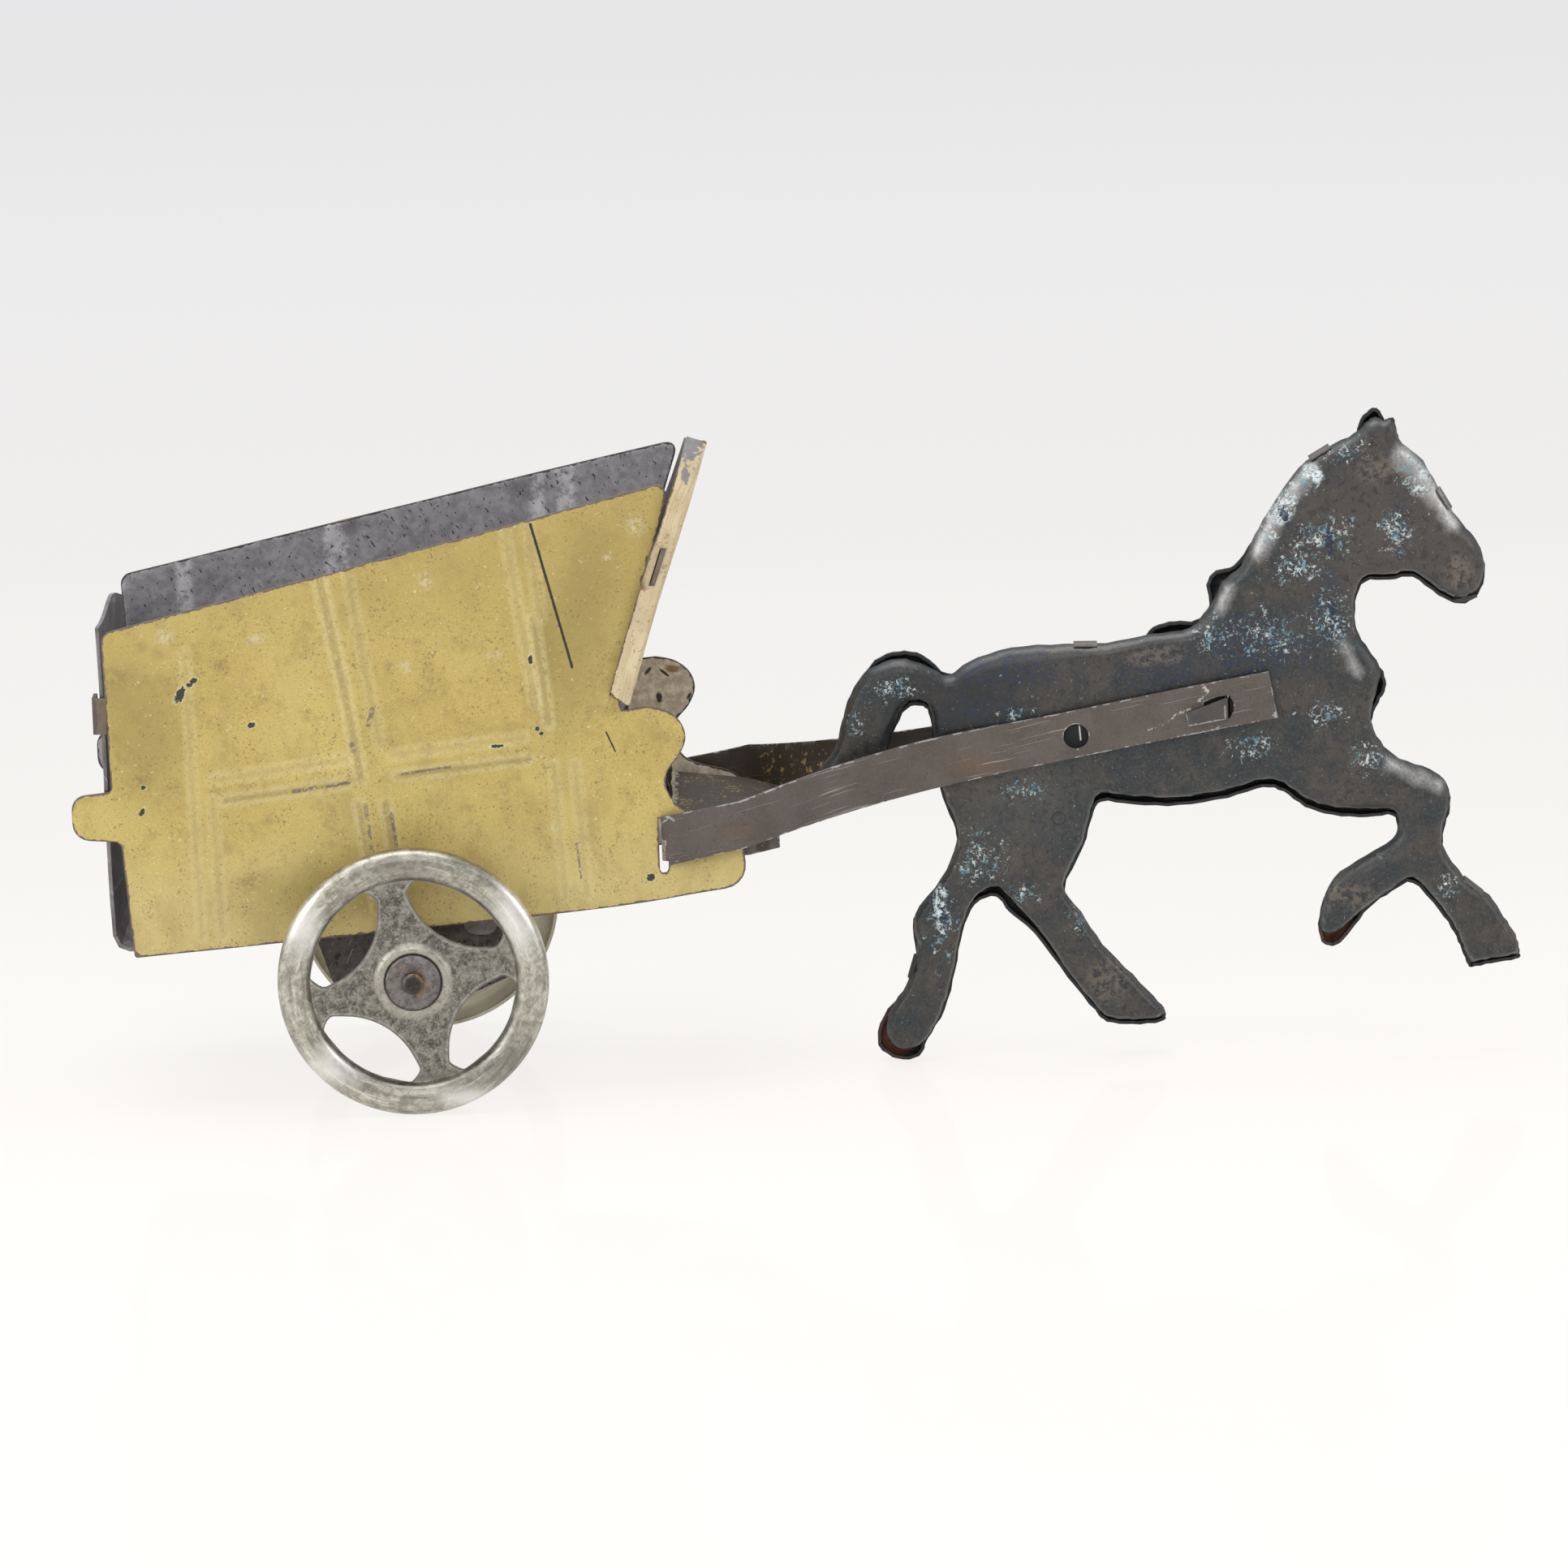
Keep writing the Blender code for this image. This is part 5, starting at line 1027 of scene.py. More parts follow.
# %% Outline, ribs and tabs of a side panel
REAR_TOP, FRONT_TOP = (-27.95, 46.1, 0.9), (25.4, 58.3, 1.6)
BOARD_CORNERS = ((19.9, 39.0, 0.2), (20.2, 36.8, 0.2))
SCROLL = ((22.4, 37.1), (24.2, 36.7), (25.6, 35.6), (26.1, 34.0), (25.5, 32.4), (24.4, 31.0), (24.1, 29.6),
          (24.7, 28.1), (25.8, 27.0), (27.4, 26.4), (29.2, 26.0))
TONGUE_CORNERS = ((31.0, 25.2, 0.6), (31.6, 19.7, 2.2), (21.0, 18.3, 3.0))
REAR_CORNERS = ((-26.1, 15.2, 0.3), (-26.9, 26.3, 0.6), (-31.35, 26.7, 1.5), (-31.35, 30.75, 1.2),
                (-27.6, 31.1, 0.3))
RIBS = (((-19.2, 46.2), (-18.8, 16.8), 2.6, 0.14), ((-6.2, 51.6), (-2.0, 18.0), 3.0, 0.34),
        ((11.0, 54.6), (15.0, 19.0), 2.9, 0.34), ((-18.8, 31.0), (13.0, 33.9), 2.7, 0.32))
RIB_RUN_OUT, RIB_SHOULDER = 1.4, 0.65
FAR_PANEL_REACH = 0.7
TAIL_TAB_Z = (36.6, 40.0)
TAIL_FOOT, TAIL_TOP = (-28.15, 17.0), (-28.5, 46.5)
HOOK_SLOT = ((23.3, 26.4), (24.15, 26.4), (24.15, 21.5), (23.95, 21.15), (23.5, 21.15), (23.3, 21.5))
BROKEN_EDGE = 0.06


def rib_rise(x, z):
    """How far the pressed ribs lift the sheet at a point."""
    rise = 0.0
    for p, q, width, height in RIBS:
        p, q = Vector(p), Vector(q)
        along = q - p
        reach = (Vector((x, z)) - p).dot(along.normalized())
        aside = abs((Vector((x, z)) - p).cross(along.normalized()))
        if aside < width / 2 and 0 < reach < along.length:
            ends = min(1.0, reach / RIB_RUN_OUT, (along.length - reach) / RIB_RUN_OUT)
            slope = min(1.0, (width / 2 - aside) / RIB_SHOULDER)
            rise = max(rise, height * ends * slope * slope * (3 - 2 * slope))
    return rise


def hand_dents(x, z):
    """Slight waves of a sheet that has been handled for a century."""
    hollow = math.exp(-((x - 18.5) / 3.5) ** 2 - ((z - 47.0) / 7.5) ** 2)
    rear = math.exp(-((x + 25.0) / 3.0) ** 2 - ((z - 38.0) / 6.0) ** 2)
    wave = 0.05 * math.sin(0.21 * x + 0.9) * math.sin(0.33 * z) + 0.025 * math.sin(0.63 * x - 0.4 * z)
    return wave - 0.22 * hollow - 0.12 * rear


def bend_strip(bm, path, z_low, z_high):
    """Add an upright strip along a path of (x, y) points."""
    low = [bm.verts.new((x, y, z_low)) for x, y in path]
    edges = [bm.edges.new(pair) for pair in zip(low, low[1:])]
    raised = bmesh.ops.extrude_edge_only(bm, edges=edges)["geom"]
    bmesh.ops.translate(bm, vec=(0, 0, z_high - z_low),
                        verts=[g for g in raised if isinstance(g, bmesh.types.BMVert)])
    return [g for g in raised if isinstance(g, bmesh.types.BMFace)]


def tail_x(z):
    """Outer face of the tailboard at height z."""
    (x0, z0), (x1, z1) = TAIL_FOOT, TAIL_TOP
    return x0 + (x1 - x0) * (z - z0) / (z1 - z0)


print(len(RIBS), "ribs")


# %% Lines of the board, which the panel's front tab follows
BOARD_LEAN = 0.33
BOARD_TAB_Z = 50.4
BOARD_SLOT_BEHIND = 1.15
FLANGE_WIDTH = 1.95
TAB_HALF_LENGTH = 1.6
TAB_BEND = 0.3


def board_x(z):
    """Front face of the board at height z."""
    return 20.7 + BOARD_LEAN * (z - 36.7)


def flange_y(z):
    """Outer face of the board's flange at height z."""
    return cart_side(board_x(z) - FLANGE_WIDTH) + GAP + TIN


def front_tab(bm, side):
    """Tab of the panel's front edge, turned outward into the slot of the board's flange."""
    outer = cart_side(23.2) - 0.03
    slot_x = board_x(BOARD_TAB_Z) - BOARD_SLOT_BEHIND + TIN / 2
    path = [(22.9, side * outer), (slot_x - TAB_BEND, side * outer), (slot_x, side * (outer + TAB_BEND)),
            (slot_x, side * (flange_y(BOARD_TAB_Z) + 0.12))]
    strip = bend_strip(bm, path, BOARD_TAB_Z - TAB_HALF_LENGTH, BOARD_TAB_Z + TAB_HALF_LENGTH)
    for v in {v for f in strip for v in f.verts}:
        v.co.x += BOARD_LEAN * (v.co.z - BOARD_TAB_Z)
    return strip


print("board's face at the tab", round(board_x(BOARD_TAB_Z), 2))

# %% Cut, rib and bend a side panel
def side_panel(side, label):
    """One ribbed side of the cart. The far one reaches a little further, as its edge shows behind."""
    reach = FAR_PANEL_REACH if side == FAR else 0.0
    top = [(REAR_TOP[0] - reach * 0.6, *REAR_TOP[1:]), (FRONT_TOP[0] + reach, *FRONT_TOP[1:]),
           *BOARD_CORNERS]
    low = [*TONGUE_CORNERS, *REAR_CORNERS]
    scroll_top, scroll_foot = SCROLL[0][1], SCROLL[-1][1]
    scroll = [(p.x + reach * min(1.0, 2 * (p.y - scroll_foot) / (scroll_top - scroll_foot)), p.y)
              for p in smooth_run(SCROLL, 4, closed=False)]
    bm = draw_face([c[:2] for c in top] + scroll + [c[:2] for c in low])
    round_corners(bm, top + low)
    cut_grid(bm, 0.6)
    punch(bm, list(HOOK_SLOT))
    for v in bm.verts:
        x, z = v.co.x, v.co.z
        v.co.y = side * (cart_side(x) + rib_rise(x, z) + hand_dents(x, z))
    face_side(bm, (0, side, 0))
    tab_z = sum(TAIL_TAB_Z) / 2
    x_out = tail_x(tab_z) - GAP - TIN
    outer = side * (cart_side(x_out) + hand_dents(x_out, tab_z))
    inner = outer - side * (TIN + 2.6)
    turn = 0.35
    path = [(-27.75, outer - side * 0.03), (x_out + turn, outer - side * 0.03),
            (x_out + 0.1, outer - side * 0.1), (x_out, outer - side * turn), (x_out, inner)]
    tab = bend_strip(bm, path, *TAIL_TAB_Z)
    front = front_tab(bm, side)
    bm.normal_update()
    for strip in (tab, front):
        if strip[0].normal.y * side < 0:
            bmesh.ops.reverse_faces(bm, faces=strip)
    finish_piece(bm, "panel_" + label, "cart", ["side_panel_" + label], "yellow_paint", wall=TIN,
                 soften=BROKEN_EDGE)


side_panel(NEAR, "near")
side_panel(FAR, "far")

# %% [markdown]
# ## Floor and tailboard
# One strip of bare tin makes the floor and turns up as the tailboard. Its path is drawn in the
# side view and drawn out sideways; then the strip is cut crosswise, so its sides can follow the
# panels and its top edge can wave as the worn one does.

# %% Floor, bend and tailboard
PANEL_FOOT = ((-26.1, 15.2), (21.0, 18.3))
FLOOR_LIFT = 0.45
FLOOR_FRONT_X, BEND_X = 14.19, -26.2
TONGUE_X, TONGUE_Y = 6.3, 13.3


def floor_line(x):
    """Height of the cart floor's lower face, a little above the panels' lower edge."""
    (x0, z0), (x1, z1) = PANEL_FOOT
    return z0 + (z1 - z0) * (x - x0) / (x1 - x0) + FLOOR_LIFT


def floor_and_tailboard():
    """Floor and tailboard in one strip, with two small tongues beside the saddle."""
    bm = bmesh.new()
    foot = floor_line(BEND_X)
    path = [(FLOOR_FRONT_X, floor_line(FLOOR_FRONT_X)), (-25.2, floor_line(-25.2)), (-26.6, foot + 0.08),
            (-27.6, foot + 0.5), (-28.1, foot + 1.6), (TAIL_FOOT[0], foot + 2.6), TAIL_TOP]
    verts = [bm.verts.new((x, -1.0, z)) for x, z in path]
    edges = [bm.edges.new(pair) for pair in zip(verts, verts[1:])]
    drawn = bmesh.ops.extrude_edge_only(bm, edges=edges)["geom"]
    bmesh.ops.translate(bm, vec=(0, 2.0, 0), verts=[g for g in drawn if isinstance(g, bmesh.types.BMVert)])
    cut_grid(bm, 0.06, "y")
    cut_grid(bm, 1.6, "z")
    for v in bm.verts:
        across = v.co.y
        v.co.y = across * (cart_side(max(v.co.x, BEND_X)) - TIN - GAP)
        upper = max(0.0, (v.co.z - 36.0) / 10.5)
        v.co.z += upper * (0.2 * math.sin(5.0 * across + 1.0) - 2.1 * max(0.0, across) ** 2 - 0.1)
        if v.co.z > 20.0:
            v.co.x += 0.10 * math.sin(4.0 * across) * math.sin(0.2 * v.co.z)
            v.co.x += 0.12 * max(0.0, across) ** 4 * min(1.0, (v.co.z - 20.0) / 20.0)
    face_side(bm, (0, 0, -1))
    for side in (NEAR, FAR):
        root = floor_line(TONGUE_X) + 0.1
        ends = ((4.7, root), (4.7, root - 1.3), (5.1, root - 1.85), (5.8, root - 2.1), (6.8, root - 2.1),
                (7.5, root - 1.85), (7.9, root - 1.3), (7.9, root))
        tongue = bm.faces.new([bm.verts.new((x, side * TONGUE_Y, z)) for x, z in ends])
        tongue.normal_update()
        if tongue.normal.y * side < 0:
            tongue.normal_flip()
    finish_piece(bm, "floor_and_tailboard", "cart", ["floor_tray"], "bare_tin", wall=TIN,
                 soften=BROKEN_EDGE)


floor_and_tailboard()

# %% [markdown]
# ## Front board
# The board leans forward. Its flanges fold back over the outside of the panels above the scroll,
# and a slot in each flange takes a tab of the panel. The board is drawn already folded, and the two
# folds are rounded with an edge bevel.

# %% Side view of the slot in a flange
BOARD_FOOT_Z, FLANGE_FOOT_Z = 19.0, 37.3
BOARD_TOPS = ((NEAR, 62.0), (FAR, 57.6))
SLOT_LENGTH, SLOT_WIDTH = 3.5, 0.6


def lean_bar(z, length, behind, thick):
    """Side view of a bar along the board, a distance behind its front face."""
    low, high = z - length / 2, z + length / 2
    return [(board_x(low) - behind - thick / 2, low), (board_x(high) - behind - thick / 2, high),
            (board_x(high) - behind + thick / 2, high), (board_x(low) - behind + thick / 2, low)]


print("slot", lean_bar(BOARD_TAB_Z, SLOT_LENGTH, BOARD_SLOT_BEHIND, SLOT_WIDTH))


# %% Leaning board with its folded flanges
def front_board():
    """The board's blank with its flanges, folded, slotted and a little warped."""
    bm = bmesh.new()
    along = Vector((BOARD_LEAN, 1.0)).normalized()
    rows, folds = [], []
    for side, top in BOARD_TOPS:
        low_y = cart_side(board_x(BOARD_FOOT_Z)) - TIN - GAP
        neck_y = cart_side(board_x(FLANGE_FOOT_Z)) - TIN - GAP
        row = [bm.verts.new((board_x(z), side * y, z)) for y, z in
               ((low_y, BOARD_FOOT_Z), (neck_y, FLANGE_FOOT_Z), (flange_y(FLANGE_FOOT_Z), FLANGE_FOOT_Z),
                (flange_y(top), top))]
        back = [bm.verts.new((board_x(z) - along.y * FLANGE_WIDTH, side * flange_y(z),
                              z + along.x * FLANGE_WIDTH + rise))
                for z, rise in ((FLANGE_FOOT_Z, 0.6), (top, 0.0))]
        bm.faces.new((row[2], row[3], back[1], back[0]))
        folds.append(bm.edges.get((row[2], row[3])))
        rows.append(row)
    near, far = rows
    bm.faces.new((near[0], far[0], far[1], near[1]))
    bm.faces.new(near[1:] + far[:0:-1])
    face_side(bm, (1, 0, 0))
    bmesh.ops.bevel(bm, geom=folds, offset=0.45, affect="EDGES", segments=5, profile=0.5, material=-1)
    cut_grid(bm, 2.0, "zy")
    for side in (NEAR, FAR):
        hole = lean_bar(BOARD_TAB_Z, SLOT_LENGTH, BOARD_SLOT_BEHIND, SLOT_WIDTH)
        for p, q in zip(hole, hole[1:] + hole[:1]):
            flange = [f for f in bm.faces if f.calc_center_median().y * side > flange_y(BOARD_TAB_Z) - 0.2
                      and f.normal.y * side > 0.7]
            slice_sheet(bm, (p[0], 0, p[1]), (q[1] - p[1], 0, p[0] - q[0]), flange)
        gone = []
        for f in bm.faces:
            c = f.calc_center_median()
            local = c.x - (board_x(c.z) - BOARD_SLOT_BEHIND)
            in_slot = abs(local) < SLOT_WIDTH / 2 and abs(c.z - BOARD_TAB_Z) < SLOT_LENGTH / 2
            if c.y * side > flange_y(BOARD_TAB_Z) - 0.3 and in_slot:
                gone.append(f)
        bmesh.ops.delete(bm, geom=gone, context="FACES")
    for v in bm.verts:
        rise = max(0.0, min(1.0, (v.co.z - 36.0) / 20.0))
        v.co.x += 0.08 * math.sin(0.3 * v.co.z + 0.2 * v.co.y) + 0.7 * rise * (v.co.y + 13.0) / 26.0
        if v.co.z > 56:
            v.co.z += 0.12 * math.sin(1.1 * v.co.y)
    finish_piece(bm, "front_board_painted", "cart", ["front_board"], "cream_paint", wall=TIN, soften=0.07)


front_board()

# %% [markdown]
# ## Shafts, bridge and strap
# Each shaft is a flat strip that hooks into the panel's slot and closes in on the horse. Its long
# edges follow a smooth line through a few landmarks. The hole and the strap's slot are punched
# while the strip is flat; then it is bent sideways by moving its vertices.

# %% Lines of the shaft
HORSE_Y = -2.4
HORSE_DEPTH = 1.7
SHAFT_TOP = ((23.5, 26.6), (30.3, 27.75), (39.4, 29.75), (49.6, 31.75), (60.9, 33.55), (73.0, 35.7),
             (81.25, 37.05))
SHAFT_BOTTOM = ((24.3, 22.0), (32.0, 23.55), (40.8, 25.3), (55.0, 27.95), (67.1, 30.1), (82.0, 32.6))
SHAFT_CLOSES_X = (31.8, 58.0)
HOOK_X = 23.55
HOLE_R = 1.2
STRAP_X, STRAP_Z = 77.0, 33.7


def shaft_y(x, side):
    """Inner face of a shaft at x: beside the tongue, then closing in on the horse's flank."""
    start = side * (cart_side(HOOK_X) + GAP)
    end = HORSE_Y + side * (GAP / 2 + HORSE_DEPTH + GAP)
    begins, closed = SHAFT_CLOSES_X
    left = min(max((closed - x) / (closed - begins), 0.0), 1.0)
    return end + (start - end) * left ** 2.4


print("shafts close in to", round(shaft_y(STRAP_X, NEAR), 2), round(shaft_y(STRAP_X, FAR), 2))


# %% Cut, punch and bend a shaft
def shaft(side, label):
    """A shaft with its hook, its hole and the strap's slot."""
    outline = smooth_run(SHAFT_TOP, 5, closed=False) + smooth_run(SHAFT_BOTTOM[::-1], 5, closed=False)
    bm = draw_face(outline)
    cut_grid(bm, 0.8, "x")
    cut_grid(bm, 1.0, "z")
    hole = [(HOLE_X + HOLE_R * math.cos(math.tau * i / 20), HOLE_Z + HOLE_R * math.sin(math.tau * i / 20))
            for i in range(20)]
    punch(bm, hole)
    slot = [(STRAP_X - 2.0, STRAP_Z - 0.9), (STRAP_X - 2.0, STRAP_Z + 0.6), (STRAP_X - 0.6, STRAP_Z + 1.12),
            (STRAP_X + 0.45, STRAP_Z + 1.2), (STRAP_X + 0.85, STRAP_Z + 0.5),
            (STRAP_X + 0.85, STRAP_Z - 0.3),
            (STRAP_X + 0.45, STRAP_Z - 1.0), (STRAP_X - 0.4, STRAP_Z - 1.12)]
    punch(bm, slot)
    for v in bm.verts:
        v.co.y = shaft_y(v.co.x, side) + side * (TIN + 0.03 * math.sin(0.35 * v.co.x))
    face_side(bm, (0, side, 0))
    y_out = shaft_y(HOOK_X, side) + side * TIN
    path = [(25.0, y_out - side * 0.02), (23.9, y_out - side * 0.04), (HOOK_X + 0.07, y_out - side * 0.3),
            (HOOK_X, y_out - side * 0.7), (HOOK_X, side * (cart_side(HOOK_X) - TIN - 1.6))]
    hook = bend_strip(bm, path, 22.4, 26.3)
    bm.normal_update()
    if hook[0].normal.y * side < 0:
        bmesh.ops.reverse_faces(bm, faces=hook)
    finish_piece(bm, "shaft_strip_" + label, "cart", ["shaft_" + label], "brown_japan", wall=TIN,
                 soften=BROKEN_EDGE)


shaft(NEAR, "near")
shaft(FAR, "far")


# %% Bridge between the tongues
def bridge():
    """Inverted channel that narrows from the panels to the shafts."""
    bm = bmesh.new()
    sections = []
    for x, outer, top, low in ((24.7, cart_side(24.7) - TIN - GAP, 26.0, 22.1),
                               (31.8, cart_side(31.8) - TIN - GAP, 25.15, 22.45),
                               (34.6, shaft_y(34.6, FAR) - GAP, 24.8, 22.6)):
        sections.append([bm.verts.new((x, y, z)) for y, z in
                         ((-outer, low), (-outer, top), (outer, top), (outer, low))])
    folds = []
    for rear, front in zip(sections, sections[1:]):
        for i in range(3):
            bm.faces.new((rear[i], rear[i + 1], front[i + 1], front[i]))
        folds += [bm.edges.get((rear[i], front[i])) for i in (1, 2)]
    face_side(bm, (0, 0, 1))
    bmesh.ops.bevel(bm, geom=folds, offset=0.5, affect="EDGES", segments=4, profile=0.5, material=-1)
    cut_grid(bm, 1.0, "xyz")
    finish_piece(bm, "bridge", "cart", ["shaft_bridge"], "brown_japan", wall=TIN, soften=BROKEN_EDGE)


bridge()


# %% Strap through the shafts and the horse
FOLDED_BACK = 3.6
STRAP_HALF = 1.0


def strap():
    """Strap with both ends folded back along the shafts, narrower and lower at their tips."""
    bm = bmesh.new()
    near_y, far_y = (shaft_y(STRAP_X, side) + side * (TIN + GAP + TIN) for side in (NEAR, FAR))
    path = [(STRAP_X - FOLDED_BACK, near_y + 0.05), (STRAP_X - FOLDED_BACK / 2, near_y), (STRAP_X, near_y),
            (STRAP_X + 0.25, near_y + 0.1), (STRAP_X + TIN, near_y + 0.4), (STRAP_X + TIN, far_y - 0.4),
            (STRAP_X + 0.25, far_y - 0.1), (STRAP_X, far_y), (STRAP_X - FOLDED_BACK / 2, far_y),
            (STRAP_X - FOLDED_BACK, far_y - 0.05)]
    bend_strip(bm, path, STRAP_Z - STRAP_HALF, STRAP_Z + STRAP_HALF)
    taper, droop, slant = 0.38, 0.95, 0.2
    for v in bm.verts:
        back = max(0.0, (STRAP_X - v.co.x) / FOLDED_BACK)
        v.co.z = STRAP_Z + (v.co.z - STRAP_Z) * (1 - taper * back) - droop * back
        v.co.x -= slant * (v.co.z - STRAP_Z + droop * back) * back
    face_side(bm, (1, 0, 0))
    finish_piece(bm, "strap", "cart", ["shaft_strap"], "bare_tin", wall=TIN, soften=0.07)


strap()

# %% [markdown]
# ## The horse
# Two thin shells are pressed over a shaped punch, so the flank is nearly flat and its edge rolls
# over to the seam. The outline comes from landmarks. After the grid is cut, each vertex is lifted
# by its distance from the outline: a quarter-round near the edge, then a flat flank with soft
# ridges for neck, jaw, shoulder and thigh. The far shell is a little larger and sits lower, so its
# dark edge shows along the back and under the belly.

# %% Landmarks of the outline
TAIL = ((39.6, 26.2), (38.1, 26.7), (38.0, 27.8), (40.1, 30.6), (40.8, 33.0), (41.7, 35.7), (43.5, 38.0),
        (46.4, 39.0), (49.0, 38.2), (51.0, 37.2))
BACK = ((53.0, 38.5), (57.0, 39.7), (62.0, 39.9), (66.0, 39.9), (70.3, 40.6), (74.0, 41.1), (76.0, 43.2),
        (77.1, 45.4), (78.9, 46.9))
CREST = ((80.3, 49.8), (82.0, 52.6), (84.6, 56.1), (87.2, 57.9), (89.9, 59.2), (91.2, 60.4), (92.0, 60.7),
         (92.5, 60.35), (93.0, 60.5), (93.6, 60.55), (93.85, 59.5), (94.3, 58.2))
FAR_CREST = CREST[:5] + ((90.6, 60.9), (91.7, 61.9), (92.3, 61.6), (92.8, 60.6), (93.4, 60.7), (93.8, 59.6),
                         (94.3, 58.5))
FACE = ((96.3, 56.4), (98.2, 52.8), (99.9, 50.3), (101.3, 48.5), (101.9, 46.2), (101.2, 44.0), (99.6, 43.2),
        (97.6, 44.1), (95.2, 45.9))
THROAT = ((93.0, 45.7), (90.6, 45.6), (89.6, 43.6), (89.7, 40.6), (90.9, 38.4), (91.9, 36.6), (91.4, 34.2),
          (90.9, 31.9), (91.8, 29.6), (93.6, 27.9), (96.4, 26.8), (98.0, 25.4), (98.2, 23.4), (97.6, 21.4))
FORE_LEG = ((97.6, 19.2), (99.4, 16.4), (100.6, 15.2), (101.9, 14.4), (103.2, 12.3), (104.3, 10.5),
            (104.6, 9.1), (104.4, 8.7), (102.0, 8.35), (100.2, 8.05), (99.85, 8.25), (99.3, 9.7),
            (98.6, 11.4),
            (97.2, 13.6), (94.7, 16.4))
FOLDED_LEG = ((92.6, 15.4), (89.6, 13.3), (87.4, 11.5), (85.9, 11.5), (85.9, 13.4), (87.1, 16.5),
              (90.2, 18.6), (92.6, 20.0), (93.4, 21.4), (92.9, 23.0))
BELLY = ((90.4, 23.2), (87.2, 23.5), (84.6, 24.4), (82.6, 25.9), (80.6, 26.4), (77.2, 25.5), (72.6, 24.9),
         (68.4, 25.1), (65.2, 25.5), (64.2, 24.0), (63.3, 20.8), (61.4, 16.7))
RIGHT_HIND = ((63.0, 14.0), (65.0, 10.8), (67.8, 7.7), (70.2, 5.0), (70.75, 4.2), (70.3, 3.6), (67.7, 3.45),
              (65.3, 3.8), (64.2, 4.9), (61.7, 8.2), (59.3, 12.0), (56.3, 15.6), (54.9, 16.8), (52.9, 15.7))
LEFT_HIND = ((51.6, 12.9), (50.8, 9.2), (49.7, 5.4), (48.2, 2.5), (47.0, 1.45), (45.3, 1.3), (44.2, 2.8),
             (44.6, 5.0), (46.3, 7.6), (47.3, 10.9), (47.2, 14.2), (49.8, 17.6), (51.3, 20.8), (51.4, 22.9),
             (50.3, 25.9), (49.6, 30.0), (49.3, 33.7), (48.6, 34.9), (46.9, 34.7), (45.5, 32.2),
             (44.3, 28.6), (42.2, 26.6))
NEAR_RUNS = TAIL + BACK + CREST + FACE + THROAT + FORE_LEG + FOLDED_LEG + BELLY + RIGHT_HIND + LEFT_HIND
FAR_TAIL = TAIL[:5] + ((41.9, 36.2), (44.2, 39.2), (46.4, 40.0), (48.6, 39.6), (50.9, 37.7))
FAR_BACK = BACK[:4] + ((69.2, 40.3), (70.6, 41.6), (72.6, 42.1), (74.6, 42.1), (76.0, 43.6), (75.8, 45.6),
                       (76.6, 46.8), (78.4, 47.3))
FAR_FOLDED = (((92.6, 15.6), (90.4, 14.1), (88.6, 11.9), (87.3, 10.6), (86.0, 10.9), (85.8, 13.2))
              + FOLDED_LEG[5:])
FAR_RIGHT = RIGHT_HIND[:10] + ((58.6, 12.6), (56.3, 14.7), (55.0, 16.3), (52.9, 15.6))
FAR_LEFT = ((51.6, 12.9), (50.8, 9.2), (49.7, 5.4), (48.0, 2.6), (47.2, 1.0), (45.3, 0.76), (43.5, 2.1),
            (44.0, 4.7)) + LEFT_HIND[8:]
FAR_THROAT = THROAT[:5] + ((92.1, 36.7), (92.3, 35.2), (91.6, 33.9)) + THROAT[7:]
FAR_BELLY = tuple((x, z - 0.3) for x, z in BELLY[:10]) + BELLY[10:]
FAR_RUNS = (FAR_TAIL + FAR_BACK + FAR_CREST + FACE + FAR_THROAT + FORE_LEG + FAR_FOLDED + FAR_BELLY
            + FAR_RIGHT + FAR_LEFT)
print(len(NEAR_RUNS), "landmarks on the near shell,", len(FAR_RUNS), "on the far shell")

# %% Distance from the outline, and the soft ridges of the flank
# Each ridge: from, to, half width, height. A negative height is a groove.
RIDGES = (((84.0, 51.5), (88.6, 56.6), 2.2, 0.30), ((96.0, 55.4), (99.6, 49.4), 1.6, 0.35),
          ((95.4, 48.6), (96.2, 50.6), 2.6, 0.30), ((90.2, 41.0), (92.3, 37.0), 1.1, 0.40),
          ((78.4, 44.0), (81.0, 48.5), 1.8, 0.25), ((93.0, 28.4), (97.2, 25.2), 1.5, 0.45),
          ((84.0, 30.0), (86.5, 42.0), 3.0, 0.22), ((56.0, 30.0), (60.5, 20.0), 3.4, 0.25),
          ((91.0, 46.8), (93.0, 53.5), 1.2, -0.22), ((88.0, 40.0), (89.6, 45.5), 1.1, -0.20),
          ((62.5, 13.0), (68.8, 5.2), 0.8, 0.20), ((48.6, 12.0), (48.2, 4.5), 0.9, 0.18),
          ((90.0, 17.0), (94.5, 19.6), 0.9, 0.22), ((96.0, 17.0), (102.0, 10.4), 0.8, 0.20),
          ((45.0, 35.6), (48.4, 36.6), 0.8, 0.15), ((42.0, 30.5), (43.6, 34.8), 0.8, 0.20))
# How wide the edge rolls over: (x, z, reach of the place, width there)
ROLLS = ((83.5, 53.0, 5.0, 3.4), (97.5, 53.5, 4.5, 3.6), (91.0, 39.0, 3.5, 3.0), (76.5, 43.5, 3.0, 2.6),
         (95.0, 26.0, 4.0, 2.8), (44.0, 37.0, 3.5, 1.8), (58.0, 38.0, 6.0, 2.0), (93.0, 18.0, 4.0, 1.9))
EDGE_ROLL = 0.6
SKIRT = 0.45
DOME = 0.12
LOWEST_RELIEF, HIGHEST_RELIEF = -0.35, 0.45


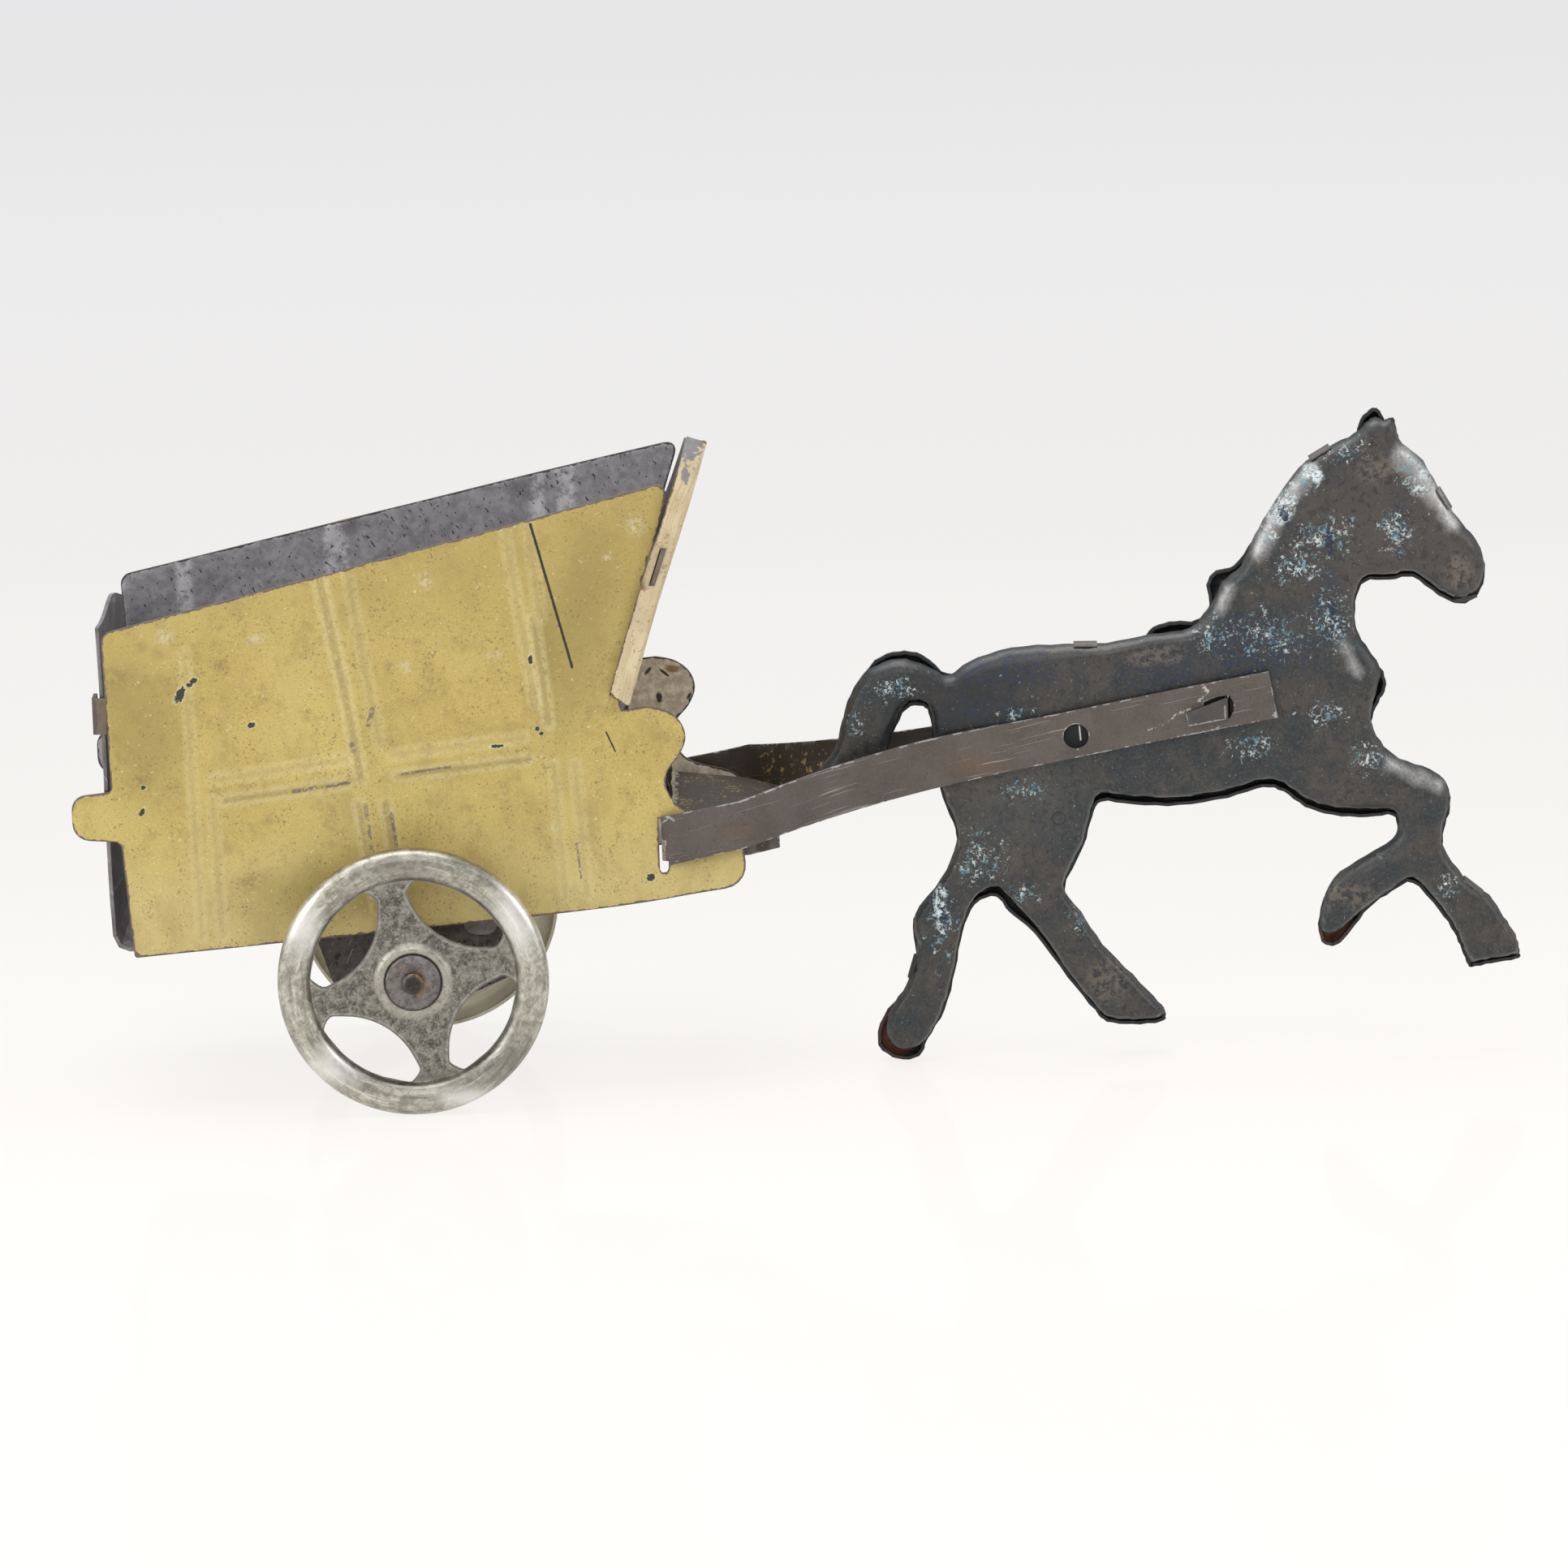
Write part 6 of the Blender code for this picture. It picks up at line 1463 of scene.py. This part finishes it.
def flank_depth(points, outline):
    """Depth of the shell at each point of the side view."""
    near = np.full(len(points), 99.0)
    for p, q in zip(outline, outline[1:] + outline[:1]):
        near = np.minimum(near, distance_to_line(points, p, q))
    roll = np.full(len(points), EDGE_ROLL)
    for x, z, reach, width in ROLLS:
        pull = np.exp(-((points[:, 0] - x) ** 2 + (points[:, 1] - z) ** 2) / reach ** 2)
        roll = np.maximum(roll, EDGE_ROLL + (width - EDGE_ROLL) * pull)
    t = np.clip(near / roll, 0.0, 1.0)
    depth = SKIRT + (HORSE_DEPTH - DOME - SKIRT) * np.sqrt(1.0 - (1.0 - t) ** 2)
    relief = np.zeros(len(points))
    for p, q, width, height in RIDGES:
        relief += height * np.exp(-(distance_to_line(points, p, q) / width) ** 2)
    relief = np.clip(relief, LOWEST_RELIEF, HIGHEST_RELIEF)
    return np.minimum(depth * (1 - DOME) + relief * t * 0.5 + DOME * t, HORSE_DEPTH)


def grown(points, margin):
    """Move a clockwise outline outward by a margin."""
    moved = []
    for i, here in enumerate(points):
        along = points[(i + 1) % len(points)] - points[i - 1]
        moved.append(here + Vector((-along.y, along.x)).normalized() * margin)
    return moved


print("edge rolls over", EDGE_ROLL, "mm on the legs and up to", max(r[3] for r in ROLLS))


# %% Fold a tab of the far shell over the near one
TAB_LENGTH = 2.2


def horse_tab(bm, place, outline):
    """Small tab of the far shell, folded over the near shell's edge beside a landmark."""
    i = min(range(len(outline)), key=lambda k: (outline[k] - Vector(place)).length)
    along = (outline[(i + 1) % len(outline)] - outline[i - 1]).normalized()
    out = Vector((-along.y, along.x))
    section = [(-0.3, HORSE_Y + 0.5), (0.16, HORSE_Y + 0.3), (0.26, HORSE_Y - 0.1), (0.26, HORSE_Y - 0.7),
               (0.16, HORSE_Y - 0.95), (-0.15, HORSE_Y - 1.12)]
    verts = []
    for aside, y in section:
        p = outline[i] - along * TAB_LENGTH / 2 + out * aside
        verts.append(bm.verts.new((p.x, y, p.y)))
    edges = [bm.edges.new(pair) for pair in zip(verts, verts[1:])]
    drawn = bmesh.ops.extrude_edge_only(bm, edges=edges)["geom"]
    bmesh.ops.translate(bm, vec=(along.x * TAB_LENGTH, 0, along.y * TAB_LENGTH),
                        verts=[g for g in drawn if isinstance(g, bmesh.types.BMVert)])
    faces = [g for g in drawn if isinstance(g, bmesh.types.BMFace)]
    bm.normal_update()
    if faces[1].normal.dot(Vector((out.x, 0, out.y))) < 0:
        bmesh.ops.reverse_faces(bm, faces=faces)


print(len(TAB_PLACES), "tabs to fold")

# %% Press a shell
FAR_GROWTH, FAR_DROP = 0.12, 0.55
HAND_CUT = 0.045
SHELL_WALL = 0.3
EDGE_ROWS = (0.05, 0.10, 0.15)


def horse_shell(side, label):
    """One pressed shell: its outline, a grid, the strap's slot, the relief and a skirt to the seam."""
    outline = smooth_run(NEAR_RUNS if side == NEAR else FAR_RUNS, 4)
    if side == FAR:
        outline = [p - Vector((0, FAR_DROP)) for p in grown(outline, FAR_GROWTH)]
    outline = [p + Vector((math.sin(2.3 * i), math.sin(3.7 * i + 1.0))) * HAND_CUT
               for i, p in enumerate(outline)]
    bm = draw_face(outline)
    bm.normal_update()
    for inset in EDGE_ROWS:
        inner = max(bm.faces, key=lambda f: f.calc_area())
        bmesh.ops.inset_region(bm, faces=[inner], thickness=inset, use_even_offset=True)
    cut_grid(bm, 0.5)
    slot = [(STRAP_X - 0.2, STRAP_Z - 1.2), (STRAP_X - 0.2, STRAP_Z + 1.2), (STRAP_X + 0.55, STRAP_Z + 1.2),
            (STRAP_X + 0.55, STRAP_Z - 1.2)]
    punch(bm, slot)
    points = np.array([(v.co.x, v.co.z) for v in bm.verts])
    depth = flank_depth(points, [tuple(p) for p in outline])
    for v, d in zip(bm.verts, depth):
        v.co.y = HORSE_Y + side * (GAP / 2 + float(d))
    face_side(bm, (0, side, 0))
    brim = [e for e in bm.edges if e.is_boundary and all(abs(v.co.y - HORSE_Y) < 0.75 for v in e.verts)]
    skirt = bmesh.ops.extrude_edge_only(bm, edges=brim)["geom"]
    for g in skirt:
        if isinstance(g, bmesh.types.BMVert):
            g.co.y = HORSE_Y + side * GAP / 2
    if side == FAR:
        near_line = smooth_run(NEAR_RUNS, 4)
        for place in TAB_PLACES:
            horse_tab(bm, place, near_line)
    finish_piece(bm, "horse_shell_" + label, "cart", ["horse_%s_half" % label], "black_japan",
                 wall=SHELL_WALL, smooth_angle=55)


horse_shell(NEAR, "near")
horse_shell(FAR, "far")

# %% [markdown]
# ## Wheels
# A wheel is one pressing: a rolled half-round rim, a flat web with four lens-shaped windows that
# leave four curved spokes, and a raised ring round the hub. One section is spun round the axle,
# and the windows are then punched out of the web, as the maker's tool did.

# %% Section of the rim and the hub, and the window
WEB_Y = cart_side(-WHEEL_R) + 3.17
BORE_R = 0.83
RIM_WIDTH, RIM_HEIGHT = 3.0, 1.2
WHEEL_WALL = 0.3
WHEEL_STEPS = 144
WINDOW_TURN = 57.0
WINDOW_HALF_ANGLE = 36.0
WINDOW_NEAREST_R = 5.1


def spin_section(bm, section, steps):
    """Spin an open section of (radius, y) round the axle."""
    verts = [bm.verts.new((0.0, y, -r)) for r, y in section]
    edges = [bm.edges.new(pair) for pair in zip(verts, verts[1:])]
    bmesh.ops.spin(bm, geom=verts + edges, cent=(0, 0, 0), axis=(0, 1, 0), angle=math.tau, steps=steps,
                   use_merge=True)
    bmesh.ops.remove_doubles(bm, verts=bm.verts[:], dist=1e-4)


def window_line():
    """Lens between the rim and an arc that bows towards the hub, its middle on +x."""
    rim_r = WHEEL_R - RIM_WIDTH - 0.12
    half = math.radians(WINDOW_HALF_ANGLE)
    end_x, end_z = rim_r * math.cos(half), rim_r * math.sin(half)
    centre = (end_x ** 2 + end_z ** 2 - WINDOW_NEAREST_R ** 2) / (2 * (end_x - WINDOW_NEAREST_R))
    radius = centre - WINDOW_NEAREST_R
    inner_half = math.atan2(end_z, centre - end_x)
    outer = [(rim_r * math.cos(half * t), rim_r * math.sin(half * t))
             for t in (1 - i / 12 for i in range(1, 24))]
    inner = [(centre - radius * math.cos(inner_half * t), radius * math.sin(inner_half * t))
             for t in (-1 + i / 12 for i in range(1, 24))]
    return smooth_run(outer[1:-1:2] + inner[1:-1:2], 3)


print("window has", len(window_line()), "points")


# %% Section of a wheel: hub, raised ring, web and rolled rim
RIM_IN = WHEEL_R - RIM_WIDTH
RING_FOOT_R = 3.9
hub_part = [(BORE_R, 0.03), (1.6, 0.0), (2.4, 0.06), (2.56, 0.18), (2.67, 0.34), (2.85, 0.42), (3.15, 0.40),
            (3.4, 0.27), (3.65, 0.08), (RING_FOOT_R, 0.0)]
web_part = [(RING_FOOT_R + (RIM_IN - 0.3 - RING_FOOT_R) * i / 6, 0.14 * math.sin(math.pi * i / 6))
            for i in range(1, 7)]
rim_part = [(WHEEL_R - RIM_WIDTH / 2 - RIM_WIDTH / 2 * math.cos(math.pi * i / 16),
             RIM_HEIGHT * math.sin(math.pi * i / 16) ** 0.85) for i in range(1, 16)]
WHEEL_SECTION = hub_part + web_part + [(RIM_IN - 0.06, 0.02)] + rim_part + [(WHEEL_R, 0.0), (WHEEL_R, -0.3)]
print("wheel section has", len(WHEEL_SECTION), "points")


# %% Spin a wheel and punch its windows
def on_web_face(face):
    """Whether a face lies on the web, between the raised ring and the rim."""
    return all(RING_FOOT_R - 0.2 < math.hypot(v.co.x, v.co.z) < RIM_IN - 0.03 for v in face.verts)


def pressed_wheel(side, label):
    """One wheel: spun, punched, and set on the axle."""
    bm = bmesh.new()
    spin_section(bm, [(r, side * y) for r, y in WHEEL_SECTION], WHEEL_STEPS)
    lens = window_line()
    for k in range(4):
        turn = math.radians(WINDOW_TURN + 90.0 * k)
        window = [(p.x * math.cos(turn) - p.y * math.sin(turn), p.x * math.sin(turn) + p.y * math.cos(turn))
                  for p in lens]
        punch(bm, window, on_web_face)
    face_side(bm, (0, side, 0))
    bmesh.ops.translate(bm, vec=(0, side * WEB_Y, WHEEL_R), verts=bm.verts[:])
    finish_piece(bm, "wheel_pressing_" + label, label + "_wheel", ["wheel_" + label], "wheel_tin",
                 wall=WHEEL_WALL, soften=0.05, smooth_angle=40)


pressed_wheel(NEAR, "near")
pressed_wheel(FAR, "far")

# %% [markdown]
# ## Axle, hub discs and saddle
# A wire axle runs through both cheeks of the saddle. A disc lies on each hub, and the wire's end
# is peened over it, which leaves a dimple with small radial dents.

# %% Turn the hub discs
HUB_Y = WEB_Y + GAP
DISC_R, DISC_THICK = 2.6, 0.5
NODE_BODY = {node: body for body, nodes in frame["record"]["behaviour"]["bodies"].items() for node in nodes}


def hub_disc(side, label):
    """Small disc with a softened rim, dished and dented by the peening round its hole."""
    bm = bmesh.new()
    inner, outer = side * HUB_Y, side * (HUB_Y + DISC_THICK)
    section = [(BORE_R, inner), (2.45, inner), (DISC_R, inner + side * 0.1), (DISC_R, outer - side * 0.16),
               (2.5, outer - side * 0.04), (2.3, outer), (1.7, outer - side * 0.03),
               (1.2, outer - side * 0.10), (BORE_R, outer - side * 0.14), (BORE_R, inner)]
    spin_section(bm, section, 72)
    for v in bm.verts:
        r = math.hypot(v.co.x, v.co.z)
        turn = math.atan2(v.co.z, v.co.x)
        if 1.0 < r < 2.4 and abs(v.co.y) > HUB_Y + 0.2:
            v.co.y -= side * 0.07 * max(0.0, math.cos(7 * turn + 0.6)) ** 3
    bmesh.ops.translate(bm, vec=(0, 0, WHEEL_R), verts=bm.verts[:])
    bmesh.ops.recalc_face_normals(bm, faces=bm.faces[:])
    finish_piece(bm, "hub_plate_" + label, NODE_BODY["hub_disc_" + label], ["hub_disc_" + label], "steel",
                 smooth_angle=40)


hub_disc(NEAR, "near")
hub_disc(FAR, "far")


# %% Axle with peened ends
AXLE_R, COLLAR_R = 0.75, 1.35


def peened_axle():
    """Wire with a crimped collar inside each wheel and a dimpled head outside each disc."""
    bm = bmesh.new()
    head = HUB_Y + DISC_THICK + GAP
    collar = WEB_Y - TIN - GAP
    half = [(AXLE_R, 0.0), (AXLE_R, collar - 0.7), (1.25, collar - 0.68), (COLLAR_R, collar - 0.5),
            (COLLAR_R, collar - 0.1), (1.25, collar), (AXLE_R, collar), (AXLE_R, head), (0.98, head + 0.02),
            (1.0, head + 0.16), (0.85, head + 0.36), (0.62, head + 0.45), (0.34, head + 0.36),
            (0.0, head + 0.30)]
    spin_section(bm, [(r, -y) for r, y in half[:0:-1]] + half, 48)
    for v in bm.verts:
        if abs(v.co.y) > head + 0.1:
            turn = math.atan2(v.co.z, v.co.x)
            v.co.y -= math.copysign(0.05, v.co.y) * math.cos(5 * turn)
    bmesh.ops.translate(bm, vec=(0, 0, WHEEL_R), verts=bm.verts[:])
    bmesh.ops.recalc_face_normals(bm, faces=bm.faces[:])
    finish_piece(bm, "axle_wire", "cart", ["axle"], "steel", smooth_angle=40)


peened_axle()

# %% Saddle keeps its measured shape
saddle = frame["nodes"]["axle_saddle"]
saddle.data.materials.clear()
saddle.data.materials.append(bpy.data.materials["steel_finish"])
print("saddle has the steel finish")

# %% [markdown]
# ## Camera, floor and light
# The camera stands where the photograph was taken from: a long lens, a little above the toy. The
# floor is pale and glossy, and sweeps up far out on every side as a backdrop. Most of the brightness
# that the camera and the shiny metal see there is the floor's own, as on a light table, so the toy's
# shadow and its mirror image stay faint. Large soft lamps above and at the sides give an even
# light, and the room in front is darker.

# %% Camera
PITCH, ROLL, YAW = math.radians(10.969), math.radians(-1.793), math.radians(0.202)
CAMERA_PLACE = (0.03813 + AXLE_X, -0.850, 0.19148)
FOCAL_PIXELS, PICTURE_PIXELS, SENSOR = 11206.5, 1932, 36.0
ahead = Vector((-math.sin(YAW) * math.cos(PITCH), math.cos(YAW) * math.cos(PITCH), -math.sin(PITCH)))
right = Vector((math.cos(YAW), math.sin(YAW), 0.0))
up = right.cross(ahead)
level_right = math.cos(ROLL) * right + math.sin(ROLL) * up
level_up = -math.sin(ROLL) * right + math.cos(ROLL) * up
camera_data = bpy.data.cameras.new("camera")
camera_data.sensor_width = camera_data.sensor_height = SENSOR
camera_data.sensor_fit = "HORIZONTAL"
camera_data.lens = FOCAL_PIXELS / PICTURE_PIXELS * SENSOR
camera_data.clip_start, camera_data.clip_end = 0.05, 20.0
camera = bpy.data.objects.new("camera", camera_data)
bpy.context.collection.objects.link(camera)
axes = Matrix((level_right, level_up, -ahead)).transposed().to_4x4()
camera.matrix_world = Matrix.Translation(CAMERA_PLACE) @ axes
bpy.context.scene.camera = camera
print("lens", round(camera_data.lens, 2))


# %% Paper of the floor
GLOW_SHARE = 0.87


def floor_paper():
    """Glossy paper that mostly glows by itself where the camera, or a shiny or clear surface, sees it."""
    material = bpy.data.materials.new("floor_paper")
    material.use_nodes = True
    shader = material.node_tree.nodes["Principled BSDF"]
    shader.inputs["Roughness"].default_value = 0.06
    shader.inputs["Base Color"].default_value = (0.88, 0.87, 0.85, 1.0)
    w = Wiring(material.node_tree)
    back = w.axis(w.put("ShaderNodeTexCoord", out=3), Y)
    paper = w.blend(w.step(back, -0.10, 0.20), (1.0, 0.97, 0.94), (0.86, 0.85, 0.83))
    paper = w.blend(w.step(back, 0.25, 0.30), paper, (0.835, 0.825, 0.82))
    paper = w.blend(w.step(back, 0.30, 1.75), paper, (0.75, 0.74, 0.775))
    glow = w.put("ShaderNodeEmission", {"Color": paper, "Strength": 1.0})
    camera_ray, glossy_ray, clear_ray = (w.put("ShaderNodeLightPath", out=k) for k in (0, 3, 6))
    seen = w.sum("MAXIMUM", camera_ray, w.sum("MAXIMUM", glossy_ray, clear_ray))
    share = w.sum("MULTIPLY", seen, GLOW_SHARE)
    output = next(n for n in material.node_tree.nodes if n.type == "OUTPUT_MATERIAL")
    mixed = w.put("ShaderNodeMixShader", {0: share, 1: shader.outputs[0], 2: glow})
    w.feed(output.inputs["Surface"], mixed)
    return material


# %% Floor that sweeps up all round
FLOOR_R, SWEEP_R, WALL_TOP = 2.4, 0.4, 0.5


def swept_floor():
    """A wide flat bowl: floor, sweep and wall, spun round the middle."""
    bm = bmesh.new()
    section = [(0.0, 0.0), (0.5, 0.0), (1.2, 0.0), (FLOOR_R, 0.0)]
    section += [(FLOOR_R + SWEEP_R * math.sin(a), SWEEP_R - SWEEP_R * math.cos(a))
                for a in (math.radians(t) for t in range(10, 91, 10))] + [(FLOOR_R + SWEEP_R, WALL_TOP)]
    verts = [bm.verts.new((r, 0.0, z)) for r, z in section]
    edges = [bm.edges.new(pair) for pair in zip(verts, verts[1:])]
    bmesh.ops.spin(bm, geom=verts + edges, cent=(0, 0, 0), axis=(0, 0, 1), angle=math.tau, steps=64,
                   use_merge=True)
    bmesh.ops.remove_doubles(bm, verts=bm.verts[:], dist=1e-5)
    mesh = bpy.data.meshes.new("floor")
    face_side(bm, (0, 0, 1))
    bm.to_mesh(mesh)
    bm.free()
    mesh.shade_smooth()
    floor = bpy.data.objects.new("floor", mesh)
    bpy.context.collection.objects.link(floor)
    mesh.materials.append(floor_paper())
    print("floor reaches", FLOOR_R + SWEEP_R, "m out")


swept_floor()


# %% Soft lamps: name, place, aim, size, power
LAMPS = (("overhead", (-0.15, 0.0, 1.1), (0, 0, 0), 1.0, 13.0),
         ("left", (-1.1, -0.55, 0.55), (0, 0, 0.03), 0.7, 5.5),
         ("right", (1.1, -0.45, 0.6), (0, 0, 0.03), 0.6, 3.6),
         ("front", (-0.1, -1.15, 0.75), (0, 0, 0.03), 0.5, 3.2))


def soft_lamp(name, place, aim, size, power):
    """A square soft lamp at a place, turned to an aim."""
    data = bpy.data.lights.new(name, "AREA")
    data.shape = "SQUARE"
    data.size = size
    data.energy = power
    lamp = bpy.data.objects.new(name, data)
    bpy.context.collection.objects.link(lamp)
    lamp.location = place
    lamp.rotation_euler = (Vector(aim) - Vector(place)).to_track_quat("-Z", "Y").to_euler()


for lamp_values in LAMPS:
    soft_lamp(*lamp_values)

# %% Ambient light: darker in front, brighter above and behind
world = bpy.data.worlds.new("room")
world.use_nodes = True
w = Wiring(world.node_tree)
direction = w.put("ShaderNodeTexCoord", out=0)
level = w.sum("ADD", w.step(w.axis(direction, Y), -0.8, 0.4, 0.16, 0.60),
              w.step(w.axis(direction, Z), -0.1, 0.9, 0.0, 0.22))
backdrop = world.node_tree.nodes["Background"]
w.feed(backdrop.inputs["Strength"], level)
w.feed(backdrop.inputs["Color"], (0.96, 0.98, 1.0))
bpy.context.scene.world = world
bpy.context.scene.view_settings.view_transform = "Standard"
print("ambient light set")
